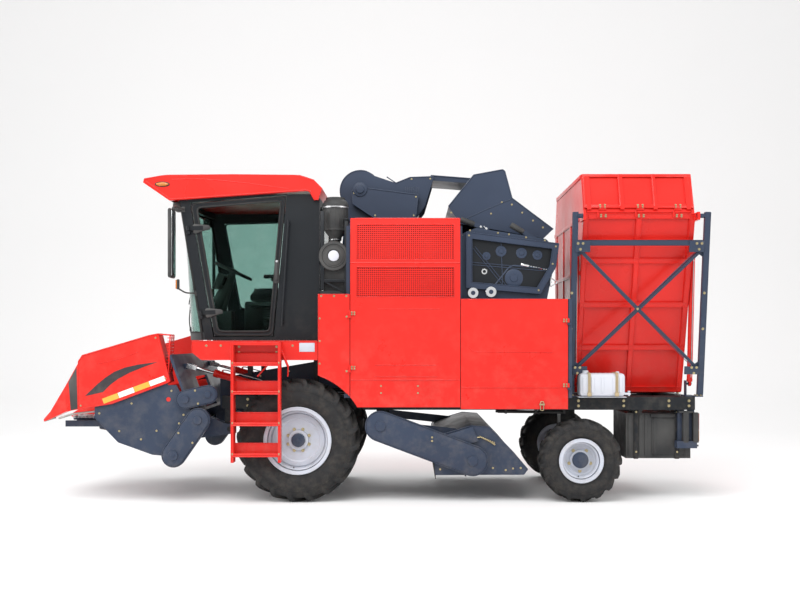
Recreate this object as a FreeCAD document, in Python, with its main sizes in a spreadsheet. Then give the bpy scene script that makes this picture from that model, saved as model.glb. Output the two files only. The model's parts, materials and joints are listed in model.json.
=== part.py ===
import FreeCAD, Part
import math
import os
import Sketcher
from FreeCAD import Placement, Rotation, Vector

# A three-row self-propelled corn harvester, about 6.5 m long, as separate named sub-parts.
# Millimetres. +X points forward, +Y to the machine's left and +Z up. The origin is on the
# ground, under the middle of the overall length and width.

doc = FreeCAD.newDocument("corn_harvester")
sheet = doc.addObject("Spreadsheet::Sheet", "Sizes")

SIZES = {
    # wheels and axles
    "front_axle_x": (755, "front axle ahead of the origin"),
    "wheelbase": (2775, "front axle to rear axle"),
    "front_radius": (605, "front tyre, lug tips"),
    "front_width": (345, "front tyre section width"),
    "front_face_y": (1010, "outer face of a front tyre from the centre plane"),
    "front_seat": (308, "front rim bead seat radius"),
    "front_lug": (34, "front tyre lug height"),
    "rear_radius": (408, "rear tyre, lug tips"),
    "rear_width": (285, "rear tyre section width"),
    "rear_face_y": (998, "outer face of a rear tyre from the centre plane"),
    "rear_seat": (195, "rear rim bead seat radius"),
    "rear_lug": (22, "rear tyre lug height"),
    "rim_wall": (12, "rim barrel and disc thickness"),
    "rim_flange": (24, "rim flange height over the bead seat"),
    "spindle_radius": (38, "wheel spindle"),
    "hub_radius": (98, "wheel hub"),
    "hub_cap_radius": (68, "hub cap"),
    "seat_gap": (0.3, "play between pieces that seat on each other"),
    "run_gap": (0.5, "radial play of a pin or spindle in its hole"),
    "move_gap": (6, "play beside a piece that moves"),
    # chassis
    "rail_top": (1025, "top of the chassis rails"),
    "rail_height": (130, "chassis rail section height"),
    "rail_width": (70, "chassis rail section width"),
    "rail_y": (585, "rail centre from the centre plane"),
    "rail_front_x": (1560, "front end of the rails"),
    "rail_rear_x": (-3180, "rear end of the rails"),
    "cross_width": (90, "cross-member width along the machine"),
    "cross_drop": (95, "height of the cross-members under the feeder"),
    "portal_y": (455, "platform posts from the centre plane"),
    "portal_width": (50, "platform post section"),
    "sill_y": (770, "rear side sill from the centre plane"),
    "sill_width": (60, "rear side sill width"),
    "tow_hole_radius": (16, "towing pin hole"),
    "tow_plate_thickness": (30, "towing plate"),
    "rear_end_x": (-3255, "rearmost plane of the machine"),
    # header
    "pivot_x": (1480, "header pivot ahead of the origin"),
    "pivot_z": (690, "header pivot height"),
    "pivot_pin": (25, "header pivot pin radius"),
    "arm_plate": (24, "header arm plate thickness"),
    "header_half": (1000, "header side plates from the centre plane"),
    "header_tip_x": (3255, "divider tips"),
    "side_plate": (8, "header side plate thickness"),
    "row_pitch": (600, "corn row spacing"),
    "divider_width": (190, "outer divider width"),
    "snout_width": (230, "inner divider width"),
    "auger_x": (2015, "header auger axis ahead of the origin"),
    "auger_z": (1010, "header auger axis height"),
    "auger_tube": (60, "auger tube radius"),
    "auger_flight": (135, "auger flight radius"),
    "auger_pitch": (270, "auger flight pitch"),
    "roll_radius": (42, "snapping roll radius"),
    "chain_reach": (75, "gathering chain turn radius"),
    "drive_case_radius": (115, "header chain case end radius"),
    # header lift cylinders
    "lift_foot_x": (1070, "lift cylinder foot pin"),
    "lift_foot_z": (1095, "lift cylinder foot pin height"),
    "lift_eye_x": (1900, "lift cylinder rod eye"),
    "lift_eye_z": (1325, "lift cylinder rod eye height"),
    "lift_bore": (36, "lift cylinder barrel outside radius"),
    "lift_rod": (16, "lift cylinder rod radius"),
    # platform, ladder and cab
    "deck_top": (1580, "top of the cab platform"),
    "deck_depth": (185, "height of the platform's side board"),
    "deck_front_x": (1781, "front end of the platform"),
    "deck_rear_x": (556, "rear end of the platform"),
    "deck_half": (1000, "platform half width"),
    "ladder_front_x": (1374, "front face of the ladder"),
    "ladder_width": (471, "ladder width along the machine"),
    "ladder_foot_z": (409, "bottom of the ladder"),
    "ladder_depth": (110, "ladder stringer depth"),
    "cab_half": (800, "cab half width"),
    "cab_wall": (45, "cab wall and pillar depth"),
    "cab_floor_z": (1590, "underside of the cab"),
    "cab_top_z": (3040, "top of the cab walls"),
    "cab_rear_x": (556, "outside of the cab's rear wall"),
    "pillar_foot_x": (1695, "front pillar foot"),
    "pillar_head_x": (1958, "front pillar head"),
    "screen_nose_x": (2040, "windscreen's foremost line"),
    "glass": (6, "glass thickness"),
    "door_gap": (6, "gap round a door"),
    "roof_top_z": (3230, "top of the roof"),
    "mirror_out_y": (1150, "outer edge of a mirror"),
    # body
    "body_half": (1015, "outside of the body doors from the centre plane"),
    "door_skin": (30, "body door thickness"),
    "panel_front_x": (552, "front edge of the narrow side panel"),
    "panel_split_x": (240, "split between the narrow panel and the engine door"),
    "engine_split_x": (-837, "split between the engine door and the husker door"),
    "body_rear_x": (-1885, "rear edge of the husker door"),
    "panel_top_z": (2038, "top of the narrow panel"),
    "engine_door_top_z": (2780, "top of the engine door"),
    "husker_door_top_z": (1990, "top of the husker door"),
    "skirt_z": (935, "bottom of the body doors"),
    "arch_radius": (672, "front wheel arch"),
    "frame_tube": (40, "body frame tube section"),
    "floor_sheet": (20, "body floor thickness"),
    # elevator, husker and hood
    "feeder_half": (300, "feeder and elevator half width"),
    "feeder_height": (300, "feeder casing height"),
    "feeder_front_x": (1640, "feeder mouth"),
    "feeder_front_z": (885, "bottom of the feeder mouth"),
    "feeder_rear_x": (470, "feeder rear end"),
    "feeder_rear_z": (1085, "bottom of the feeder's rear end"),
    "sheet_wall": (20, "casing wall thickness"),
    "riser_depth": (290, "elevator casing depth"),
    "head_x": (174, "elevator head axis"),
    "head_z": (3150, "elevator head axis height"),
    "head_radius": (215, "elevator head casing radius"),
    "hood_half": (620, "husker hood half width"),
    "husker_half": (850, "husker half width"),
    # bin
    "bin_front_x": (-2042, "outside of the bin's front wall"),
    "bin_length": (1088, "bin length"),
    "bin_floor_z": (1050, "underside of the bin"),
    "bin_rim_z": (2830, "top of the bin's side walls"),
    "bin_half": (960, "bin half width at its rim"),
    "bin_foot_y": (450, "foot of the sloping left wall from the centre plane"),
    "bin_wall": (30, "bin wall thickness"),
    "bin_crown_z": (3235, "top of the bin's extension"),
    "bin_crown_half": (820, "half width at the top of the extension"),
    "rib": (25, "bin rib height"),
    "post_width": (56, "bin post section"),
    "post_top_y": (1045, "bin post top from the centre plane"),
    "post_foot_y": (775, "bin post foot from the centre plane"),
    "tip_y": (1045, "bin tipping axis from the centre plane"),
    "tip_z": (2795, "bin tipping axis height"),
    "tip_pin": (22, "bin tipping pin radius"),
    "tip_foot_y": (650, "tipping cylinder foot"),
    "tip_foot_z": (1150, "tipping cylinder foot height"),
    "tip_eye_y": (765, "tipping cylinder rod eye"),
    "tip_eye_z": (2560, "tipping cylinder rod eye height"),
    "tip_bore": (28, "tipping cylinder barrel outside radius"),
    "tip_rod": (16, "tipping cylinder rod radius"),
    # stalk chopper
    "chopper_pivot_x": (-55, "chopper pivot"),
    "chopper_pivot_z": (747, "chopper pivot height"),
    "rotor_x": (-957, "chopper rotor axis"),
    "rotor_z": (420, "chopper rotor axis height"),
    "chopper_half": (925, "chopper half width"),
    "chopper_plate": (12, "chopper plate thickness"),
    "rotor_tube": (70, "chopper rotor tube radius"),
    "rotor_reach": (190, "chopper flail tip radius"),
    "belt_case_radius": (150, "chopper belt case end radius"),
    "belt_case_width": (60, "chopper belt case width"),
    # rear axle
    "kingpin_y": (690, "kingpin from the centre plane"),
    "kingpin_radius": (32, "kingpin radius"),
    "steer_arm": (150, "steering arm length"),
    "steer_rod": (16, "steering rod radius"),
}


class Size(float):
    """A length that remembers the spreadsheet expression that gives it."""

    def __new__(cls, value, text):
        made = float.__new__(cls, value)
        made.text = text
        return made

    def __add__(self, other):
        return Size(float(self) + float(other), f"({self.text} + {text_of(other)})")

    def __radd__(self, other):
        return Size(float(other) + float(self), f"({text_of(other)} + {self.text})")

    def __sub__(self, other):
        return Size(float(self) - float(other), f"({self.text} - {text_of(other)})")

    def __rsub__(self, other):
        return Size(float(other) - float(self), f"({text_of(other)} - {self.text})")

    def __mul__(self, other):
        return Size(float(self) * float(other), f"({self.text} * {text_of(other)})")

    def __rmul__(self, other):
        return Size(float(other) * float(self), f"({text_of(other)} * {self.text})")

    def __truediv__(self, other):
        return Size(float(self) / float(other), f"({self.text} / {text_of(other)})")

    def __rtruediv__(self, other):
        return Size(float(other) / float(self), f"({text_of(other)} / {self.text})")

    def __neg__(self):
        return Size(-float(self), f"(0 - {self.text})")


def text_of(value):
    """The expression of a Size, or a plain number as text."""
    return getattr(value, "text", f"{float(value):.9g}")


class Sizes:
    """The spreadsheet's values by alias."""


S = Sizes()
for row, (alias, (value, meaning)) in enumerate(SIZES.items(), 1):
    sheet.set(f"A{row}", meaning)
    sheet.set(f"B{row}", str(value))
    sheet.setAlias(f"B{row}", alias)
doc.recompute()
for alias in SIZES:
    setattr(S, alias, Size(float(getattr(sheet, alias)), f"Sizes.{alias}"))

SIDES = {"left": 1, "right": -1}
nodes = {}


# ---- ways of making shapes ------------------------------------------------------------------


def place(item, x, y, z, rotation=None):
    """Puts item's origin at x, y, z, bound to the sheet."""
    if rotation is not None:
        item.Placement = Placement(Vector(0, 0, 0), rotation)
    for axis, value in zip("xyz", (x, y, z)):
        item.setExpression(f"Placement.Base.{axis}", text_of(value))
    return item


def block(name, x, y, z):
    """A Part::Box between the two values of each of x, y and z."""
    item = doc.addObject("Part::Box", name)
    for prop, (low, high) in zip(("Length", "Width", "Height"), (x, y, z)):
        item.setExpression(prop, text_of(high - low))
    return place(item, x[0], y[0], z[0])


TURN = {
    "X": Rotation(Vector(0, 1, 0), 90),
    "Y": Rotation(Vector(1, 0, 0), -90),
    "Z": Rotation(),
}


def rod(name, start, axis, radius, length):
    """A Part::Cylinder from start along a machine axis."""
    item = doc.addObject("Part::Cylinder", name)
    item.setExpression("Radius", text_of(radius))
    item.setExpression("Height", text_of(length))
    return place(item, *start, TURN[axis])


def across(name, x, z, radius, y_low, y_high):
    """A cylinder that lies across the machine."""
    return rod(name, (x, y_low, z), "Y", radius, y_high - y_low)


def strut(name, start, end, width, height, roll=0):
    """A straight square bar between two points, centred on the line between them."""
    a, b = Vector(*map(float, start)), Vector(*map(float, end))
    turn = Rotation(Vector(1, 0, 0), b - a)
    turn = turn.multiply(Rotation(Vector(1, 0, 0), roll))
    item = doc.addObject("Part::Box", name)
    item.Length = (b - a).Length
    item.setExpression("Width", text_of(width))
    item.setExpression("Height", text_of(height))
    item.Placement = Placement(a + turn.multVec(Vector(0, -width / 2, -height / 2)), turn)
    return item


def link(name, start, end, radius):
    """A straight round bar between two points."""
    a, b = Vector(*map(float, start)), Vector(*map(float, end))
    item = doc.addObject("Part::Cylinder", name)
    item.setExpression("Radius", text_of(radius))
    item.Height = (b - a).Length
    item.Placement = Placement(a, Rotation(Vector(0, 0, 1), b - a))
    return item


PLANES = {"XY": ("XY_Plane", 1), "XZ": ("XZ_Plane", -1), "YZ": ("YZ_Plane", 1)}


def outline_sketch(body, name, plane, outline, start):
    """A closed sketch of straight lines, each corner bound to the sheet."""
    role, sense = PLANES[plane]
    sketch = body.newObject("Sketcher::SketchObject", name)
    base = next(o for o in body.Origin.OriginFeatures if o.Role == role)
    sketch.AttachmentSupport = (base, [""])
    sketch.MapMode = "FlatFace"
    sketch.setExpression("AttachmentOffset.Base.z", text_of(start * sense))
    count = len(outline)
    points = [Vector(float(a), float(b), 0) for a, b in outline]
    lines = [Part.LineSegment(points[i], points[(i + 1) % count]) for i in range(count)]
    sketch.addGeometry(lines, False)
    for i in range(count):
        sketch.addConstraint(Sketcher.Constraint("Coincident", i, 2, (i + 1) % count, 1))
    for i, corner in enumerate(outline):
        for kind, value in zip(("DistanceX", "DistanceY"), corner):
            number = sketch.addConstraint(Sketcher.Constraint(kind, -1, 1, i, 1, float(value)))
            sketch.setExpression(f"Constraints[{number}]", text_of(value))
    return sketch


def plate(name, plane, outline, low, high, rounds=()):
    """A padded outline between low and high; rounds holds (corner number, radius) pairs."""
    body = doc.addObject("PartDesign::Body", name)
    start = high if plane == "XZ" else low
    sketch = outline_sketch(body, f"{name}_outline", plane, outline, start)
    pad = body.newObject("PartDesign::Pad", f"{name}_pad")
    pad.Profile = sketch
    pad.setExpression("Length", text_of(high - low))
    sketch.Visibility = False
    for radius in sorted({float(r) for _, r in rounds}):
        doc.recompute()
        corners = [outline[i] for i, r in rounds if float(r) == radius]
        size = next(r for _, r in rounds if float(r) == radius)
        tip = body.Tip
        fillet = body.newObject("PartDesign::Fillet", f"{name}_round")
        fillet.Base = (tip, corner_edges(tip.Shape, plane, corners))
        fillet.setExpression("Radius", text_of(size))
        body.Tip = fillet
    return body


def corner_edges(shape, plane, corners):
    """Names of the edges that stand on these corners of a padded outline."""
    pick = {"XY": (0, 1, 2), "XZ": (0, 2, 1), "YZ": (1, 2, 0)}[plane]
    found = []
    for number, edge in enumerate(shape.Edges, 1):
        ends = [v.Point for v in (edge.Vertexes[0], edge.Vertexes[-1])]
        if abs(ends[0][pick[2]] - ends[1][pick[2]]) < 0.01:
            continue
        for a, b in corners:
            flat = [abs(p[pick[0]] - float(a)) + abs(p[pick[1]] - float(b)) for p in ends]
            if max(flat) < 0.02:
                found.append(f"Edge{number}")
    return found


def turned(name, outline, x, y, z):
    """A body turned about a cross-machine axis; outline holds (offset along Y, radius)."""
    body = doc.addObject("PartDesign::Body", name)
    sketch = outline_sketch(body, f"{name}_outline", "YZ", outline, Size(0, "0"))
    spin = body.newObject("PartDesign::Revolution", f"{name}_turn")
    spin.Profile = sketch
    spin.ReferenceAxis = (sketch, ["H_Axis"])
    spin.Angle = 360
    sketch.Visibility = False
    return place(body, x, y, z)


def fuse(name, parts):
    item = doc.addObject("Part::MultiFuse", name)
    item.Shapes = parts
    item.Refine = True
    return item


def cut(name, base, tools):
    item = doc.addObject("Part::Cut", name)
    item.Base = base
    item.Tool = tools[0] if len(tools) == 1 else fuse(f"{name}_tools", tools)
    item.Refine = True
    return item


def group(name, parts):
    """Separate solids that share a node."""
    item = doc.addObject("Part::Compound", name)
    item.Links = parts
    return item


def mirrored(name, source):
    """The same shape on the other side of the centre plane."""
    item = doc.addObject("Part::Mirroring", name)
    item.Source = source
    item.Normal = (0, 1, 0)
    return item


def feature(name, shape):
    item = doc.addObject("Part::Feature", name)
    item.Shape = shape
    return item


def both(name, source):
    """A piece and its twin on the other side, as one node's two solids."""
    return group(name, [source, mirrored(f"{name}_twin", source)])


def node(label, item):
    """Names the object that holds one sub-part."""
    item.Label = label
    nodes[label] = item
    return item


def span(centre, width):
    """The two ends of a width about a centre."""
    return (centre - width / 2, centre + width / 2)


def obround(name, a, b, radius, y_low, y_high):
    """A flat case with round ends about the points a and b of the side view."""
    p, q = Vector(float(a[0]), 0, float(a[1])), Vector(float(b[0]), 0, float(b[1]))
    along = (q - p).normalize()
    side = Vector(-along.z, 0, along.x) * float(radius)
    edges = [
        Part.makeLine(p + side, q + side),
        Part.Arc(q + side, q + along * float(radius), q - side).toShape(),
        Part.makeLine(q - side, p - side),
        Part.Arc(p - side, p - along * float(radius), p + side).toShape(),
    ]
    face = Part.Face(Part.Wire(edges))
    face.translate(Vector(0, float(y_low), 0))
    return feature(name, face.extrude(Vector(0, float(y_high - y_low), 0)))


# ---- wheels and axles -----------------------------------------------------------------------

rear_axle_x = S.front_axle_x - S.wheelbase
front_y = S.front_face_y - S.front_width / 2
rear_y = S.rear_face_y - S.rear_width / 2


def tyre(name, sense, x, y, radius, width, seat):
    """A tyre out to its lug tips, on a wheel whose outer side faces sense * Y."""
    wall = radius - seat
    outline = [
        (-0.40 * width, seat + S.seat_gap),
        (-0.40 * width, seat + S.rim_flange + 2),
        (-0.50 * width, seat + 0.42 * wall),
        (-0.47 * width, seat + 0.76 * wall),
        (-0.36 * width, radius),
        (0.36 * width, radius),
        (0.47 * width, seat + 0.76 * wall),
        (0.50 * width, seat + 0.42 * wall),
        (0.40 * width, seat + S.rim_flange + 2),
        (0.40 * width, seat + S.seat_gap),
    ]
    return turned(name, [(a * sense, b) for a, b in outline], x, y * sense, radius)


def rim(name, sense, x, y, radius, width, seat, disc, bore):
    """A rim with its disc, hub and cap; the spindle enters from the inner side."""
    half = 0.40 * width + S.seat_gap
    lip = half + 10
    inner = seat - S.rim_wall
    outline = [
        (-lip, seat + S.rim_flange),
        (-half, seat + S.rim_flange),
        (-half, seat),
        (half, seat),
        (half, seat + S.rim_flange),
        (lip, seat + S.rim_flange),
        (lip, inner),
        (disc + S.rim_wall, inner),
        (disc + S.rim_wall, S.hub_radius),
        (disc + 38, S.hub_radius),
        (disc + 38, S.hub_cap_radius),
        (disc + 62, S.hub_cap_radius),
        (disc + 62, Size(0, "0")),
        (disc + 22, Size(0, "0")),
        (disc + 22, bore + S.run_gap),
        (disc - 52, bore + S.run_gap),
        (disc - 52, S.hub_radius),
        (disc, S.hub_radius),
        (disc, inner),
        (-lip, inner),
    ]
    return turned(name, [(a * sense, b) for a, b in outline], x, y * sense, radius)


front_disc = Size(28, "28")
rear_disc = Size(10, "10")
rear_spindle = S.spindle_radius - 8
for side, sense in SIDES.items():
    wheel = (S.front_axle_x, front_y, S.front_radius, S.front_width, S.front_seat)
    node(f"front_tyre_{side}", tyre(f"front_tyre_{side}", sense, *wheel))
    node(f"front_rim_{side}", rim(f"front_rim_{side}", sense, *wheel, front_disc, S.spindle_radius))
    wheel = (rear_axle_x, rear_y, S.rear_radius, S.rear_width, S.rear_seat)
    node(f"rear_tyre_{side}", tyre(f"rear_tyre_{side}", sense, *wheel))
    node(f"rear_rim_{side}", rim(f"rear_rim_{side}", sense, *wheel, rear_disc, rear_spindle))

rail_bottom = S.rail_top - S.rail_height
rail_in = S.rail_y - S.rail_width / 2
rail_out = S.rail_y + S.rail_width / 2


def pair(name, make):
    """Builds a piece on each side of the centre plane; make(name, sense) gives one."""
    return [make(f"{name}_{side}", sense) for side, sense in SIDES.items()]


def side_block(name, sense, x, y, z):
    """A block on one side; y is given for the left side."""
    ends = y if sense > 0 else (-y[1], -y[0])
    return block(name, x, ends, z)


def side_rod(name, sense, x, z, radius, y_low, y_high):
    """A cross-machine cylinder on one side; y is given for the left side."""
    ends = (y_low, y_high) if sense > 0 else (-y_high, -y_low)
    return across(name, x, z, radius, *ends)


axle_x = span(S.front_axle_x, Size(170, "170"))
drive = [
    across("axle_tube", S.front_axle_x, S.front_radius, Size(82, "82"), -S.rail_y, S.rail_y),
    block("axle_gearbox", span(S.front_axle_x, Size(320, "320")),
          (Size(-150, "-150"), Size(190, "190")), span(S.front_radius, Size(330, "330"))),
]
for side, sense in SIDES.items():
    drive += [
        side_rod(f"final_drive_{side}", sense, S.front_axle_x, S.front_radius,
                 Size(150, "150"), S.rail_y - 75, S.rail_y + 55),
        side_rod(f"drive_spindle_{side}", sense, S.front_axle_x, S.front_radius,
                 S.spindle_radius, S.rail_y, front_y + front_disc + 21.5),
        side_block(f"axle_saddle_{side}", sense, axle_x, (rail_in, rail_out),
                   (S.front_radius, rail_bottom - S.seat_gap)),
    ]
node("drive_axle", fuse("drive_axle", drive))

# The rear axle carries a kingpin at each end and a double-ended steering cylinder behind it.
arm_x = rear_axle_x - S.steer_arm
rod_z = S.rear_radius + 129
beam_half = Size(50, "50")
king_low = S.rear_radius - 92
king_high = S.rear_radius + 92
rear_parts = [
    block("rear_beam", span(rear_axle_x, 2 * beam_half), (-S.kingpin_y, S.kingpin_y),
          span(S.rear_radius, 2 * beam_half)),
    across("steer_barrel", arm_x, rod_z, Size(40, "40"), Size(-260, "-260"), Size(260, "260")),
    block("oscillation_mount", span(rear_axle_x, Size(150, "150")),
          (Size(-110, "-110"), Size(110, "110")), (S.rear_radius, rail_bottom - S.seat_gap)),
]
for side, sense in SIDES.items():
    rear_parts += [
        rod(f"axle_end_{side}", (rear_axle_x, S.kingpin_y * sense, S.rear_radius - 56), "Z",
            Size(54, "54"), Size(112, "112")),
        rod(f"kingpin_{side}", (rear_axle_x, S.kingpin_y * sense, king_low), "Z",
            S.kingpin_radius, king_high - king_low),
        side_block(f"barrel_bracket_{side}", sense, (arm_x - 10, rear_axle_x),
                   (Size(190, "190"), Size(225, "225")), (S.rear_radius, rod_z + 20)),
    ]
barrel_bore = across("steer_barrel_bore", arm_x, rod_z, S.steer_rod + S.run_gap,
                     Size(-400, "-400"), Size(400, "400"))
node("rear_axle", cut("rear_axle", fuse("rear_axle_body", rear_parts), [barrel_bore]))

for side, sense in SIDES.items():
    knuckle = [
        side_block(f"knuckle_plate_{side}", sense, span(rear_axle_x, Size(120, "120")),
                   (S.kingpin_y + 60, S.kingpin_y + 82), (king_low, king_high)),
        side_rod(f"rear_spindle_{side}", sense, rear_axle_x, S.rear_radius, rear_spindle,
                 S.kingpin_y + 70, rear_y + rear_disc + 21.5),
        rod(f"steer_pin_{side}", (arm_x, S.kingpin_y * sense, king_high - 20), "Z",
            Size(12, "12"), rod_z + 22 - king_high + 20),
        side_block(f"steer_arm_{side}", sense, (arm_x - 20, rear_axle_x),
                   span(S.kingpin_y, Size(36, "36")), (king_high - 26, king_high)),
    ]
    for level, base in (("low", king_low), ("high", king_high - 26)):
        knuckle.append(side_block(f"knuckle_{level}_{side}", sense,
                                  span(rear_axle_x, Size(100, "100")),
                                  (S.kingpin_y - 50, S.kingpin_y + 75), (base, base + 26)))
    hole = rod(f"kingpin_hole_{side}", (rear_axle_x, S.kingpin_y * sense, king_low - 20), "Z",
               S.kingpin_radius + S.run_gap, king_high - king_low + 40)
    node(f"knuckle_{side}", cut(f"knuckle_{side}", fuse(f"knuckle_body_{side}", knuckle), [hole]))

steer_bars = [across("steer_shaft", arm_x, rod_z, S.steer_rod, -S.kingpin_y + 40, S.kingpin_y - 40)]
steer_slots = []
for side, sense in SIDES.items():
    steer_bars.append(side_block(f"steer_eye_{side}", sense, (arm_x - 22, arm_x + 36),
                                 (S.kingpin_y - 50, S.kingpin_y + 22), span(rod_z, Size(16, "16"))))
    steer_slots.append(side_block(f"steer_slot_{side}", sense, (arm_x - 14, arm_x + 26),
                                  span(S.kingpin_y, Size(26.4, "26.4")), span(rod_z, Size(40, "40"))))
node("steer_rod", cut("steer_rod", fuse("steer_rod_body", steer_bars), steer_slots))

# ---- chassis --------------------------------------------------------------------------------

sill = (S.sill_y - S.sill_width / 2, S.sill_y + S.sill_width / 2)
lug_top = rail_bottom + 20
chassis = []
for side, sense in SIDES.items():
    chassis += [
        side_block(f"rail_{side}", sense, (S.rail_rear_x, S.rail_front_x), (rail_in, rail_out),
                   (rail_bottom, S.rail_top)),
        side_block(f"sill_{side}", sense, (S.rail_rear_x, Size(120, "120")), sill,
                   (rail_bottom, S.rail_top)),
        side_block(f"header_lug_{side}", sense, span(S.pivot_x, Size(110, "110")),
                   span(S.rail_y, Size(50, "50")), (S.pivot_z - 45, lug_top)),
        side_rod(f"header_pin_{side}", sense, S.pivot_x, S.pivot_z, S.pivot_pin,
                 S.rail_y - 62, S.rail_y + 62),
        side_block(f"lift_lug_{side}", sense, span(S.lift_foot_x, Size(70, "70")),
                   span(S.rail_y, Size(24, "24")), (S.rail_top - 20, S.lift_foot_z + 32)),
        side_rod(f"lift_pin_{side}", sense, S.lift_foot_x, S.lift_foot_z, Size(14, "14"),
                 S.rail_y - 40, S.rail_y + 40),
        side_block(f"chopper_lug_{side}", sense, span(S.chopper_pivot_x, Size(90, "90")),
                   span(S.sill_y, Size(28, "28")), (S.chopper_pivot_z - 45, lug_top)),
        side_rod(f"chopper_pin_{side}", sense, S.chopper_pivot_x, S.chopper_pivot_z,
                 Size(20, "20"), S.sill_y, S.sill_y + 45),
    ]
for number, x in enumerate((-160, -1120, -2020, -2470, -3135)):
    chassis.append(block(f"cross_member_{number}", span(Size(x, str(x)), S.cross_width),
                         (-sill[0] - 5, sill[0] + 5), (rail_bottom, S.rail_top)))
for number, x in enumerate((620, 1300)):
    chassis.append(block(f"drop_member_{number}", span(Size(x, str(x)), S.cross_width),
                         (-rail_out, rail_out), (rail_bottom - S.cross_drop, rail_bottom + 5)))
chassis += [
    block("tow_plate", (S.rear_end_x, S.rail_rear_x + 20), (Size(-90, "-90"), Size(90, "90")),
          span(Size(960, "960"), S.tow_plate_thickness)),
    block("tow_beam", span(Size(-3150, "-3150"), Size(60, "60")), (-rail_in, rail_in),
          (Size(900, "900"), Size(1020, "1020"))),
]
tow_hole = rod("tow_hole", (S.rear_end_x + 35, Size(0, "0"), Size(900, "900")), "Z",
               S.tow_hole_radius, Size(120, "120"))
deck_bottom = S.deck_top - S.deck_depth
for number, x in enumerate((620, 1300)):
    for side, sense in SIDES.items():
        chassis.append(side_block(f"deck_post_{number}_{side}", sense,
                                  span(Size(x, str(x)), S.portal_width),
                                  span(S.portal_y, S.portal_width),
                                  (rail_bottom - 10, deck_bottom - S.seat_gap)))
node("chassis_frame", cut("chassis_frame", fuse("chassis_body", chassis), [tow_hole]))

# ---- platform and ladder --------------------------------------------------------------------

deck_board = 20
board_outline = [
    (S.deck_rear_x, deck_bottom), (S.deck_front_x - 90, deck_bottom),
    (S.deck_front_x, deck_bottom + 75), (S.deck_front_x, S.deck_top - 30),
    (S.deck_rear_x, S.deck_top - 30),
]
deck = [block("deck_plate", (S.deck_rear_x, S.deck_front_x), (-S.deck_half, S.deck_half),
              (S.deck_top - 32, S.deck_top))]
for side, sense in SIDES.items():
    edges = (S.deck_half - deck_board, S.deck_half)
    ends = edges if sense > 0 else (-edges[1], -edges[0])
    deck.append(plate(f"deck_side_{side}", "XZ", board_outline, *ends))
for number, x in enumerate((620, 1300)):
    deck.append(block(f"deck_beam_{number}", span(Size(x, str(x)), Size(80, "80")),
                      (-S.deck_half, S.deck_half), (deck_bottom, S.deck_top - 20)))
node("cab_platform", fuse("cab_platform", deck))

ladder_rear_x = S.ladder_front_x - S.ladder_width
ladder_in = S.deck_half + S.seat_gap
ladder_out = ladder_in + 30 + S.ladder_depth
ladder = [
    block("ladder_head", (ladder_rear_x, S.ladder_front_x), (ladder_in, ladder_in + 10),
          (Size(1395, "1395"), S.deck_top - 9)),
    block("ladder_lintel", (ladder_rear_x, S.ladder_front_x), (ladder_in, ladder_out),
          (S.deck_top - 40, S.deck_top - 9)),
]
for name, x in (("front", S.ladder_front_x - 22), ("rear", ladder_rear_x)):
    ladder.append(block(f"ladder_{name}", (x, x + 22), (ladder_in + 24, ladder_out),
                        (S.ladder_foot_z, S.deck_top - 9)))
    ladder.append(block(f"ladder_hanger_{name}", (x, x + 22), (ladder_in, ladder_in + 30),
                        (Size(1380, "1380"), S.deck_top - 9)))
for number, z in enumerate((479, 777, 1081, 1355)):
    ladder.append(block(f"tread_{number}", (ladder_rear_x, S.ladder_front_x),
                        (ladder_in + 24, ladder_out), span(Size(z, str(z)), Size(26, "26"))))
    ladder.append(block(f"kick_plate_{number}", (ladder_rear_x, S.ladder_front_x),
                        (ladder_in + 24, ladder_in + 32), (Size(z, str(z)), Size(z + 110, str(z + 110)))))
ladder.append(link("ladder_latch", (ladder_rear_x + 5, ladder_in + 20, 1490),
                   (ladder_rear_x - 62, ladder_in + 20, 1330), Size(12, "12")))
node("ladder", fuse("ladder", ladder))

# ---- cab ------------------------------------------------------------------------------------

cab_in = S.cab_half - S.cab_wall
nose_low = 290
nose_high = 82


def pillar_x(z):
    """Front line of the cab's side at a height."""
    lean = (S.pillar_head_x - S.pillar_foot_x) / (S.cab_top_z - S.cab_floor_z)
    return float(S.pillar_foot_x) + float(lean) * (float(z) - float(S.cab_floor_z))


def bow(z, inset):
    """Three points of the bowed front line at a height, inset from the outside."""
    share = (float(z) - float(S.cab_floor_z)) / float(S.cab_top_z - S.cab_floor_z)
    nose = nose_low + (nose_high - nose_low) * share
    x = pillar_x(z)
    half = float(S.cab_half) - 2
    return [Vector(x - inset, -half, z), Vector(x + nose - inset, 0, z), Vector(x - inset, half, z)]


def bowed_slab(name, low, high, back, inset):
    """A slab of the cab's bowed plan between two heights, from the line X = back forward."""
    wires = []
    for z in (low, high):
        a, b, c = bow(z, inset)
        edges = [
            Part.Arc(a, b, c).toShape(),
            Part.makeLine(c, Vector(back(z), c.y, z)),
            Part.makeLine(Vector(back(z), c.y, z), Vector(back(z), a.y, z)),
            Part.makeLine(Vector(back(z), a.y, z), a),
        ]
        wires.append(Part.Wire(edges))
    return feature(name, Part.makeLoft(wires, True, True))


def bowed_pane(name, low, high, inset, thickness):
    """The windscreen: a ruled pane between two bowed lines."""
    wires = []
    for z in (low, high):
        a, b, c = bow(z, inset)
        d, e, f = bow(z, inset + thickness)
        edges = [Part.Arc(a, b, c).toShape(), Part.makeLine(c, f), Part.Arc(f, e, d).toShape(),
                 Part.makeLine(d, a)]
        wires.append(Part.Wire(edges))
    return feature(name, Part.makeLoft(wires, True, True))


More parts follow.
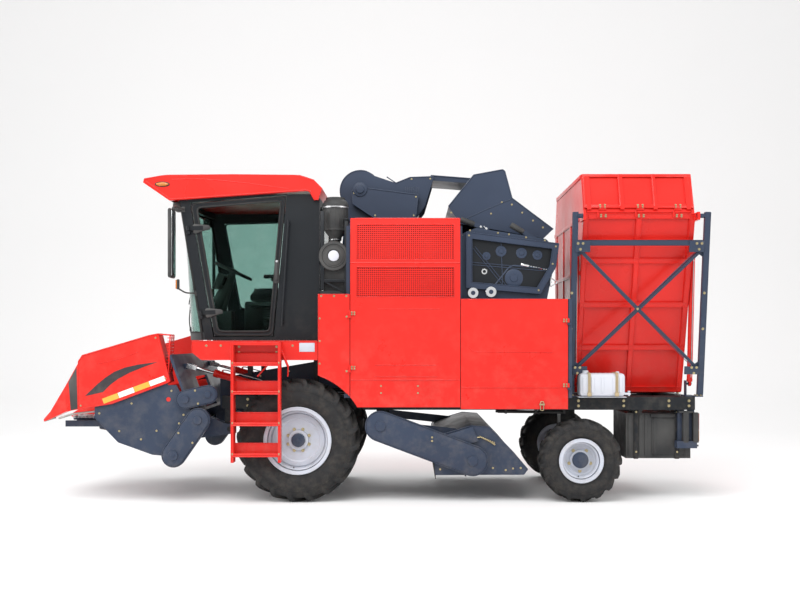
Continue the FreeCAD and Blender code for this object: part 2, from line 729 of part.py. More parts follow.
door_low = S.cab_floor_z + 40
door_front = (Size(1604, "1604"), Size(1836, "1836"))
door_rear = (Size(1018, "1018"), Size(892, "892"))
door_high = (Size(2950, "2950"), Size(3024, "3024"))
cab_door_outline = [
    (door_rear[0], door_low), (door_front[0], door_low),
    (door_front[1], door_high[0]), (door_rear[1], door_high[1]),
]
opening = [
    (door_rear[0] - 10, door_low - 10), (door_front[0] + 9, door_low - 10),
    (door_front[1] + 11, door_high[0] + 8), (door_rear[1] - 8, door_high[1] + 9),
]
wall_outline = [
    (S.cab_rear_x, S.cab_floor_z), (S.pillar_foot_x, S.cab_floor_z),
    (S.pillar_head_x, S.cab_top_z), (S.cab_rear_x, S.cab_top_z),
]
window_outline = [
    (Size(660, "660"), Size(1950, "1950")), (Size(1620, "1620"), Size(1950, "1950")),
    (Size(1800, "1800"), Size(2930, "2930")), (Size(660, "660"), Size(2960, "2960")),
]
left_wall = cut("cab_left_wall",
                plate("cab_left_plate", "XZ", wall_outline, cab_in, S.cab_half),
                [plate("cab_doorway", "XZ", opening, cab_in - 20, S.cab_half + 20)])
right_wall = cut("cab_right_wall",
                 plate("cab_right_plate", "XZ", wall_outline, -S.cab_half, -cab_in),
                 [plate("cab_side_window", "XZ", window_outline, -S.cab_half - 20, -cab_in + 20)])
rear_pane = ((-S.cab_half + 150, S.cab_half - 150), (Size(1900, "1900"), Size(2930, "2930")))
rear_wall = cut("cab_rear_wall",
                block("cab_rear_plate", (S.cab_rear_x, S.cab_rear_x + S.cab_wall),
                      (-cab_in - 10, cab_in + 10), (S.cab_floor_z, S.cab_top_z)),
                [block("cab_rear_window", (S.cab_rear_x - 20, S.cab_rear_x + 100), *rear_pane)])
floor_back = float(S.cab_rear_x) + 20
cab_floor = bowed_slab("cab_floor", float(S.cab_floor_z), float(S.cab_floor_z) + 30,
                       lambda z: floor_back, 0)
cab_sill = bowed_pane("cab_front_sill", float(S.cab_floor_z), float(S.cab_floor_z) + 75, 0, 60)
cab_header = bowed_pane("cab_front_header", float(S.cab_top_z) - 60, float(S.cab_top_z), 0, 70)
hinge_lean = Rotation(Vector(0, 1, 0), 8.42)
hinge_dir = hinge_lean.multVec(Vector(0, 0, 1))
hinge_foot = Vector(1737, 832, 1862)
hinge_heads = [hinge_foot + hinge_dir * d for d in (0, 846)]
cab_shell = fuse("cab_shell", [left_wall, right_wall, rear_wall, cab_floor, cab_sill, cab_header])
cab_bits = [cab_shell]
for number, head in enumerate(hinge_heads):
    pad = strut(f"cab_hinge_pad_{number}", head - hinge_dir * 46 + Vector(0, -36, 0),
                head - hinge_dir * 46 + Vector(0, 10, 0), Size(34, "34"), Size(30, "30"))
    cab_bits += [pad, link(f"cab_hinge_pin_{number}", head - hinge_dir * 50, head + hinge_dir * 24,
                           Size(8, "8"))]
for number, x in enumerate((640, 1520)):
    for side, sense in SIDES.items():
        cab_bits.append(rod(f"cab_mount_{number}_{side}",
                            (Size(x, str(x)), Size(650 * sense, str(650 * sense)),
                             S.deck_top + S.seat_gap), "Z", Size(45, "45"), Size(15, "15")))
cab_bits += [
    link("grab_rod", (860, 846, 2780), (925, 846, 1730), Size(11, "11")),
    link("grab_foot", (923, 790, 1770), (923, 852, 1770), Size(10, "10")),
    link("grab_head", (862, 790, 2740), (862, 852, 2740), Size(10, "10")),
]
node("cab_frame", fuse("cab_frame", cab_bits))

screen = cut("windscreen", bowed_pane("windscreen_pane", float(S.cab_floor_z) + 75.3,
                                      float(S.cab_top_z) - 60.3, 12, float(S.glass)),
             [side_block(f"screen_trim_{side}", sense, (Size(1600, "1600"), Size(2200, "2200")),
                         (cab_in - 0.3, S.cab_half + 10), (S.cab_floor_z, S.cab_top_z))
              for side, sense in SIDES.items()])
side_pane = plate("side_pane", "XZ", [
    (window_outline[0][0] + S.seat_gap, window_outline[0][1] + S.seat_gap),
    (window_outline[1][0] - 0.5, window_outline[1][1] + S.seat_gap),
    (window_outline[2][0] - 0.5, window_outline[2][1] - 0.5),
    (window_outline[3][0] + S.seat_gap, window_outline[3][1] - 0.5)],
    -S.cab_half + 10, -S.cab_half + 10 + S.glass)
back_pane = block("back_pane", (S.cab_rear_x + 12, S.cab_rear_x + 12 + S.glass),
                  (rear_pane[0][0] + S.seat_gap, rear_pane[0][1] - S.seat_gap),
                  (rear_pane[1][0] + S.seat_gap, rear_pane[1][1] - S.seat_gap))
node("cab_glass", group("cab_glass", [screen, side_pane, back_pane]))

# The roof comes down round the top of the cab as a skirt and runs forward as a sun visor.
roof_outline = [
    (Size(527, "527"), Size(3095, "3095")), (Size(565, "565"), Size(2978, "2978")),
    (Size(610, "610"), Size(2978, "2978")), (Size(640, "640"), Size(3070, "3070")),
    (Size(2040, "2040"), Size(2972, "2972")), (Size(2299, "2299"), Size(3150, "3150")),
    (Size(2290, "2290"), Size(3185, "3185")), (Size(2085, "2085"), S.roof_top_z - 6),
    (Size(1400, "1400"), S.roof_top_z), (Size(745, "745"), S.roof_top_z - 6),
    (Size(600, "600"), Size(3170, "3170")),
]
roof_shell = plate("roof_shell", "XZ", roof_outline, -S.cab_half - 50, S.cab_half + 50)
roof_space = block("roof_space", (S.cab_rear_x - S.seat_gap, Size(2062, "2062")),
                   (-S.cab_half - 9, S.cab_half + 9), (Size(2900, "2900"), S.cab_top_z + S.seat_gap))
node("cab_roof", cut("cab_roof", roof_shell, [roof_space]))

door_in = S.cab_half - 38
door_plate = plate("cab_door_plate", "XZ", cab_door_outline, door_in, S.cab_half)
pane_outline = [
    (door_rear[0] + 35, door_low + 45), (door_front[0] - 38, door_low + 45),
    (door_front[1] - 58, door_high[0] - 42), (door_rear[1] + 46, door_high[1] - 48),
]
door_hole = plate("cab_door_hole", "XZ", pane_outline, door_in - 10, S.cab_half + 10)
door_bits = [cut("cab_door_ring", door_plate, [door_hole])]
door_bores = []
for number, head in enumerate(hinge_heads):
    door_bits += [
        link(f"door_barrel_{number}", head - hinge_dir * 24, head + hinge_dir * 20, Size(17, "17")),
        strut(f"door_blade_{number}", head + Vector(-12, -18, 0), head + Vector(-150, -18, 4),
              Size(12, "12"), Size(42, "42")),
        strut(f"door_shim_{number}", head + Vector(-112, -26, 2), head + Vector(-150, -26, 4),
              Size(24, "24"), Size(42, "42")),
    ]
    door_bores.append(link(f"door_bore_{number}", head - hinge_dir * 60, head + hinge_dir * 60,
                           Size(8.5, "8.5")))
door_bits += [
    block("door_handle_base", (Size(968, "968"), Size(992, "992")),
          (S.cab_half - 10, S.cab_half + 22), (Size(2180, "2180"), Size(2360, "2360"))),
    block("door_handle", (Size(968, "968"), Size(992, "992")),
          (S.cab_half + 20, S.cab_half + 44), (Size(2190, "2190"), Size(2350, "2350"))),
]
node("cab_door", cut("cab_door", fuse("cab_door_body", door_bits), door_bores))
glass_outline = [
    (pane_outline[0][0] + 0.5, pane_outline[0][1] + 0.5),
    (pane_outline[1][0] - 0.5, pane_outline[1][1] + 0.5),
    (pane_outline[2][0] - 0.5, pane_outline[2][1] - 0.5),
    (pane_outline[3][0] + 0.5, pane_outline[3][1] - 0.5),
]
node("cab_door_glass", plate("cab_door_glass", "XZ", glass_outline,
                             S.cab_half - 12, S.cab_half - 12 + S.glass))

seat = [
    block("seat_base", (Size(930, "930"), Size(1230, "1230")), (Size(-170, "-170"), Size(170, "170")),
          (S.cab_floor_z + 30 + S.seat_gap, Size(2000, "2000"))),
    block("seat_cushion", (Size(890, "890"), Size(1370, "1370")), (Size(-250, "-250"), Size(250, "250")),
          (Size(1990, "1990"), Size(2110, "2110"))),
    strut("seat_back", (915, 0, 2060), (800, 0, 2700), Size(480, "480"), Size(100, "100")),
]
node("driver_seat", fuse("driver_seat", seat))
column_top = Vector(1560, 0, 2330)
wheel_axis = Vector(-0.42, 0, 0.907)
wheel_ring = Part.makeTorus(205, 15, column_top, wheel_axis)
column = [
    block("column_foot", (Size(1560, "1560"), Size(1760, "1760")), (Size(-110, "-110"), Size(110, "110")),
          (S.cab_floor_z + 30 + S.seat_gap, Size(1900, "1900"))),
    link("column_tube", (1680, 0, 1880), (column_top.x - 3, 0, column_top.z + 6), Size(35, "35")),
    feature("steering_ring", wheel_ring),
]
cross = wheel_axis.cross(Vector(0, 1, 0)).normalize()
for number, way in enumerate((Vector(0, 1, 0), Vector(0, -1, 0), cross)):
    column.append(link(f"wheel_spoke_{number}", column_top, column_top + way * 200, Size(9, "9")))
node("steering_column", fuse("steering_column", column))

mirror_parts = []
for side, sense in SIDES.items():
    y = (S.mirror_out_y - 190, S.mirror_out_y)
    mirror_parts.append(fuse(f"mirror_{side}", [
        side_block(f"mirror_case_{side}", sense, (Size(1945, "1945"), Size(1985, "1985")), y,
                   (Size(2190, "2190"), Size(2860, "2860"))),
        link(f"mirror_arm_{side}", (1912, sense * 803.4, 2890), (1965, sense * 1010, 2900), Size(13, "13")),
        link(f"mirror_stem_{side}", (1965, sense * 1005, 2905), (1965, sense * 1005, 2780), Size(13, "13")),
    ]))
node("mirrors", group("mirrors", mirror_parts))

# ---- body: frame, panels and doors ----------------------------------------------------------

tube_out = S.body_half - S.door_skin - 10
tube_in = tube_out - S.frame_tube
floor_z = S.rail_top + S.seat_gap
panel_in = S.body_half - S.door_skin
arch = across("wheel_arch", S.front_axle_x, S.front_radius, S.arch_radius,
              Size(-1300, "-1300"), Size(1300, "1300"))
rear_post = (S.body_rear_x - 37, S.body_rear_x - 3)
frame = [
    block("body_floor", (rear_post[0], S.engine_split_x), (-tube_in - 5, tube_in + 5),
          (floor_z + 20, floor_z + 20 + S.floor_sheet)),
    block("husker_deck", (rear_post[0], S.engine_split_x - 5), (-tube_in - 5, tube_in + 5),
          (S.husker_door_top_z - S.floor_sheet, S.husker_door_top_z)),
    block("engine_roof", (S.engine_split_x, Size(0, "0")), (-tube_in - 5, tube_in + 5),
          (Size(2690, "2690"), Size(2690, "2690") + S.floor_sheet)),
    block("engine_bulkhead", span(S.engine_split_x, Size(30, "30")), (-tube_in - 5, tube_in + 5),
          (floor_z + 20, Size(2700, "2700"))),
]
for side, sense in SIDES.items():
    frame += [
        side_block(f"body_rail_{side}", sense, (rear_post[0], S.panel_split_x + 60),
                   (tube_in, tube_out), (floor_z, floor_z + S.frame_tube)),
        side_block(f"body_post_rear_{side}", sense, rear_post, (tube_in, S.body_half),
                   (floor_z, S.husker_door_top_z)),
        side_block(f"body_post_mid_{side}", sense, span(S.engine_split_x, S.frame_tube),
                   (tube_in - 35, tube_out - 35), (floor_z, Size(2710, "2710"))),
        side_block(f"body_post_front_{side}", sense, (S.panel_split_x + 5, S.panel_split_x + 40),
                   (tube_in - 35, tube_out - 35), (floor_z, Size(2710, "2710"))),
        side_block(f"body_top_rail_{side}", sense, (S.engine_split_x, S.panel_split_x + 40),
                   (tube_in - 35, tube_out - 35), (Size(2670, "2670"), Size(2710, "2710"))),
        side_block(f"front_bulkhead_{side}", sense, (S.panel_split_x + 5, S.panel_split_x + 20),
                   (Size(400, "400"), tube_in), (floor_z, Size(2705, "2705"))),
        side_block(f"husker_rail_{side}", sense, (rear_post[0], S.engine_split_x), (tube_in, tube_out),
                   (S.husker_door_top_z - S.frame_tube, S.husker_door_top_z)),
    ]
    for number, x in enumerate((90, -160, -1120, -1900)):
        frame.append(side_block(f"outrigger_{number}_{side}", sense,
                                span(Size(x, str(x)), S.frame_tube), (sill[0], tube_in + 5),
                                (floor_z, floor_z + S.frame_tube)))


def hinge_side(name, sense, x, z, reach):
    """The fixed half of a door hinge: a lug and its pin; reach points to the fixed side."""
    body_y = S.body_half
    far = x + reach * 24
    near = x - reach * 9
    xs = (near, far) if reach > 0 else (far, near)
    seat = (x + reach * 3, far) if reach > 0 else (far, x + reach * 3)
    return [
        side_block(f"{name}_lug", sense, xs, (body_y + 6, body_y + 21), (z - 45, z - 22)),
        side_block(f"{name}_seat", sense, seat, (body_y - 8, body_y + 21), (z - 45, z - 22)),
        rod(f"{name}_pin", (x, (body_y + 13) * sense, z - 40), "Z", Size(6, "6"), Size(64, "64")),
    ]


def hinge_leaf(name, sense, x, z, reach):
    """The moving half of a door hinge: a barrel and its strap on the door."""
    body_y = S.body_half
    xs = (x + reach * 2, x + reach * 60) if reach > 0 else (x + reach * 60, x + reach * 2)
    return [
        side_block(f"{name}_strap", sense, xs, (body_y - 2, body_y + 6), (z - 20, z + 20)),
        rod(f"{name}_barrel", (x, (body_y + 13) * sense, z - 20), "Z", Size(11, "11"),
            Size(40, "40")),
    ]


def hinge_bore(name, sense, x, z):
    """The hole through the moving half of a door hinge."""
    return rod(f"{name}_bore", (x, (S.body_half + 13) * sense, z - 60), "Z", Size(6.5, "6.5"),
               Size(120, "120"))


engine_hinge_z = (Size(1320, "1320"), Size(1850, "1850"))
husker_hinge_z = (Size(1150, "1150"), Size(1780, "1780"))
fold_z = 2341
grille = ((Size(-775, "-775"), Size(175, "175")),
          ((Size(2010, "2010"), Size(2300, "2300")), (Size(2375, "2375"), Size(2720, "2720"))))
panels = []
for side, sense in SIDES.items():
    strip = side_block(f"narrow_panel_{side}", sense, (S.panel_split_x + 3, S.panel_front_x),
                       (panel_in, S.body_half), (S.skirt_z, S.panel_top_z))
    top_cut = side_block(f"narrow_stay_{side}", sense, (S.panel_split_x + 8, S.panel_split_x + 38),
                         (tube_out - 35 + S.seat_gap, panel_in + 5), (Size(1300, "1300"), Size(1960, "1960")))
    bits = [cut(f"narrow_sheet_{side}", strip, [arch]), top_cut]
    for number, z in enumerate(engine_hinge_z):
        bits += hinge_side(f"engine_hinge_{side}_{number}", sense, S.panel_split_x, z, 1)
    panels.append(fuse(f"side_panel_{side}", bits))

    lines = [(panel_in, S.skirt_z), (S.body_half, S.skirt_z), (S.body_half, Size(fold_z, "2341")),
             (S.body_half - 34, S.engine_door_top_z), (panel_in - 34, S.engine_door_top_z),
             (panel_in, Size(fold_z, "2341"))]
    sheet_part = plate(f"engine_door_sheet_{side}", "YZ", [(a * sense, b) for a, b in lines],
                       S.engine_split_x + 3, S.panel_split_x - 3)
    tools = [arch]
    for number, z in enumerate(grille[1]):
        step = 0 if number == 0 else 30
        tools.append(side_block(f"grille_{side}_{number}", sense, grille[0],
                                (panel_in + 8 - step, S.body_half + 10), z))
    bits = [cut(f"engine_door_panel_{side}", sheet_part, tools)]
    for number, z in enumerate(engine_hinge_z):
        bits += hinge_leaf(f"engine_leaf_{side}_{number}", sense, S.panel_split_x, z, -1)
    bores = [hinge_bore(f"engine_leaf_{side}_{n}", sense, S.panel_split_x, z)
             for n, z in enumerate(engine_hinge_z)]
    node(f"engine_door_{side}", cut(f"engine_door_{side}", fuse(f"engine_door_body_{side}", bits),
                                    bores))

    bits = [side_block(f"husker_door_sheet_{side}", sense,
                       (S.body_rear_x + 3, S.engine_split_x - 3), (panel_in, S.body_half),
                       (S.skirt_z - 18, S.husker_door_top_z))]
    for number, z in enumerate(husker_hinge_z):
        bits += hinge_leaf(f"husker_leaf_{side}_{number}", sense, S.body_rear_x, z, 1)
    bores = [hinge_bore(f"husker_leaf_{side}_{n}", sense, S.body_rear_x, z)
             for n, z in enumerate(husker_hinge_z)]
    node(f"husker_door_{side}", cut(f"husker_door_{side}", fuse(f"husker_door_body_{side}", bits),
                                    bores))
    for number, z in enumerate(husker_hinge_z):
        frame += hinge_side(f"husker_hinge_{side}_{number}", sense, S.body_rear_x, z, -1)
node("side_panels", group("side_panels", panels))
node("body_frame", fuse("body_frame", frame))

engine = [
    block("engine_mass", (Size(-700, "-700"), Size(-60, "-60")), (Size(-300, "-300"), Size(300, "300")),
          (S.rail_top + 40, Size(1760, "1760"))),
    block("engine_feet", (Size(-600, "-600"), Size(-160, "-160")), (-rail_out, rail_out),
          (S.rail_top + S.seat_gap, S.rail_top + 60)),
]
node("engine_block", fuse("engine_block", engine))

# ---- air cleaner ----------------------------------------------------------------------------

cleaner_x = Size(406, "406")
cleaner_z = Size(2417, "2417")
cleaner = [
    across("cleaner_body", cleaner_x, cleaner_z, Size(138, "138"), Size(500, "500"), Size(890, "890")),
    across("cleaner_cap", cleaner_x, cleaner_z, Size(110, "110"), Size(880, "880"), Size(925, "925")),
    rod("cleaner_pipe", (cleaner_x, Size(760, "760"), cleaner_z), "Z", Size(55, "55"),
        Size(300, "300")),
    rod("bowl", (cleaner_x - 6, Size(760, "760"), cleaner_z + 262), "Z", Size(122, "122"),
        Size(260, "260")),
    rod("bowl_cap", (cleaner_x - 6, Size(760, "760"), cleaner_z + 520), "Z", Size(95, "95"),
        Size(70, "70")),
    block("cleaner_cradle", (cleaner_x - 105, cleaner_x + 105), (Size(560, "560"), Size(860, "860")),
          (Size(2060, "2060"), cleaner_z - 60)),
    block("cleaner_shelf", (S.panel_split_x + 20 + S.seat_gap, S.panel_front_x - 14),
          (Size(560, "560"), tube_in - 35 - S.seat_gap), (Size(1985, "1985"), Size(2075, "2075"))),
]
node("air_cleaner", fuse("air_cleaner", cleaner))

# ---- elevator, head and hood ----------------------------------------------------------------

feeder_top = S.feeder_front_z + S.feeder_height
case_outline = [
    (S.feeder_front_x, S.feeder_front_z), (S.feeder_front_x, feeder_top),
    (S.feeder_rear_x - 8, S.feeder_rear_z + S.feeder_height), (S.head_x + S.riser_depth / 2, S.head_z),
    (S.head_x - S.riser_depth / 2, S.head_z), (S.feeder_rear_x - S.riser_depth, S.feeder_rear_z + 15),
    (S.feeder_rear_x, S.feeder_rear_z),
]
wall = S.sheet_wall
case_space = [
    (S.feeder_front_x + 10, S.feeder_front_z + wall), (S.feeder_front_x + 10, feeder_top - wall),
    (S.feeder_rear_x - 8 - wall, S.feeder_rear_z + S.feeder_height - wall),
    (S.head_x + S.riser_depth / 2 - wall, S.head_z - S.head_radius + 30),
    (S.head_x - S.riser_depth / 2 + wall, S.head_z - S.head_radius + 30),
    (S.feeder_rear_x - S.riser_depth + wall, S.feeder_rear_z + 15 + wall),
    (S.feeder_rear_x, S.feeder_rear_z + wall),
]
half = S.feeder_half
head_round = across("head_round", S.head_x, S.head_z, S.head_radius, -half, half)
duct_outline = [
    (S.head_x, S.head_z + S.head_radius - 10), (Size(-197, "-197"), Size(3231, "3231")),
    (Size(-343, "-343"), Size(3290, "3290")), (Size(-590, "-590"), Size(3299, "3299")),
    (Size(-496, "-496"), Size(2986, "2986")), (Size(-412, "-412"), Size(2875, "2875")),
    (S.head_x, S.head_z - S.head_radius),
]
duct_space = [
    (Size(-150, "-150"), Size(3195, "3195")), (Size(-330, "-330"), Size(3262, "3262")),
    (Size(-640, "-640"), Size(3276, "3276")), (Size(-560, "-560"), Size(2970, "2970")),
    (Size(-430, "-430"), Size(2905, "2905")), (Size(-150, "-150"), Size(2950, "2950")),
]
drive_case = [
    (Size(260, "260"), Size(3131, "3131")), (Size(177, "177"), Size(3173, "3173")),
    (Size(-430, "-430"), Size(3094, "3094")), (Size(-402, "-402"), Size(2857, "2857")),
    (Size(30, "30"), Size(2857, "2857")), (Size(251, "251"), Size(3002, "3002")),
]
head_gap = S.seat_gap
riser = cut("elevator", plate("elevator_case", "XZ", case_outline, -half, half),
            [plate("elevator_space", "XZ", case_space, -half + wall, half - wall),
             across("head_seat", S.head_x, S.head_z, S.head_radius + head_gap, -half - 5, half + 5),
             plate("duct_seat", "XZ", duct_outline, -half - 5, half + 5),
             plate("drive_case_seat", "XZ", drive_case, half - 5.3, half + 5)])
feet = [
    block("riser_foot", (Size(192, "192"), Size(240, "240")), (-rail_out, rail_out),
          (S.rail_top + S.seat_gap, Size(1104, "1104"))),
    block("feeder_foot", span(Size(1300, "1300"), Size(80, "80")), (-half, half),
          (rail_bottom + 5 + S.seat_gap, Size(951, "951"))),
]
node("elevator", fuse("elevator_on_feet", [riser] + feet))
head = fuse("head_body", [head_round, plate("head_duct", "XZ", duct_outline, -half, half),
                          plate("head_drive_case", "XZ", drive_case, half - 5, half + 90)])
node("elevator_head", cut("elevator_head", head,
                          [plate("head_duct_space", "XZ", duct_space, -half + wall, half - wall)]))

hood_outline = [
    (Size(-733, "-733"), Size(2943, "2943")), (Size(-989, "-989"), Size(3262, "3262")),
    (Size(-1282, "-1282"), Size(3316, "3316")), (Size(-1304, "-1304"), Size(3299, "3299")),
    (Size(-1377, "-1377"), Size(3027, "3027")), (Size(-1795, "-1795"), Size(2713, "2713")),
    (Size(-1696, "-1696"), Size(2619, "2619")), (Size(-856, "-856"), Size(2769, "2769")),
]
hood_space = [
    (Size(-764, "-764"), Size(2938, "2938")), (Size(-1000, "-1000"), Size(3238, "3238")),
    (Size(-1270, "-1270"), Size(3290, "3290")), (Size(-1356, "-1356"), Size(3012, "3012")),
    (Size(-1760, "-1760"), Size(2712, "2712")), (Size(-1660, "-1660"), Size(2560, "2560")),
    (Size(-870, "-870"), Size(2700, "2700")),
]
hood_shell = cut("hood_shell", plate("hood_outside", "XZ", hood_outline, -S.hood_half, S.hood_half),
                 [plate("hood_inside", "XZ", hood_space, -S.hood_half + wall, S.hood_half - wall)])
hood_bar = strut("hood_bar", (-560, 0, 3290), (-1020, 0, 3255), Size(520, "520"), Size(50, "50"))
duct_room = plate("hood_bar_seat", "XZ", duct_outline, -half - 5, half + 5)
node("husker_hood", fuse("husker_hood", [cut("hood_bar_cut", hood_bar, [duct_room]), hood_shell]))

# ---- husker ---------------------------------------------------------------------------------

deck_z = S.husker_door_top_z + S.seat_gap
husker_outline = [
    (S.engine_split_x - 20, deck_z), (S.engine_split_x - 20, Size(2640, "2640")),
    (Size(-1000, "-1000"), Size(2700, "2700")), (Size(-1690, "-1690"), Size(2590, "2590")),
    (Size(-1800, "-1800"), Size(2480, "2480")), (Size(-1700, "-1700"), deck_z),
]
guard_outline = [
    (Size(-900, "-900"), Size(2107, "2107")), (Size(-900, "-900"), Size(2655, "2655")),
    (Size(-1810, "-1810"), Size(2539, "2539")), (Size(-1779, "-1779"), Size(2309, "2309")),
    (Size(-1629, "-1629"), Size(2046, "2046")),
]
guard_space = [
    (Size(-955, "-955"), Size(2158, "2158")), (Size(-955, "-955"), Size(2592, "2592")),
    (Size(-1750, "-1750"), Size(2492, "2492")), (Size(-1724, "-1724"), Size(2321, "2321")),
    (Size(-1597, "-1597"), Size(2104, "2104")),
]
husker = [cut("husker_case", plate("husker_solid", "XZ", husker_outline,
                                   -S.husker_half, S.husker_half),
              [plate("husker_space", "XZ", [
                  (S.engine_split_x - 50, deck_z + 30), (S.engine_split_x - 50, Size(2600, "2600")),
                  (Size(-1000, "-1000"), Size(2640, "2640")), (Size(-1670, "-1670"), Size(2540, "2540")),
                  (Size(-1750, "-1750"), Size(2470, "2470")), (Size(-1670, "-1670"), deck_z + 30)],
                  -S.husker_half + 30, S.husker_half - 30),
               plate("hood_seat", "XZ", hood_outline, -S.hood_half - 5, S.hood_half + 5)])]
for side, sense in SIDES.items():
    low, high = (S.husker_half - 5, S.husker_half + 45)
    edges = (low, high) if sense > 0 else (-high, -low)
    inner = (high - 40, high + 10) if sense > 0 else (-high - 10, -high + 40)
    husker.append(cut(f"guard_{side}", plate(f"guard_plate_{side}", "XZ", guard_outline, *edges),
                      [plate(f"guard_space_{side}", "XZ", guard_space, *inner)]))
    for number, (x, z) in enumerate(((-965, 2053), (-1142, 2063))):
        husker.append(side_rod(f"husk_pulley_{number}_{side}", sense, Size(x, str(x)), Size(z, str(z)),
                               Size(46, "46"), S.husker_half - 10, S.husker_half + 50))
    for number, (a, b) in enumerate((((-860, 2790), (-1130, 2690)), ((-1360, 2735), (-1650, 2560)))):
        husker.append(strut(f"latch_handle_{number}_{side}", (a[0], sense * 760, a[1]),
                            (b[0], sense * 760, b[1]), Size(34, "34"), Size(40, "40")))
        husker.append(strut(f"latch_stem_{number}_{side}", (b[0] + 30, sense * 760, b[1] + 5),
                            (b[0] + 30, sense * 760, b[1] - 150), Size(30, "30"), Size(30, "30")))
node("husker", fuse("husker", husker))

# ---- bin, its frame and tipping cylinders ---------------------------------------------------

bin_rear_x = S.bin_front_x - S.bin_length
bin_outline = [
    (S.bin_foot_y, S.bin_floor_z), (S.bin_half, S.bin_rim_z), (S.bin_crown_half, S.bin_crown_z),
    (-S.bin_crown_half, S.bin_crown_z), (-S.bin_half, S.bin_rim_z), (-S.bin_half, S.bin_floor_z),
]
t = S.bin_wall
bin_space = [
    (S.bin_foot_y - t, S.bin_floor_z + t), (S.bin_half - t, S.bin_rim_z),
    (S.bin_half - t, S.bin_rim_z + 1), (S.bin_crown_half - t, S.bin_crown_z + 20),
    (t - S.bin_crown_half, S.bin_crown_z + 20), (t - S.bin_half, S.bin_rim_z),
    (t - S.bin_half, S.bin_floor_z + t),
]
bin_shell = cut("bin_shell", plate("bin_solid", "YZ", bin_outline, bin_rear_x, S.bin_front_x), [
    plate("bin_inside", "YZ", bin_space, bin_rear_x + t, S.bin_front_x - t),
    block("flap_room", (bin_rear_x + t, S.bin_front_x - t), (Size(700, "700"), Size(1100, "1100")),
          (S.bin_rim_z, S.bin_crown_z + 50)),
])
bin_parts = [bin_shell]
slope = (S.bin_half - S.bin_foot_y) / (S.bin_rim_z - S.bin_floor_z)


def wall_y(z):
    """Outside of the sloping wall at a height."""
    return S.bin_foot_y + (z - S.bin_floor_z) * slope


for number, share in enumerate((0, 0.5, 1)):
    x = bin_rear_x + (S.bin_length - 50) * share
    low, high = S.bin_floor_z + 10, S.bin_rim_z - 5
    bin_parts.append(plate(f"bin_stile_{number}", "YZ", [
        (wall_y(low) - 5, low), (wall_y(low) + S.rib, low),
        (wall_y(high) + S.rib, high), (wall_y(high) - 5, high)], x, x + 50))
for number in range(5):
    z = S.bin_floor_z + 10 + (S.bin_rim_z - S.bin_floor_z - 65) * (number / 4)
    bin_parts.append(plate(f"bin_rail_{number}", "YZ", [
        (wall_y(z) - 5, z), (wall_y(z) + S.rib, z),
        (wall_y(z + 50) + S.rib, z + 50), (wall_y(z + 50) - 5, z + 50)],
        bin_rear_x, S.bin_front_x))
ear_hole = []
for name, face, out in (("front", S.bin_front_x, 1), ("rear", bin_rear_x, -1)):
    xs = (face - 4, face + 20) if out > 0 else (face - 20, face + 4)
    bin_parts.append(block(f"bin_ear_{name}", xs, (S.bin_half - 90, S.tip_y + 38),
                           (S.tip_z - 42, S.bin_rim_z)))
    ear_hole.append(rod(f"bin_ear_hole_{name}", (face - 60, S.tip_y, S.tip_z), "X",
                        S.tip_pin + S.run_gap, Size(120, "120")))
flap_axis = (S.bin_half + 18, S.bin_rim_z + 12)
flap_hinges = [bin_rear_x + S.bin_length * share for share in (0.16, 0.5, 0.84)]
for number, x in enumerate(flap_hinges):
    bin_parts += [
        block(f"flap_lug_{number}", (x + 30, x + 44), (S.bin_half - 30, S.bin_half + 30),
              (S.bin_rim_z - 40, S.bin_rim_z + 24)),
        rod(f"flap_pin_{number}", (x - 26, flap_axis[0], flap_axis[1]), "X", Size(6, "6"),
            Size(66, "66")),
    ]
lug_notches = [block(f"flap_lug_notch_{n}", (x + 24, x + 50), (S.bin_half - 31, S.bin_half + 4),
                     (S.bin_rim_z + 0.5, S.bin_rim_z + 60)) for n, x in enumerate(flap_hinges)]
node("bin_tub", cut("bin_tub", fuse("bin_body", bin_parts), ear_hole + lug_notches))

flap_foot = S.bin_rim_z + 8
flap_lean = (S.bin_half - S.bin_crown_half) / (S.bin_crown_z - S.bin_rim_z)
flap_room = (bin_rear_x + t + S.move_gap, S.bin_front_x - t - S.move_gap)
flap_outline = [
    (S.bin_half - 28, flap_foot), (S.bin_half - 3, flap_foot),
    (S.bin_crown_half + 2, S.bin_crown_z), (S.bin_crown_half - 22, S.bin_crown_z),
]
flap_parts = [plate("flap_sheet", "YZ", flap_outline, *flap_room)]
for number, x in enumerate(flap_hinges):
    flap_parts += [
        rod(f"flap_barrel_{number}", (x - 24, flap_axis[0], flap_axis[1]), "X", Size(12, "12"),
            Size(48, "48")),
        block(f"flap_strap_{number}", (x - 24, x + 24), (S.bin_half - 14, flap_axis[0]),
              (flap_axis[1], flap_axis[1] + 12)),
    ]
for number, share in enumerate((0, 1 / 3, 2 / 3, 1)):
    x = flap_room[0] + (S.bin_length - 112) * share
    flap_parts.append(plate(f"flap_rib_{number}", "YZ", [
        (S.bin_half - 24, flap_foot + 30), (S.bin_half + 10, flap_foot + 30),
        (S.bin_crown_half + 20, S.bin_crown_z), (S.bin_crown_half - 8, S.bin_crown_z)], x, x + 40))
flap_bores = [rod(f"flap_bore_{n}", (x - 60, flap_axis[0], flap_axis[1]), "X", Size(6.5, "6.5"),
                  Size(120, "120")) for n, x in enumerate(flap_hinges)]
node("bin_flap", cut("bin_flap", fuse("bin_flap_body", flap_parts), flap_bores))

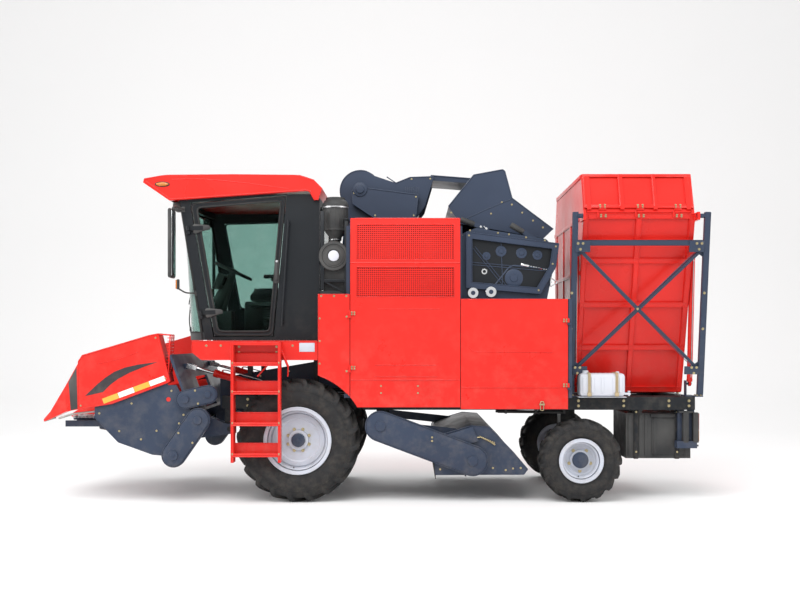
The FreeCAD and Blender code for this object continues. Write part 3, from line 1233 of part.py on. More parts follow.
post_x = {"front": span(S.bin_front_x + 91, S.post_width - 6), "rear": (S.rear_end_x, S.rear_end_x + 50)}
foot_z = S.rail_top + S.seat_gap
stand = []
for name, (low, high) in post_x.items():
    stand += [
        plate(f"post_{name}", "YZ", [
            (S.post_foot_y - 28, foot_z), (S.post_foot_y + 28, foot_z),
            (S.post_top_y + 28, S.bin_rim_z), (S.post_top_y - 28, S.bin_rim_z)], low, high),
        block(f"post_foot_{name}", (low - 10, high) if name == "front" else (low, high + 30),
              (S.post_foot_y - 45, S.post_foot_y + 45), (foot_z, foot_z + 12)),
    ]
stand += [
    rod("tip_pin_front", (S.bin_front_x + 2, S.tip_y, S.tip_z), "X", S.tip_pin, Size(80, "80")),
    rod("tip_pin_rear", (S.rear_end_x + 30, S.tip_y, S.tip_z), "X", S.tip_pin,
        bin_rear_x - 2 - S.rear_end_x - 30),
]
post_slope = (S.post_top_y - S.post_foot_y) / (S.bin_rim_z - foot_z)


def post_y(z):
    """Centre of the posts at a height."""
    return float(S.post_foot_y) + float(post_slope) * (z - float(foot_z))


ends = (float(post_x["front"][0]) + 10, float(post_x["rear"][1]) - 10)
for name, z0, z1, size in (("bar", 2536, 2536, 50), ("brace_a", 2500, 1290, 30),
                           ("brace_b", 1290, 2500, 30)):
    stand.append(strut(f"stand_{name}", (ends[0], post_y(z0), z0), (ends[1], post_y(z1), z1),
                       Size(size, str(size)), Size(size, str(size))))
for name, (x0, x1) in (("front", (ends[0] + 5, ends[0] - 130)), ("rear", (ends[1] - 5, ends[1] + 130))):
    for level, z in (("top", 2480), ("foot", 1300)):
        way = -90 if level == "top" else 90
        a, b, c = (Vector(x0, post_y(z), z), Vector(x1, post_y(z), z),
                   Vector(x0, post_y(z + way), z + way))
        face = Part.Face(Part.makePolygon([a, b, c, a]))
        stand.append(feature(f"gusset_{name}_{level}", face.extrude(Vector(0, 8, 0))))
foot_pins = {"front": (S.bin_front_x + 68, S.bin_front_x + 80, S.bin_front_x + 10, Size(68, "68")),
             "rear": (bin_rear_x, bin_rear_x + 12, bin_rear_x - 56, Size(60, "60"))}
for name, (low, high, pin_x, length) in foot_pins.items():
    stand += [
        block(f"tip_lug_{name}", (low, high), span(S.tip_foot_y, Size(60, "60")),
              (foot_z, S.tip_foot_z + 32)),
        rod(f"tip_foot_pin_{name}", (pin_x, S.tip_foot_y, S.tip_foot_z), "X", Size(12, "12"), length),
        block(f"tip_base_{name}", (low - 12, high + 20) if name == "front" else (low - 50, low + 40),
              (S.tip_foot_y - 30, S.post_foot_y + 10), (foot_z, foot_z + 12)),
    ]
node("bin_frame", fuse("bin_frame", stand))

rams_x = {"front": S.bin_front_x + 34, "rear": bin_rear_x - 36}
barrels, rams = [], []
foot_y, foot_h = float(S.tip_foot_y), float(S.tip_foot_z)
eye_y, eye_h = float(S.tip_eye_y), float(S.tip_eye_z)
for name, x in rams_x.items():
    foot, eye = Vector(float(x), foot_y, foot_h), Vector(float(x), eye_y, eye_h)
    way = (eye - foot).normalize()
    ring = rod(f"tip_foot_ring_{name}", (x - 11, S.tip_foot_y, S.tip_foot_z), "X", Size(26, "26"),
               Size(22, "22"))
    hole = rod(f"tip_foot_hole_{name}", (x - 60, S.tip_foot_y, S.tip_foot_z), "X",
               Size(12.5, "12.5"), Size(120, "120"))
    tube = link(f"tip_tube_{name}", foot + way * 20, foot + way * 1335, S.tip_bore)
    bore = link(f"tip_tube_bore_{name}", foot + way * 70, foot + way * 1400, S.tip_rod + S.run_gap)
    barrels.append(cut(f"tip_barrel_{name}", fuse(f"tip_barrel_body_{name}", [ring, tube]),
                       [hole, bore]))
    ring = rod(f"tip_eye_ring_{name}", (x - 11, S.tip_eye_y, S.tip_eye_z), "X", Size(26, "26"),
               Size(22, "22"))
    boss_x = (x - 33, x + 16) if name == "front" else (x - 16, x + 35)
    boss = rod(f"tip_eye_boss_{name}", (boss_x[0], S.tip_eye_y, S.tip_eye_z), "X", Size(14, "14"),
               boss_x[1] - boss_x[0])
    shaft = link(f"tip_shaft_{name}", foot + way * 90, eye - way * 15, S.tip_rod)
    rams.append(fuse(f"tip_rod_{name}", [ring, boss, shaft]))
node("tip_barrels", group("tip_barrels", barrels))
node("tip_rods", group("tip_rods", rams))

# ---- tanks and rear lamp brackets -----------------------------------------------------------

can_x = (Size(-2462, "-2462"), Size(-2009, "-2009"))
can_y = (Size(738, "738"), Size(930, "930"))
can = [
    block("water_tank", can_x, can_y, (S.rail_top + 7, Size(1262, "1262"))),
    block("can_shelf", (can_x[0] - 10, can_x[1] + 10), can_y, (foot_z, S.rail_top + 7 - S.seat_gap)),
]
node("water_can", group("water_can", can))
tank = [block("tank_body", (Size(-3158, "-3158"), Size(-2510, "-2510")),
              (Size(100, "100"), Size(715, "715")), (Size(404, "404"), Size(856, "856")))]
for number, x in enumerate((-3050, -2640)):
    tank.append(block(f"tank_strap_{number}", span(Size(x, str(x)), Size(60, "60")),
                      (Size(95, "95"), Size(720, "720")), (Size(850, "850"), rail_bottom - S.seat_gap)))
node("fuel_tank", fuse("fuel_tank", tank))
lamps = []
for side, sense in SIDES.items():
    bars = [side_block(f"lamp_bar_{side}", sense, (Size(-3190, "-3190"), Size(-2990, "-2990")),
                       (Size(745, "745"), Size(840, "840")), (Size(517, "517"), Size(586, "586")))]
    for number, x in enumerate((-3145, -3045)):
        bars.append(side_block(f"lamp_hanger_{number}_{side}", sense, span(Size(x, str(x)), Size(66, "66")),
                               (Size(752, "752"), Size(782, "782")), (Size(560, "560"), rail_bottom - S.seat_gap)))
    lamps.append(fuse(f"rear_lamp_{side}", bars))
node("rear_lamps", group("rear_lamps", lamps))

# ---- header ---------------------------------------------------------------------------------


def lofted(name, sections):
    """A ruled solid through upright rectangles; each is (x, y low, y high, z low, z high)."""
    wires = []
    for x, y0, y1, z0, z1 in sections:
        a, b, c, d = (Vector(x, y0, z0), Vector(x, y1, z0), Vector(x, y1, z1), Vector(x, y0, z1))
        wires.append(Part.makePolygon([a, b, c, d, a]))
    return feature(name, Part.makeLoft(wires, True, True))


def flat_loop(name, a, b, radius, z_low, z_high):
    """A flat band with round ends that lies level, about the points a and b of the plan."""
    p, q = Vector(a[0], a[1], z_low), Vector(b[0], b[1], z_low)
    along = (q - p).normalize()
    side = Vector(-along.y, along.x, 0) * radius
    edges = [
        Part.makeLine(p + side, q + side),
        Part.Arc(q + side, q + along * radius, q - side).toShape(),
        Part.makeLine(q - side, p - side),
        Part.Arc(p - side, p - along * radius, p + side).toShape(),
    ]
    return feature(name, Part.Face(Part.Wire(edges)).extrude(Vector(0, 0, z_high - z_low)))


side_in = S.header_half - 20.3 - S.side_plate
side_out = S.header_half - 20.3
header_outline = [
    (Size(2736, "2736"), Size(836, "836")), (Size(2503, "2503"), Size(590, "590")),
    (Size(2171, "2171"), Size(470, "470")), (Size(1952, "1952"), Size(450, "450")),
    (Size(1800, "1800"), Size(760, "760")), (Size(1800, "1800"), Size(900, "900")),
    (Size(1940, "1940"), Size(1150, "1150")), (Size(2020, "2020"), Size(1150, "1150")),
    (Size(2046, "2046"), Size(1230, "1230")), (Size(2098, "2098"), Size(1440, "1440")),
    (Size(2150, "2150"), Size(1440, "1440")),
    (Size(2600, "2600"), Size(1100, "1100")), (Size(2736, "2736"), Size(985, "985")),
]
trough_outline = [
    (Size(2175, "2175"), Size(836, "836")), (Size(1900, "1900"), Size(836, "836")),
    (Size(1778, "1778"), Size(868, "868")), (Size(1990, "1990"), Size(1448, "1448")),
    (Size(2016, "2016"), Size(1441, "1441")), (Size(1811, "1811"), Size(890, "890")),
    (Size(1905, "1905"), Size(856, "856")), (Size(2175, "2175"), Size(856, "856")),
]
arm_outline = [
    (S.pivot_x - 45, S.pivot_z - 45), (S.pivot_x - 45, S.pivot_z + 45),
    (S.pivot_x + 50, S.pivot_z + 60), (Size(1780, "1780"), Size(850, "850")),
    (Size(1990, "1990"), Size(845, "845")), (Size(1990, "1990"), Size(600, "600")),
    (Size(1850, "1850"), Size(590, "590")),
]
header = [
    plate("trough", "XZ", trough_outline, -side_in - 2, side_in + 2),
    block("header_beam", (Size(1850, "1850"), Size(1970, "1970")), (-side_in - 2, side_in + 2),
          (Size(600, "600"), Size(740, "740"))),
    block("gear_beam", (Size(2040, "2040"), Size(2140, "2140")), (-side_in - 2, side_in + 2),
          (Size(500, "500"), Size(590, "590"))),
]
header_cuts = [block("feeder_opening", (Size(1700, "1700"), Size(1960, "1960")),
                     (-S.feeder_half + 20, S.feeder_half - 20), (Size(893, "893"), Size(1210, "1210")))]
for side, sense in SIDES.items():
    edges = (side_in, side_out) if sense > 0 else (-side_out, -side_in)
    header.append(plate(f"header_side_{side}", "XZ", header_outline, *edges))
    header_cuts.append(side_rod(f"auger_hole_{side}", sense, S.auger_x, S.auger_z, Size(22.5, "22.5"),
                                side_in - 5, side_out + 5))
    for number, (low, high) in enumerate(((31, 31 + 24), (-31 - 24, -31))):
        y0, y1 = S.rail_y + low, S.rail_y + high
        edges = (y0, y1) if sense > 0 else (-y1, -y0)
        header.append(plate(f"header_arm_{side}_{number}", "XZ", arm_outline, *edges))
    header_cuts.append(side_rod(f"pivot_hole_{side}", sense, S.pivot_x, S.pivot_z,
                                S.pivot_pin + S.run_gap, S.rail_y - 120, S.rail_y + 120))
    header += [
        side_block(f"lift_ear_{side}", sense, (S.lift_eye_x - 28, Size(1985, "1985")),
                   span(S.rail_y, Size(24, "24")), (S.lift_eye_z - 26, S.lift_eye_z + 26)),
        side_block(f"beam_tie_{side}", sense, (Size(1960, "1960"), Size(2050, "2050")),
                   span(S.rail_y, Size(120, "120")), (Size(600, "600"), Size(640, "640"))),
        side_block(f"gear_tie_{side}", sense, (Size(2030, "2030"), Size(2060, "2060")),
                   span(S.rail_y, Size(120, "120")), (Size(560, "560"), Size(640, "640"))),
    ]
    low, high = side_out, side_out + 62
    edges = (low - 3, high) if sense > 0 else (-high, 3 - low)
    header.append(obround(f"drive_case_{side}", (1713, 812), (1952, 469), S.drive_case_radius, *edges))
    low, high = side_out, side_out + 40
    edges = (low - 3, high) if sense > 0 else (-high, 3 - low)
    header.append(obround(f"auger_case_{side}", (1620, 1060), (1840, 1010), Size(90, "90"), *edges))
body_of_header = fuse("header_body", header)
node("header_frame", cut("header_frame", body_of_header, header_cuts))

cover_in = S.header_half - S.divider_width + 1.3
cover_outline = [
    (Size(2893, "2893"), Size(913, "913")), (Size(2893, "2893"), Size(1385, "1385")),
    (Size(2854, "2854"), Size(1444, "1444")), (Size(2200, "2200"), Size(1639, "1639")),
    (Size(2113, "2113"), Size(1655, "1655")), (Size(1996, "1996"), Size(1180, "1180")),
    (Size(2561, "2561"), Size(966, "966")),
]
cover_space = [
    (Size(2873, "2873"), Size(880, "880")), (Size(2873, "2873"), Size(1380, "1380")),
    (Size(2845, "2845"), Size(1424, "1424")), (Size(2200, "2200"), Size(1617, "1617")),
    (Size(2129, "2129"), Size(1629, "1629")), (Size(2018, "2018"), Size(1150, "1150")),
    (Size(2561, "2561"), Size(900, "900")),
]
covers = []
for side, sense in SIDES.items():
    edges = (cover_in, S.header_half) if sense > 0 else (-S.header_half, -cover_in)
    room = (edges[0] + 20, edges[1] - 20)
    shell = cut(f"cover_shell_{side}", plate(f"cover_solid_{side}", "XZ", cover_outline, *edges),
                [plate(f"cover_space_{side}", "XZ", cover_space, *room)])
    y0, y1 = sorted((float(cover_in) * sense, float(S.header_half) * sense))
    mid = (y0 + y1) / 2
    nose = lofted(f"cover_nose_{side}", [
        (2880, y0, y1, 915, 1385), (3019, y0 + 14, y1 - 14, 890, 1142),
        (3180, mid - 40, mid + 40, 815, 890), (float(S.header_tip_x), mid - 14, mid + 14, 788, 812)])
    covers.append(fuse(f"cover_{side}", [shell, nose]))
node("header_covers", group("header_covers", covers))

rows = [Size(y, str(y)) for y in (-600, 0, 600)]
snouts = []
for sense in (1, -1):
    y = 300 * sense
    snouts.append(lofted(f"snout_{'left' if sense > 0 else 'right'}", [
        (2260, y - 95, y + 95, 862, 960), (2330, y - 115, y + 115, 790.3, 1010),
        (2700, y - 115, y + 115, 790.3, 1060), (3000, y - 78, y + 78, 790.3, 935),
        (3190, y - 13, y + 13, 790.3, 815)]))
node("row_snouts", group("row_snouts", snouts))

units = []
for number, y in enumerate(rows):
    yf = float(y)
    unit = [block(f"gear_case_{number}", (Size(2140.3, "2140.3"), Size(2260, "2260")), span(y, Size(240, "240")),
                  (Size(490, "490"), Size(780, "780")))]
    for way in (1, -1):
        unit += [
            link(f"roll_{number}_{way}", (2240, yf + 46 * way, 640), (2780, yf + 46 * way, 735), S.roll_radius),
            link(f"roll_tip_{number}_{way}", (2770, yf + 46 * way, 733),
                 (2860, yf + 46 * way, 749), S.roll_radius / 2),
            block(f"row_rail_{number}_{way}", (Size(2100, "2100"), Size(3080, "3080")),
                  span(y + 196 * way, Size(30, "30")), (Size(730, "730"), Size(790, "790"))),
            block(f"deck_bar_{number}_{way}", (Size(2190, "2190"), Size(3000, "3000")),
                  span(y + 72 * way, Size(92, "92")), (Size(780, "780"), Size(789, "789"))),
            block(f"row_tie_{number}_{way}", (Size(2200, "2200"), Size(2260, "2260")),
                  span(y + 150 * way, Size(120, "120")), (Size(735, "735"), Size(784, "784"))),
            block(f"row_front_tie_{number}_{way}", (Size(2900, "2900"), Size(2950, "2950")),
                  span(y + 140 * way, Size(120, "120")), (Size(750, "750"), Size(784, "784"))),
        ]
    units.append(fuse(f"row_unit_{number}", unit))
    for way in (1, -1):
        yc = yf + 75 * way
        units.append(flat_loop(f"chain_{number}_{way}", (2230, yc), (3010, yc), 34, 789.3, 812))
node("row_units", group("row_units", units))

auger = [
    across("auger_tube", S.auger_x, S.auger_z, S.auger_tube, -side_in + 8, side_in - 8),
    across("auger_shaft", S.auger_x, S.auger_z, Size(22, "22"), -side_out + 1, side_out - 1),
]


def flight(name, y_low, y_high, hand):
    """A screw flight as a run of flat blades round the tube."""
    helix = Part.makeHelix(float(S.auger_pitch), y_high - y_low, float(S.auger_tube) - 4, 0, hand < 0)
    inner, outer = float(S.auger_tube) - 4, float(S.auger_flight)
    section = Part.makePolygon([Vector(inner, 0, -3), Vector(outer, 0, -3), Vector(outer, 0, 3),
                                Vector(inner, 0, 3), Vector(inner, 0, -3)])
    solid = Part.Wire(helix).makePipeShell([section], True, True)
    solid.Placement = Placement(Vector(float(S.auger_x), y_low, float(S.auger_z)),
                                Rotation(Vector(1, 0, 0), -90))
    return feature(name, solid)


auger += [flight("flight_right", -905, -200, 1), flight("flight_left", 200, 905, -1)]
for number in range(4):
    angle = math.radians(90 * number)
    way = Vector(math.sin(angle), 0, math.cos(angle))
    base = Vector(float(S.auger_x), 0, float(S.auger_z))
    auger.append(strut(f"auger_paddle_{number}", base + way * 50, base + way * 130,
                       Size(340, "340"), Size(10, "10")))
node("header_auger", fuse("header_auger", auger))

# ---- header lift cylinders ------------------------------------------------------------------

barrels, rams = [], []
for side, sense in SIDES.items():
    y = float(S.rail_y) * sense
    foot = Vector(float(S.lift_foot_x), y, float(S.lift_foot_z))
    eye = Vector(float(S.lift_eye_x), y, float(S.lift_eye_z))
    way = (eye - foot).normalize()
    bits = [link(f"lift_tube_{side}", foot + way * 56, foot + way * 600, S.lift_bore)]
    bits += [strut(f"lift_foot_cheek_{side}_{n}", foot - way * 22 + Vector(0, gap, 0),
                   foot + way * 80 + Vector(0, gap, 0), Size(10, "10"), Size(46, "46"))
             for n, gap in enumerate((-24, 24))]
    cuts = [side_rod(f"lift_foot_hole_{side}", sense, S.lift_foot_x, S.lift_foot_z,
                     Size(14.5, "14.5"), S.rail_y - 60, S.rail_y + 60),
            link(f"lift_tube_bore_{side}", foot + way * 90, foot + way * 700, S.lift_rod + S.run_gap)]
    barrels.append(cut(f"lift_barrel_{side}", fuse(f"lift_barrel_body_{side}", bits), cuts))
    bits = [link(f"lift_shaft_{side}", foot + way * 150, eye - way * 66, S.lift_rod),
            strut(f"lift_yoke_{side}", eye - way * 78, eye - way * 52, Size(58, "58"), Size(46, "46"))]
    bits += [strut(f"lift_eye_cheek_{side}_{n}", eye - way * 70 + Vector(0, gap, 0),
                   eye + way * 22 + Vector(0, gap, 0), Size(10, "10"), Size(46, "46"))
             for n, gap in enumerate((-24, 24))]
    bits += [side_rod(f"lift_eye_boss_{side}_{n}", sense, S.lift_eye_x, S.lift_eye_z, Size(14, "14"),
                      S.rail_y + low, S.rail_y + high) for n, (low, high) in
             enumerate(((-38, -13), (13, 38)))]
    rams.append(fuse(f"lift_rod_{side}", bits))
node("lift_barrels", group("lift_barrels", barrels))
node("lift_rods", group("lift_rods", rams))

# ---- stalk chopper --------------------------------------------------------------------------

hopper_outline = [
    (Size(-591, "-591"), Size(265, "265")), (Size(-1463, "-1463"), Size(271, "271")),
    (Size(-1500, "-1500"), Size(320, "320")), (Size(-1354, "-1354"), Size(492, "492")),
    (Size(-1121, "-1121"), Size(734, "734")), (Size(-951, "-951"), Size(747, "747")),
    (Size(-620, "-620"), Size(650, "650")), (Size(-591, "-591"), Size(610, "610")),
]
hopper_space = [
    (Size(-560, "-560"), Size(230, "230")), (Size(-1450, "-1450"), Size(230, "230")),
    (Size(-1482, "-1482"), Size(322, "322")), (Size(-1343, "-1343"), Size(484, "484")),
    (Size(-1115, "-1115"), Size(721, "721")), (Size(-952, "-952"), Size(734, "734")),
    (Size(-630, "-630"), Size(640, "640")), (Size(-560, "-560"), Size(520, "520")),
]
chop_in = S.chopper_half - S.chopper_plate
chopper = [cut("chopper_shell", plate("chopper_solid", "XZ", hopper_outline, -S.chopper_half, S.chopper_half),
               [plate("chopper_space", "XZ", hopper_space, -chop_in, chop_in)])]
chop_holes = []
for side, sense in SIDES.items():
    low, high = S.sill_y + 22, S.sill_y + 40
    edges = (low, high) if sense > 0 else (-high, -low)
    chopper.append(obround(f"chopper_arm_{side}", (-55, 747), (-790, 668), Size(44, "44"), *edges))
    chop_holes += [
        side_rod(f"chopper_pin_hole_{side}", sense, S.chopper_pivot_x, S.chopper_pivot_z,
                 Size(20.5, "20.5"), S.sill_y - 20, S.sill_y + 60),
        side_rod(f"rotor_hole_{side}", sense, S.rotor_x, S.rotor_z, Size(25.5, "25.5"),
                 chop_in - 20, S.chopper_half + 8),
    ]
chopper.append(obround("belt_case", (-55, 747), (-957, 410), S.belt_case_radius,
                       S.chopper_half - 2, S.chopper_half + S.belt_case_width))
chopper.append(block("belt_case_stay", (Size(-640, "-640"), Size(-594, "-594")),
                     (S.sill_y + 30, S.chopper_half), (Size(615, "615"), Size(650, "650"))))
node("chopper_housing", cut("chopper_housing", fuse("chopper_body", chopper), chop_holes))

rotor = [
    across("rotor_tube", S.rotor_x, S.rotor_z, S.rotor_tube, -chop_in + 12, chop_in - 12),
    across("rotor_shaft", S.rotor_x, S.rotor_z, Size(25, "25"), -chop_in - 8, chop_in + 8),
]
for number in range(12):
    angle = math.radians(90 * (number % 4) + 20)
    way = Vector(math.cos(angle), 0, math.sin(angle))
    base = Vector(float(S.rotor_x), -825 + 150 * number, float(S.rotor_z))
    rotor.append(strut(f"flail_{number}", base + way * 55, base + way * float(S.rotor_reach),
                       Size(60, "60"), Size(14, "14")))
node("chopper_rotor", fuse("chopper_rotor", rotor))

# ---- checks and export ----------------------------------------------------------------------

doc.recompute()
faulty = [o.Name for o in doc.Objects if "Invalid" in o.State or "Error" in o.State]
if faulty:
    raise RuntimeError(f"these objects failed: {faulty}")
for label, item in nodes.items():
    if item.Shape.isNull() or not item.Shape.Solids or not item.Shape.isValid():
        raise RuntimeError(f"{label} has no valid solid")
os.makedirs("parts", exist_ok=True)
for label, item in nodes.items():
    item.Shape.exportStep(f"parts/{label}.step")
print(f"{len(nodes)} sub-parts exported")
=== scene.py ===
"""Detailed looks for the three-row corn harvester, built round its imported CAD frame."""

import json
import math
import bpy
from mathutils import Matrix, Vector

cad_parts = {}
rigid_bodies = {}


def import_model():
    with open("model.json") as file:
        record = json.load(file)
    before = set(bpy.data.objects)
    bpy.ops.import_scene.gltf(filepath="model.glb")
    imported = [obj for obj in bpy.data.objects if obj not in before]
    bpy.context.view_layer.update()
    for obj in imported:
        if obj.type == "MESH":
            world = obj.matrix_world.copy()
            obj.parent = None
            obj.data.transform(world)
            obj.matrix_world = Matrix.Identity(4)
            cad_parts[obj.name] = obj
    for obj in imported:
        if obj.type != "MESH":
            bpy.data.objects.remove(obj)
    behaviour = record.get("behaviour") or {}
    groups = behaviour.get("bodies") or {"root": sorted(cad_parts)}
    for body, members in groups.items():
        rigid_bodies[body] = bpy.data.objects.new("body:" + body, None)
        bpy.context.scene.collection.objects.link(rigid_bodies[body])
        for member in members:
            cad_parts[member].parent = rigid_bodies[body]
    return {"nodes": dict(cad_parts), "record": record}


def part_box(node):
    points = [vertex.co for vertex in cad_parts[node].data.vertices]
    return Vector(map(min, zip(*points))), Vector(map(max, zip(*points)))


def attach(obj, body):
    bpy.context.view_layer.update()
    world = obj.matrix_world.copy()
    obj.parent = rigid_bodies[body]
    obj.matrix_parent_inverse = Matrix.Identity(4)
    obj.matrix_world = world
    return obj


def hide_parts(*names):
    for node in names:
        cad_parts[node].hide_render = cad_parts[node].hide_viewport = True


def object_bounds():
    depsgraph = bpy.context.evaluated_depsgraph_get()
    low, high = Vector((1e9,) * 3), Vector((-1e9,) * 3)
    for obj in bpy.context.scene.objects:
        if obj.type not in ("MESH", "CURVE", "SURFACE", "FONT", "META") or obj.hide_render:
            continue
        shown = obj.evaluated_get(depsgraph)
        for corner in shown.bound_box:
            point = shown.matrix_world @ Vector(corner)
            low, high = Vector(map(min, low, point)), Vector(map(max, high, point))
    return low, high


bl_info = {
    "name": "Corn harvester looks",
    "version": (1, 0, 0),
    "blender": (4, 5, 0),
    "location": "3D View > Sidebar > Harvester",
    "description": "Tyres, paintwork, glass, guards, chains and fittings of a three-row corn harvester",
    "category": "Object",
}

import bmesh
import bpy
from bpy.props import FloatProperty, FloatVectorProperty, IntProperty, PointerProperty
from mathutils import Matrix, Vector

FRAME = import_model()
NODES = FRAME["nodes"]
CAD_BOX = [list(corner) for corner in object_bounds()]
SIDES = {"left": 1, "right": -1}
AHEAD, LEFT, UP = Vector((1, 0, 0)), Vector((0, 1, 0)), Vector((0, 0, 1))

FLAP_HINGES = (-2.95592, -2.586, -2.21608)  # places of the flap's hinges along the machine
STAND_LEAN = (0, 0.989, -0.148)  # the way the stand's leaning posts face
ROWS = (-0.6, 0.0, 0.6)  # middles of the three crop rows
CAB_FLOOR = 1.6205  # top of the cab's floor
ROOF_SIDE = 0.8495  # side of the roof
DOOR_FACE = 1.015  # outer face of the engine and husker doors
FRAME_LINES = 0.5455  # side on which pipes run along the rails
HEADER_FACE = 0.9797  # outer face of the header's side plates
LADDER_EDGE = 1.1395  # outer edge of the ladder's stiles
TREAD_EDGE = 1.1385  # outer edge of the ladder's treads
HUSKER_FACE = 0.8502  # outer face of the husker's sides
CHAIN_REAR = 2.23  # rear sprocket of a gathering chain
CHAIN_FRONT = 3.01  # front sprocket of a gathering chain
CLEANER_X = 0.406  # axis of the air cleaner
CLEANER_Z = 2.417  # height of the air cleaner's axis
AXLE_X = 0.755  # front axle
AXLE_Z = 0.605  # height of the front axle
HOLE_SHARE = 0.31  # radius of a hole in perforated sheet, as a share of the pitch
SWELL_STEPS = 20  # frames that a cushion's cover is swollen for
SWELL_CAP = 0.012  # furthest that a point of the cover may move


def span(node):
    """Lowest corner, highest corner and middle of a CAD node."""
    low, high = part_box(node)
    return low, high, (low + high) / 2


def around(count):
    """Even angles round one full turn."""
    return [math.tau * k / count for k in range(count)]


def stadium(a, b, radius, steps):
    """An upright loop round two points: two half rings and the straight sides between them."""
    along = (b - a).normalized()
    first = math.atan2(along.z, along.x) + math.pi / 2
    turns = [(end, start + math.pi * k / steps) for end, start in ((a, first), (b, first + math.pi))
             for k in range(steps + 1)]
    return [end + Vector((math.cos(t), 0, math.sin(t))) * radius for end, t in turns]


# ---------------------------------------------------------------- building meshes


class Work:
    """One piece under the builder's hands: solids are added to it, then it is fitted to its body."""

    def __init__(self):
        self.bm = bmesh.new()

    def _soften(self, verts, edge):
        if edge > 0:
            edges = {e for v in verts for e in v.link_edges}
            bmesh.ops.bevel(
                self.bm, geom=list(edges), offset=edge, segments=2,
                profile=0.5, affect="EDGES", clamp_overlap=True,
            )

    def block(self, low, high, edge=0.0, turn=None):
        """A block between two opposite corners; turn is a matrix applied about its own middle."""
        low, high = (Vector(map(pick, low, high)) for pick in (min, max))
        place = Matrix.Translation((low + high) / 2) @ (turn or Matrix()) @ Matrix.Diagonal((*(high - low),
            1))
        made = bmesh.ops.create_cube(self.bm, size=1, matrix=place)
        self._soften(made["verts"], edge)
        return self

    def rod(self, start, end, radius, tip=None, sides=24, edge=0.0):
        """A round bar or cone from start to end."""
        start, end = Vector(start), Vector(end)
        along = end - start
        place = Matrix.Translation((start + end) / 2) @ along.to_track_quat("Z", "Y").to_matrix().to_4x4()
        made = bmesh.ops.create_cone(
            self.bm, cap_ends=True, segments=sides, radius1=radius,
            radius2=radius if tip is None else tip, depth=along.length, matrix=place,
        )
        if edge > 0:
            rims = [e for e in {e for v in made["verts"] for e in v.link_edges} if any(len(f.verts) > 4
                for f in e.link_faces)]
            bmesh.ops.bevel(self.bm, geom=rims, offset=edge, segments=2, profile=0.5, affect="EDGES")
        return self

    def turned(self, profile, centre, axis=LEFT, steps=48):
        """A body of revolution: profile is (along axis, radius) pairs, closed round the axis."""
        centre, frame = Vector(centre), Vector(axis).to_track_quat("Z", "Y").to_matrix()
        rings = []
        for along, radius in profile:
            if radius < 1e-6:
                rings.append([self.bm.verts.new(centre + frame @ Vector((0, 0, along)))])
                continue
            rings.append([
                self.bm.verts.new(centre + frame @ Vector((radius * math.cos(t), radius * math.sin(t),
                    along)))
                for t in around(steps)
            ])
        closed = len(rings[0]) > 1 and len(rings[-1]) > 1
        pairs = list(zip(rings, rings[1:] + ([rings[0]] if closed else [])))
        faces = []
        for a, b in pairs if closed else pairs[: len(rings) - 1]:
            for i in range(steps):
                j = (i + 1) % steps
                loop = ([a[0]] if len(a) == 1 else [a[i], a[j]]) + ([b[0]] if len(b) == 1 else [b[j], b[i]])
                faces.append(self.bm.faces.new(loop))
        bmesh.ops.recalc_face_normals(self.bm, faces=faces)
        return self

    def prism(self, outline, depth, edge=0.0):
        """A flat plate: outline is a loop of points, depth the vector through its thickness."""
        depth = Vector(depth)
        first = [self.bm.verts.new(Vector(p)) for p in outline]
        second = [self.bm.verts.new(Vector(p) + depth) for p in outline]
        faces = [self.bm.faces.new(first), self.bm.faces.new(second[::-1])]
        for i in range(len(first)):
            j = (i + 1) % len(first)
            faces.append(self.bm.faces.new((first[j], first[i], second[i], second[j])))
        bmesh.ops.recalc_face_normals(self.bm, faces=faces)
        self._soften(first + second, edge)
        return self

    def pipe(self, points, radius, sides=12, bend=0.0, closed=False):
        """A bent bar through points, its corners rounded to the bend radius."""
        path = rounded([Vector(p) for p in points], bend, closed)
        count, rings, side = len(path), [], None
        for i, here in enumerate(path):
            before = path[i - 1] if (i or closed) else None
            after = path[(i + 1) % count] if (i < count - 1 or closed) else None
            inward = (here - before).normalized() if before is not None else None
            outward = (after - here).normalized() if after is not None else None
            along = (inward or outward) if (inward is None or outward is None) else (inward
                + outward).normalized()
            if side is None:
                side = along.orthogonal().normalized()
            side = (side - along * side.dot(along)).normalized()
            other = along.cross(side)
            rings.append([
                self.bm.verts.new(here + radius * (math.cos(t) * side + math.sin(t) * other))
                for t in around(sides)
            ])
        faces = []
        for a, b in zip(rings, rings[1:] + ([rings[0]] if closed else [])):
            for k in range(sides):
                j = (k + 1) % sides
                faces.append(self.bm.faces.new((a[k], a[j], b[j], b[k])))
        if not closed:
            faces += [self.bm.faces.new(rings[0]), self.bm.faces.new(rings[-1][::-1])]
        bmesh.ops.recalc_face_normals(self.bm, faces=faces)
        return self

    def also(self, other, place=None):
        """Adds another piece of work, moved by a matrix."""
        mesh = bpy.data.meshes.new("part")
        other.bm.to_mesh(mesh)
        if place is not None:
            mesh.transform(place)
        return self.take(mesh)

    def take(self, mesh):
        """Adds a mesh and lets go of it."""
        self.bm.from_mesh(mesh)
        bpy.data.meshes.remove(mesh)
        return self

    def mesh(self, name):
        mesh = bpy.data.meshes.new(name)
        self.bm.to_mesh(mesh)
        return mesh

    def fit(self, name, body, finish, smooth=35, slot=None):
        """Turns the work into a piece that rides on a body, in a finish; the slot argument is not used."""
        mesh = self.mesh(name)
        self.bm.free()
        return fitted(name, mesh, body, FINISH[finish], smooth)




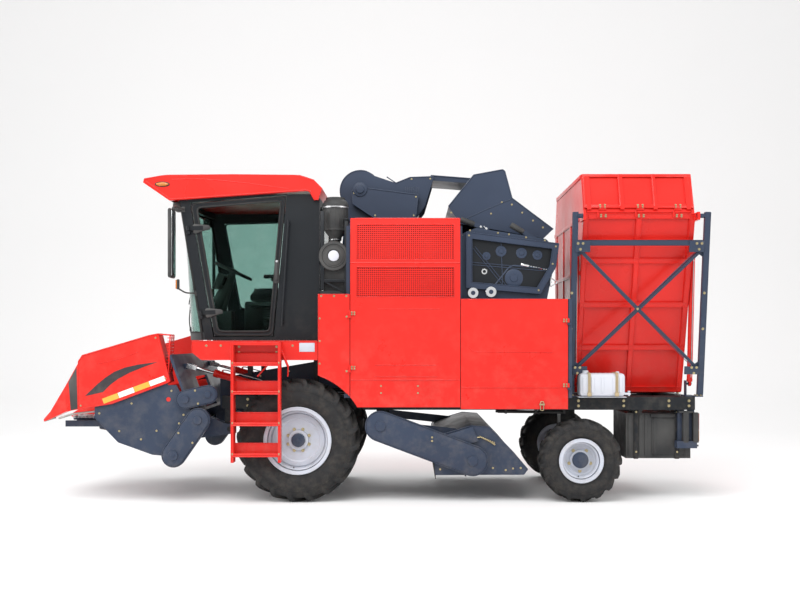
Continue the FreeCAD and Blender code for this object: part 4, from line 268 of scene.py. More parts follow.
def rounded(points, bend, closed=False):
    """The corners of a path rounded with short arcs."""
    if bend <= 0:
        return points
    path, count = [], len(points)
    for i, here in enumerate(points):
        if not closed and i in (0, count - 1):
            path.append(here)
            continue
        back = points[i - 1] - here
        ahead = points[(i + 1) % count] - here
        cut = min(bend, back.length * 0.45, ahead.length * 0.45)
        first, last = here + back.normalized() * cut, here + ahead.normalized() * cut
        for k in range(6):
            t = k / 5
            path.append(first * (1 - t) ** 2 + here * 2 * t * (1 - t) + last * t * t)
    return path


def fitted(name, mesh, body, finish, smooth=35):
    """A plain mesh becomes a piece of the machine."""
    mesh.materials.clear()
    mesh.materials.append(finish)
    mesh.polygons.foreach_set("use_smooth", [True] * len(mesh.polygons))
    mesh.set_sharp_from_angle(angle=math.radians(smooth))
    mesh.update()
    piece = bpy.data.objects.new(name, mesh)
    bpy.context.scene.collection.objects.link(piece)
    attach(piece, body)
    return piece


def points_mesh(name, places):
    """Loose points, each with the way it faces and the way its length runs."""
    mesh = bpy.data.meshes.new(name)
    mesh.from_pydata([tuple(p) for p, *_ in places], [], [])
    for label, column in (("facing", 1), ("running", 2)):
        store = mesh.attributes.new(label, "FLOAT_VECTOR", "POINT")
        values = [c for row in places for c in (row[column] if len(row) > column else (0, 0, 0))]
        store.data.foreach_set("vector", values)
    return mesh


def input_of(node, key):
    """A node's input by its name, or by its number where the key is n0, n1 and so on."""
    name = key.replace("_", " ")
    return node.inputs[int(name[1:]) if name[:1] == "n" and name[1:].isdigit() else name]


class Wiring:
    """What both kinds of node tree share: nodes are added, and their inputs are linked or set."""

    def feed(self, value, target):
        """Links a node or socket to an input, or sets the input to a plain value."""
        if isinstance(value, bpy.types.Node):
            value = next(o for o in value.outputs if o.enabled)
        if isinstance(value, bpy.types.NodeSocket):
            self.tree.links.new(value, target)
        else:
            target.default_value = value

    def node(self, kind, settings, values):
        """Adds a node, sets its settings and feeds its inputs by name."""
        node = self.tree.nodes.new(kind)
        for key, value in (settings or {}).items():
            setattr(node, key, value)
        for key, value in values.items():
            self.feed(value, input_of(node, key))
        return node


class Tree(Wiring):
    """A geometry node tree being wired up, with named inputs."""

    def __init__(self, name, **inputs):
        self.tree = bpy.data.node_groups.new(name, "GeometryNodeTree")
        face = self.tree.interface
        face.new_socket("Geometry", in_out="INPUT", socket_type="NodeSocketGeometry")
        face.new_socket("Geometry", in_out="OUTPUT", socket_type="NodeSocketGeometry")
        kinds = {float: "NodeSocketFloat", int: "NodeSocketInt"}
        self.ids = {}
        for label, default in {**inputs, "Finish": None}.items():
            kind = "NodeSocketMaterial" if default is None else kinds[type(default)]
            socket = face.new_socket(label.replace("_", " "), in_out="INPUT", socket_type=kind)
            if default is not None:
                socket.default_value = default
            self.ids[label] = socket.identifier
        self.start = self.tree.nodes.new("NodeGroupInput")
        self.end = self.tree.nodes.new("NodeGroupOutput")

    def given(self, label):
        return next(s for s in self.start.outputs if s.identifier == self.ids[label])

    def add(self, kind, settings=None, **values):
        """Adds a node; values go to its inputs by name, a socket being linked and a number set."""
        return self.node(kind, settings, values)

    def sum(self, a, b, how="ADD"):
        return self.add("ShaderNodeMath", {"operation": how}, n0=a, n1=b)

    def vector(self, x=0.0, y=0.0, z=0.0):
        return self.add("ShaderNodeCombineXYZ", X=x, Y=y, Z=z)

    def close(self, geometry):
        """Ends the tree: instances made real, and the finish laid on."""
        real = self.add("GeometryNodeRealizeInstances", Geometry=geometry)
        laid = self.add("GeometryNodeSetMaterial", Geometry=real, Material=self.given("Finish"))
        self.feed(laid, self.end.inputs[0])
        return self

    def run(self, name, seed_mesh, finish, **values):
        """Runs the tree on a seed mesh and gives back the plain mesh it makes."""
        carrier = bpy.data.objects.new(name + "_seed", seed_mesh)
        bpy.context.scene.collection.objects.link(carrier)
        step = carrier.modifiers.new("grow", "NODES")
        step.node_group = self.tree
        step[self.ids["Finish"]] = finish
        for label, value in values.items():
            step[self.ids[label]] = value
        bpy.context.view_layer.update()
        grown = carrier.evaluated_get(bpy.context.evaluated_depsgraph_get())
        mesh = bpy.data.meshes.new_from_object(grown)
        carrier.modifiers.remove(step)
        bpy.data.objects.remove(carrier)
        if not len(mesh.polygons):
            raise RuntimeError(f"the tree for {name} made nothing")
        for label in [a.name for a in mesh.attributes if a.name in ("facing", "running")]:
            mesh.attributes.remove(mesh.attributes[label])
        mesh.name = name
        return mesh

    def grow(self, name, seed_mesh, body, finish, **values):
        """Runs the tree and fits what it makes to a body."""
        return fitted(name, self.run(name, seed_mesh, finish, **values), body, finish)


# ---------------------------------------------------------------- finishes


class Finish(Wiring):
    """A node material being wired up around one Principled shader."""

    def __init__(self, name):
        self.made = bpy.data.materials.new(name)
        self.made.use_nodes = True
        self.tree = self.made.node_tree
        self.tree.nodes.clear()
        self.shader = self.tree.nodes.new("ShaderNodeBsdfPrincipled")
        output = self.tree.nodes.new("ShaderNodeOutputMaterial")
        self.tree.links.new(self.shader.outputs[0], output.inputs[0])
        self.place = self.tree.nodes.new("ShaderNodeTexCoord").outputs["Object"]
        self.normal = None

    def add(self, kind, settings=None, out=0, **values):
        """Adds a node and gives back one of its outputs."""
        return self.node(kind, settings, values).outputs[out]

    def fixed(self, **values):
        """Numbers and colours that are the same all over the surface."""
        for key, value in values.items():
            self.shader.inputs[key.replace("_", " ")].default_value = value
        return self

    def noise(self, scale, detail=3.0, rough=0.5, stretch=(1, 1, 1)):
        where = self.add("ShaderNodeMapping", Vector=self.place, Scale=stretch)
        return self.add("ShaderNodeTexNoise", Vector=where, Scale=scale, Detail=detail, Roughness=rough)

    def ramp(self, value, low, high, to_low=0.0, to_high=1.0):
        return self.add("ShaderNodeMapRange", Value=value, From_Min=low, From_Max=high, To_Min=to_low,
                        To_Max=to_high)

    def math(self, how, a, b=0.0):
        return self.add("ShaderNodeMath", {"operation": how}, n0=a, n1=b)

    def part(self, axis):
        return self.add("ShaderNodeSeparateXYZ", out="XYZ".index(axis), Vector=self.place)

    def blend(self, factor, first, second):
        node = self.tree.nodes.new("ShaderNodeMix")
        node.data_type = "RGBA"
        self.feed(factor, node.inputs[0])
        self.feed(first, node.inputs[6])
        self.feed(second, node.inputs[7])
        return node.outputs[2]

    def bumped(self, height, strength, distance):
        """Raises the surface by a height pattern, over whatever is there already."""
        extra = {"Normal": self.normal} if self.normal else {}
        self.normal = self.add("ShaderNodeBump", Height=height, Strength=strength, Distance=distance, **extra)
        return self

    def softened(self, radius):
        """Pressed edges catch light as if they were rounded."""
        self.normal = self.add("ShaderNodeBevel", {"samples": 4}, Radius=radius)
        return self

    def done(self, colour=None, rough=None):
        if colour is not None:
            self.feed(colour, self.shader.inputs["Base Color"])
        if rough is not None:
            self.feed(rough, self.shader.inputs["Roughness"])
        if self.normal:
            self.tree.links.new(self.normal, self.shader.inputs["Normal"])
        return self.made


def shade(colour, factor):
    return (colour[0] * factor, colour[1] * factor, colour[2] * factor, 1)


DUST = (0.36, 0.31, 0.24, 1)


def painted_steel(name, colour, rough=0.34, coat=0.25, dusty=0.1, wear=None):
    """Sprayed enamel on steel: orange peel, uneven gloss, field dust low down, chips on edges."""
    finish = Finish(name).fixed(Coat_Weight=coat, Coat_Roughness=0.12, Specular_IOR_Level=0.26)
    finish.softened(0.0025)
    cloudy = finish.noise(1.7, 4, 0.6)
    peel = finish.noise(330, 2)
    colour = (*colour[:3], 1)
    body = finish.blend(finish.ramp(cloudy, 0.3, 0.7), shade(colour, 0.9), shade(colour, 1.06))
    low = finish.ramp(finish.part("Z"), 0.2, 2.1, 1.0, 0.0)
    grime = finish.math("MULTIPLY", finish.ramp(finish.noise(7.5, 8, 0.7), 0.46, 0.82), low)
    body = finish.blend(finish.math("MULTIPLY", grime, dusty * 3.0), body, DUST)
    if wear:
        normal = finish.tree.nodes.new("ShaderNodeNewGeometry").outputs["Normal"]
        turn = finish.add("ShaderNodeVectorMath", {"operation": "DOT_PRODUCT"}, out=1, n0=finish.normal,
                          n1=normal)
        edge = finish.ramp(turn, 0.95, 0.72)
        flakes = finish.ramp(finish.noise(42, 6, 0.75), 0.6, 0.68)
        body = finish.blend(finish.math("MULTIPLY", edge, flakes), body, (*wear[:3], 1))
    finish.bumped(peel, 0.05, 0.0004)
    gloss = finish.math("ADD", finish.ramp(finish.noise(3.1, 5), 0.3, 0.75, rough - 0.07, rough + 0.1),
                        finish.math("MULTIPLY", grime, 0.3))
    return finish.done(body, gloss)


def tyre_rubber(name):
    """Black rubber, greyed where soil has dried on it."""
    finish = Finish(name).fixed(Specular_IOR_Level=0.35)
    soil = finish.math("MULTIPLY", finish.ramp(finish.noise(9, 8, 0.72), 0.45, 0.8), 0.55)
    body = finish.blend(soil, (0.016, 0.016, 0.017, 1), (0.085, 0.073, 0.058, 1))
    finish.bumped(finish.noise(260, 4, 0.6), 0.25, 0.0012).bumped(finish.noise(28, 3), 0.12, 0.004)
    return finish.done(body, finish.ramp(finish.noise(14, 4), 0.3, 0.7, 0.68, 0.9))


def bare_metal(name, colour, rough=0.3, brushed=(1, 1, 1), tarnish=0.25):
    """Plated, galvanised or bright steel with a faint grain and handling marks."""
    finish = Finish(name).fixed(Metallic=1.0, Anisotropic=0.2)
    finish.softened(0.0012)
    marks = finish.ramp(finish.noise(22, 6, 0.7), 0.35, 0.75)
    body = finish.blend(finish.math("MULTIPLY", marks, tarnish), (*colour[:3], 1), shade(colour, 0.45))
    finish.bumped(finish.noise(150, 3, 0.6, brushed), 0.08, 0.0006)
    return finish.done(body, finish.ramp(marks, 0, 1, rough - 0.06, rough + 0.16))


def moulded_plastic(name, colour, rough=0.48, grain=0.14, fade=0.15):
    """Moulded plastic or rubber with a fine leather grain and sun fading."""
    finish = Finish(name).fixed(Specular_IOR_Level=0.3)
    finish.softened(0.002)
    cells = finish.add("ShaderNodeTexVoronoi", {"feature": "F1"}, Vector=finish.place, Scale=420.0)
    faded = finish.ramp(finish.noise(2.6, 5), 0.3, 0.75, 0.0, fade)
    body = finish.blend(faded, (*colour[:3], 1), (0.45, 0.44, 0.41, 1))
    finish.bumped(cells, grain, 0.0007)
    return finish.done(body, finish.ramp(finish.noise(12, 4), 0.3, 0.7, rough - 0.05, rough + 0.12))


def clear_pane(name, colour, rough=0.03):
    """Glass or a lamp lens that lets light through, with dust dried on it."""
    finish = Finish(name).fixed(Transmission_Weight=1.0, IOR=1.08, Specular_IOR_Level=0.6)
    haze = finish.ramp(finish.noise(5.5, 7, 0.7), 0.5, 0.9, 0.0, 0.3)
    body = finish.blend(haze, (*colour[:3], 1), (0.8, 0.8, 0.76, 1))
    return finish.done(body, finish.ramp(haze, 0.0, 0.3, rough, rough + 0.16))


def ribbed_lens(name, colour):
    """A moulded lamp lens: clear coloured plastic with fine optics on its back."""
    finish = Finish(name).fixed(Transmission_Weight=0.45, IOR=1.49, Coat_Weight=0.6, Coat_Roughness=0.04,
                                Roughness=0.16)
    where = finish.add("ShaderNodeMapping", Vector=finish.place, Rotation=(0.0, math.radians(90), 0.0))
    ribs = finish.add("ShaderNodeTexWave", {"bands_direction": "Z"}, Vector=where, Scale=48.0, Distortion=0.0)
    finish.bumped(ribs, 0.5, 0.0015)
    body = finish.blend(finish.ramp(ribs, 0, 1), shade(colour, 0.75), (*colour[:3], 1))
    return finish.done(body)


def rough_casting(name, colour):
    """Sand-cast iron under thin paint, oily in its hollows."""
    finish = Finish(name).fixed(Metallic=0.35, Specular_IOR_Level=0.5)
    finish.softened(0.004)
    oil = finish.ramp(finish.noise(6.5, 7, 0.7), 0.42, 0.72)
    body = finish.blend(oil, (*colour[:3], 1), shade(colour, 0.35))
    finish.bumped(finish.noise(190, 5, 0.7), 0.4, 0.0012)
    return finish.done(body, finish.ramp(oil, 0, 1, 0.62, 0.34))


def woven_cloth(name, colour):
    """Hard-wearing seat cloth: a plain weave with flecks."""
    finish = Finish(name).fixed(Sheen_Weight=0.35, Sheen_Roughness=0.5, Specular_IOR_Level=0.25)
    warp = finish.add("ShaderNodeTexWave", {"bands_direction": "Y"}, Vector=finish.place, Scale=130.0,
                      Distortion=0.4)
    weft = finish.add("ShaderNodeTexWave", {"bands_direction": "DIAGONAL"}, Vector=finish.place, Scale=95.0,
                      Distortion=0.4)
    weave = finish.math("MULTIPLY", warp, weft)
    flecks = finish.ramp(finish.noise(240, 2), 0.62, 0.68)
    body = finish.blend(weave, shade(colour, 0.55), (*colour[:3], 1))
    body = finish.blend(finish.math("MULTIPLY", flecks, 0.5), body, (0.3, 0.3, 0.32, 1))
    finish.bumped(weave, 0.35, 0.0012)
    return finish.done(body, finish.ramp(finish.noise(9, 4), 0.3, 0.7, 0.78, 0.94))


def reflective_tape(name, colour):
    """Reflective tape: fine cells under a clear coat, with dust dried on it."""
    finish = Finish(name).fixed(Coat_Weight=0.5, Coat_Roughness=0.2, Specular_IOR_Level=0.7)
    dusty = finish.math("MULTIPLY", finish.ramp(finish.noise(15, 6, 0.7), 0.45, 0.8), 0.25)
    cells = finish.add("ShaderNodeTexVoronoi", {"feature": "DISTANCE_TO_EDGE"}, Vector=finish.place,
                       Scale=310.0)
    finish.bumped(cells, 0.25, 0.0006)
    return finish.done(finish.blend(dusty, (*colour[:3], 1), DUST), finish.ramp(dusty, 0, 0.25, 0.28, 0.6))


# ---------------------------------------------------------------- what a user may change


def colour_choice(name, description, value):
    return FloatVectorProperty(name=name, description=description, default=(*value, 1), size=4, min=0, max=1,
                               subtype="COLOR")


def length_choice(name, description, value, least=0.0):
    return FloatProperty(name=name, description=description, default=value, min=least, unit="LENGTH",
                         subtype="DISTANCE", precision=4)


class HarvesterColours(bpy.types.PropertyGroup):
    """Colours of the machine's paint and plastic."""

    body: colour_choice("Body red", "Doors, covers, roof, bin panels and snouts", (0.66, 0.016, 0.01))
    frame: colour_choice("Frame slate", "Posts, elevator, husker and header frame", (0.03, 0.043, 0.074))
    chassis: colour_choice("Chassis black", "Rails, axles and cab frame", (0.007, 0.009, 0.012))
    wheels: colour_choice("Wheel silver", "Rims", (0.5, 0.53, 0.6))
    auger: colour_choice("Auger red", "Gathering auger of the header", (0.55, 0.02, 0.014))
    seat: colour_choice("Seat cloth", "Driver's seat cushions", (0.02, 0.021, 0.024))
    glass: colour_choice("Glass tint", "Cab windows", (0.4, 0.56, 0.52))
    fasteners: colour_choice("Yellow plating", "Bolts and washers", (0.46, 0.39, 0.23))


class HarvesterTread(bpy.types.PropertyGroup):
    """Tyres."""

    front_lugs: IntProperty(name="Front lugs", description="Lugs on each side of a front tyre", default=20,
                            min=8, max=40)
    rear_lugs: IntProperty(name="Rear lugs", description="Lugs on each side of a rear tyre", default=17,
                           min=8, max=40)
    front_depth: length_choice("Front lug height", "Height of the front lugs above the carcass", 0.034)
    rear_depth: length_choice("Rear lug height", "Height of the rear lugs above the carcass", 0.022)
    sweep: FloatProperty(name="Lug sweep",
                         description="How far a lug trails round the tyre from shoulder to crown",
                         default=math.radians(24), unit="ROTATION", subtype="ANGLE")


class HarvesterHardware(bpy.types.PropertyGroup):
    """Perforated sheet, guards and chains."""

    hole_pitch: length_choice("Mesh pitch", "Distance between holes in the perforated guards", 0.02, 0.008)
    wire: length_choice("Guard wire", "Radius of wire and rod guards", 0.004, 0.001)
    link_pitch: length_choice("Chain pitch", "Length of a gathering chain's link", 0.038, 0.01)


class HarvesterStage(bpy.types.PropertyGroup):
    """Floor, light and lens."""

    floor: colour_choice("Floor", "Plain floor under the machine", (0.86, 0.86, 0.86))
    light: FloatProperty(name="Light", description="Strength of the soft boxes", default=1.0, min=0.05,
                         max=10)
    distance: length_choice("Distance", "Camera's distance from the machine's middle plane", 10.65, 1.0)


class HarvesterLooks(bpy.types.PropertyGroup):
    """Everything that the panel shows."""

    colours: PointerProperty(type=HarvesterColours, name="Colours", description="Paint and plastic")
    tread: PointerProperty(type=HarvesterTread, name="Tyres", description="Tyre tread")
    hardware: PointerProperty(type=HarvesterHardware, name="Hardware",
                              description="Perforated sheet, guards and chains")
    stage: PointerProperty(type=HarvesterStage, name="Stage", description="Floor, light and lens")


FINISH = {}


def prepare_finishes(looks):
    """Makes every finish once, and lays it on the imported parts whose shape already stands."""
    tone, chip = looks.colours, (0.24, 0.23, 0.22)
    FINISH.update(
        red=painted_steel("body_red", tone.body, 0.32, 0.16, 0.07, wear=shade(tone.body, 0.45)),
        slate=painted_steel("frame_slate", tone.frame, 0.38, 0.06, 0.07, wear=chip),
        black=painted_steel("chassis_black", tone.chassis, 0.42, 0.05, 0.08, wear=chip),
        silver=painted_steel("wheel_silver", tone.wheels, 0.34, 0.3, 0.16, wear=(0.3, 0.28, 0.26)),
        auger=painted_steel("auger_red", tone.auger, 0.36, 0.12, 0.06, wear=(0.5, 0.49, 0.47)),
        rubber=tyre_rubber("tyre_rubber"),
        chrome=bare_metal("rod_chrome", (0.78, 0.79, 0.8), 0.1, tarnish=0.08),
        zinc=bare_metal("yellow_plating", tone.fasteners, 0.32),
        steel=bare_metal("bright_steel", (0.46, 0.46, 0.47), 0.34),
        worn=bare_metal("crop_polished_steel", (0.34, 0.33, 0.31), 0.38, (1, 9, 1), 0.5),
        plastic=moulded_plastic("black_plastic", (0.014, 0.015, 0.017)),
        seal=moulded_plastic("rubber_seal", (0.012, 0.012, 0.013), 0.7, 0.2, 0.06),
        belt=moulded_plastic("drive_belt", (0.018, 0.017, 0.017), 0.75, 0.3, 0.2),
        can=moulded_plastic("white_plastic", (0.56, 0.58, 0.64), 0.42, 0.1, 0.12),
        cloth=woven_cloth("seat_cloth", tone.seat),
        iron=rough_casting("engine_iron", (0.075, 0.085, 0.1)),
        glass=clear_pane("window_glass", tone.glass),
        clear=clear_pane("clear_lens", (0.95, 0.95, 0.93), 0.05),
        mirror=bare_metal("mirror_face", (0.86, 0.87, 0.88), 0.04, tarnish=0.04),
        amber=ribbed_lens("amber_lens", (0.95, 0.3, 0.01)),
        ruby=ribbed_lens("red_lens", (0.75, 0.01, 0.01)),
        stripe=reflective_tape("amber_tape", (0.8, 0.36, 0.02)),
        tape=reflective_tape("white_tape", (0.8, 0.79, 0.75)),
        swoosh=painted_steel("cover_band", (0.035, 0.03, 0.034), 0.34, 0.3, 0.1),
        paper=painted_steel("air_filter_tan", (0.42, 0.33, 0.2), 0.6, 0.0, 0.1),
    )
    slots = dict(
        tyre="rubber", silver_paint="silver", black_paint="black", red_paint="red", slate_paint="slate",
        auger_paint="auger", chrome_rod="chrome", tinted_glass="glass", seat_fabric="cloth",
        black_plastic="plastic", engine_iron="iron", white_plastic="can",
    )
    for part in FRAME["record"]["subparts"]:
        mesh = NODES[part["node"]].data
        mesh.materials.clear()
        mesh.materials.append(FINISH[slots[part["material_slot"]]])


# ---------------------------------------------------------------- trees for what repeats

TREES = {}

# Head radius, head height, sides and the washer's share of the head's radius.
BOLTS = {
    "wheel": (0.0115, 0.013, 6, 1.5),
    "roof": (0.016, 0.016, 6, 1.9),
    "door": (0.0065, 0.005, 6, 1.4),
    "panel": (0.0065, 0.005, 6, 1.6),
    "rivet": (0.0025, 0.0015, 12, 1.3),
    "ladder": (0.0075, 0.006, 6, 1.6),
    "deck": (0.007, 0.0055, 6, 1.6),
    "frame": (0.01, 0.008, 6, 1.4),
    "cover": (0.0068, 0.005, 6, 1.4),
    "case": (0.0075, 0.006, 6, 1.4),
    "plate": (0.007, 0.0055, 6, 1.4),
    "hinge": (0.0075, 0.0065, 6, 1.4),
    "stand": (0.0095, 0.0075, 6, 1.4),
    "axle": (0.008, 0.0065, 6, 1.5),
}


def prepare_trees():
    """Wires up the trees that set out bolts, rings round an axle and straight rows."""
    tree = Tree("bolts_on_points", Radius=0.0085, Height=0.0065, Sides=6, Washer=1.7)
    head = tree.add("GeometryNodeMeshCylinder", None, Vertices=tree.given("Sides"),
                    Radius=tree.given("Radius"), Depth=tree.given("Height"))
    lift = tree.sum(tree.given("Height"), 0.72, "MULTIPLY")
    head = tree.add("GeometryNodeTransform", None, Geometry=head, Translation=tree.vector(z=lift))
    wide = tree.sum(tree.given("Radius"), tree.given("Washer"), "MULTIPLY")
    thin = tree.sum(tree.given("Height"), 0.25, "MULTIPLY")
    washer = tree.add("GeometryNodeMeshCylinder", None, Vertices=14, Radius=wide, Depth=thin)
    washer = tree.add("GeometryNodeTransform", None, Geometry=washer,
                      Translation=tree.vector(z=tree.sum(thin, 0.5, "MULTIPLY")))
    both = tree.add("GeometryNodeJoinGeometry")
    tree.feed(head, both.inputs[0])
    tree.feed(washer, both.inputs[0])
    way = tree.add("GeometryNodeInputNamedAttribute", {"data_type": "FLOAT_VECTOR"}, Name="facing")
    turn = tree.add("FunctionNodeAlignRotationToVector", {"axis": "Z"}, Vector=way)
    set_out = tree.add("GeometryNodeInstanceOnPoints", None, Points=tree.start.outputs[0], Instance=both,
                       Rotation=turn)
    TREES["bolts"] = tree.close(set_out)

    tree = Tree("ring_about_axle", Count=8, Phase=0.0, Centre_X=0.0, Centre_Y=0.0, Centre_Z=0.0)
    seat = tree.add("GeometryNodeMeshLine", None, Count=tree.given("Count"))
    seat = tree.add("GeometryNodeSetPosition", None, Geometry=seat, Position=tree.vector(
        tree.given("Centre_X"), tree.given("Centre_Y"), tree.given("Centre_Z")))
    share = tree.sum(math.tau, tree.given("Count"), "DIVIDE")
    angle = tree.sum(tree.sum(tree.add("GeometryNodeInputIndex"), share, "MULTIPLY"), tree.given("Phase"))
    turn = tree.add("FunctionNodeEulerToRotation", None, Euler=tree.vector(y=angle))
    set_out = tree.add("GeometryNodeInstanceOnPoints", None, Points=seat, Instance=tree.start.outputs[0],
                       Rotation=turn)
    TREES["ring"] = tree.close(set_out)

    tree = Tree("row_along_line", Count=10, Step_X=0.0, Step_Y=0.0, Step_Z=0.0)
    line = tree.add("GeometryNodeMeshLine", None, Count=tree.given("Count"),
                    Offset=tree.vector(tree.given("Step_X"), tree.given("Step_Y"), tree.given("Step_Z")))
    set_out = tree.add("GeometryNodeInstanceOnPoints", None, Points=line, Instance=tree.start.outputs[0])
    TREES["row"] = tree.close(set_out)


def bolted(name, places, body, kind, finish="zinc"):
    """Bolt heads, rivets or screws at places, each facing its own way."""
    seed = points_mesh(name, places)
    size, height, sides, washer = BOLTS[kind]
    return TREES["bolts"].grow(name, seed, body, FINISH[finish], Radius=size, Height=height, Sides=sides,
                               Washer=washer)


def facing(side, y, spots):
    """Places for bolts on an upright face at y that looks out to a side."""
    return [((x, y, z), (0, side, 0)) for x, z in spots]


def ring_of(name, work, count, centre, phase=0.0):
    """Copies of a piece of work round an axle; it is made at the top, with the axle at its origin."""
    seed = work.mesh(name + "_one")
    work.bm.free()
    x, y, z = centre
    return TREES["ring"].run(name, seed, FINISH["steel"], Count=count, Phase=phase, Centre_X=x, Centre_Y=y,
                             Centre_Z=z)


def row_of(name, work, count, step):
    """Copies of a piece of work along a straight line."""
    seed = work.mesh(name + "_one")
    work.bm.free()
    return TREES["row"].run(name, seed, FINISH["steel"], Count=count, Step_X=step[0], Step_Y=step[1],
                            Step_Z=step[2])


def prepare_sheet_tree():
    """Wires up the tree that makes a perforated sheet from one cell, welded and closed."""
    tree = Tree("perforated_sheet", Across=40, Up=20, Pitch=0.02, Thickness=0.002)
    wide = tree.sum(tree.sum(tree.given("Across"), 1.0, "SUBTRACT"), tree.given("Pitch"), "MULTIPLY")
    tall = tree.sum(tree.sum(tree.given("Up"), 1.0, "SUBTRACT"), tree.given("Pitch"), "MULTIPLY")
    grid = tree.add("GeometryNodeMeshGrid", None, Size_X=wide, Size_Y=tall, Vertices_X=tree.given("Across"),
                    Vertices_Y=tree.given("Up"))
    cells = tree.add("GeometryNodeInstanceOnPoints", None, Points=grid.outputs["Mesh"],
                     Instance=tree.start.outputs[0])
    real = tree.add("GeometryNodeRealizeInstances", None, Geometry=cells)
    weld = tree.add("GeometryNodeMergeByDistance", None, Geometry=real, Distance=0.0002)
    raised = tree.add("GeometryNodeExtrudeMesh", {"mode": "FACES"}, Mesh=weld,
                      Offset_Scale=tree.given("Thickness"), Individual=False)
    under = tree.add("GeometryNodeFlipFaces", None, Mesh=weld)
    both = tree.add("GeometryNodeJoinGeometry")
    tree.feed(raised, both.inputs[0])
    tree.feed(under, both.inputs[0])
    TREES["sheet"] = tree.close(tree.add("GeometryNodeMergeByDistance", None, Geometry=both, Distance=0.0002))


def perforated(name, middle, wide, tall, across, up, pitch, thickness):
    """A perforated sheet as a mesh: it runs across and up, and faces their cross product."""
    cell = bmesh.new()
    half = pitch / 2
    rim = [(1, 0), (1, 1), (0, 1), (-1, 1), (-1, 0), (-1, -1), (0, -1), (1, -1)]
    outer = [cell.verts.new((a * half, b * half, 0)) for a, b in rim]
    inner = [cell.verts.new((HOLE_SHARE * pitch * math.cos(t), HOLE_SHARE * pitch * math.sin(t), 0))
             for t in around(8)]
    for i in range(8):
        j = (i + 1) % 8
        cell.faces.new((outer[i], outer[j], inner[j], inner[i]))
    seed = bpy.data.meshes.new(name + "_cell")
    cell.to_mesh(seed)
    cell.free()
    columns, rows = max(2, int(wide / pitch)), max(2, int(tall / pitch))
    mesh = TREES["sheet"].run(name, seed, FINISH["red"], Across=columns, Up=rows, Pitch=pitch,
                              Thickness=thickness)
    across, up = Vector(across).normalized(), Vector(up).normalized()
    turn = Matrix((across, up, across.cross(up))).transposed().to_4x4()
    mesh.transform(Matrix.Translation(middle) @ turn)
    return mesh


def merged(meshes):
    """Several meshes as one piece of work."""
    work = Work()
    for mesh in meshes:
        work.take(mesh)
    return work


# ---------------------------------------------------------------- wheels


def carcass_edge(radius, width, seat, depth):
    """The tyre's section from bead to bead: (across, radius) pairs under the lugs."""
    wall = radius - seat
    crown = radius - depth
    half = [
        (0.395, seat + 0.002), (0.4, seat + 0.03), (0.428, seat + 0.05), (0.47, seat + 0.22 * wall),
        (0.492, seat + 0.36 * wall), (0.497, seat + 0.48 * wall), (0.488, seat + 0.6 * wall),
        (0.47, seat + 0.7 * wall), (0.44, crown - 0.03), (0.385, crown - 0.012), (0.26, crown - 0.004),
    ]
    edge = [(-a * width, r) for a, r in half] + [(0.0, crown)]
    return edge + [(a * width, r) for a, r in reversed(half)]


def tread_lug(radius, width, seat, depth, sweep, side):
    """One lug from the shoulder to just past the crown's middle, at the top of the tyre."""
    lug, steps, rows = Work(), 9, []
    edge = carcass_edge(radius, width, seat, depth)

    def under(across):
        for (a0, r0), (a1, r1) in zip(edge, edge[1:]):
            if a0 <= across <= a1 and r0 > seat + 0.4 * (radius - seat):
                return r0 + (r1 - r0) * (across - a0) / (a1 - a0)
        return radius - depth

    for i in range(steps + 1):
        t = i / steps
        across = (0.48 - 0.52 * t) * width
        top = radius - 0.0005 - (0.058 * max(0.0, (0.3 - t) / 0.3) ** 1.7 + 0.004 * max(0.0, 0.6 - t))
        base = under(min(across, 0.478 * width) * side) - 0.006
        angle = sweep * (t ** 1.12) * 0.62
        thick = 0.029 + 0.011 * (1 - t) ** 2
        ring = []
        for level, reach in ((base, thick * 0.78), (top - 0.004, thick * 0.56), (top, thick * 0.47)):
            for sign in (-1, 1):
                turn = angle + sign * reach / radius
                r = min(level, radius - 0.0005)
                ring.append((sign, r, turn))
        a = [(across * side, r, turn) for sign, r, turn in ring if sign < 0]
        b = [(across * side, r, turn) for sign, r, turn in ring if sign > 0]
        rows.append([
            lug.bm.verts.new((r * math.sin(turn), y, r * math.cos(turn))) for y, r, turn in a + b[::-1]
        ])
    faces = []
    for one, two in zip(rows, rows[1:]):
        for k in range(6):
            j = (k + 1) % 6
            faces.append(lug.bm.faces.new((one[k], one[j], two[j], two[k])))
    faces += [lug.bm.faces.new(rows[0]), lug.bm.faces.new(rows[-1][::-1])]
    bmesh.ops.recalc_face_normals(lug.bm, faces=faces)
    return lug


def make_tyres(looks):
    """Tyres with swept lugs, rounded walls and moulded rings."""
    tread = looks.tread
    for axle, lugs, depth, seat in (
        ("front", tread.front_lugs, tread.front_depth, 0.308), ("rear", tread.rear_lugs, tread.rear_depth,
            0.195)
    ):
        for side in SIDES:
            node = f"{axle}_tyre_{side}"
            low, high, hub = span(node)
            radius, width = (high.z - low.z) / 2, high.y - low.y
            tyre = Work()
            edge = carcass_edge(radius, width, seat, depth)
            tyre.turned(edge, hub, LEFT, 112)
            for place in (0.3, 0.62):
                wall = radius - seat
                for face in (-1, 1):
                    bulge = 0.4975 if place < 0.5 else 0.4865
                    r = seat + place * wall
                    y = face * (bulge * width - (0.0115 if place < 0.5 else 0.0))
                    tyre.turned([(y - 0.004, r - 0.0045), (y + 0.004, r - 0.0045), (y + 0.004, r + 0.0045),
                                 (y - 0.004, r + 0.0045)],
                                hub, LEFT, 96)
            for half in (1, -1):
                one = tread_lug(radius, width, seat, depth, tread.sweep, half)
                ring = ring_of(node + "_lugs", one, lugs, hub, math.pi / lugs * (half > 0))
                tyre.take(ring)
            body = f"{axle}_wheel_{side}"
            piece = tyre.fit(node + "_treaded", body, "rubber", 40)
            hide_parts(node)


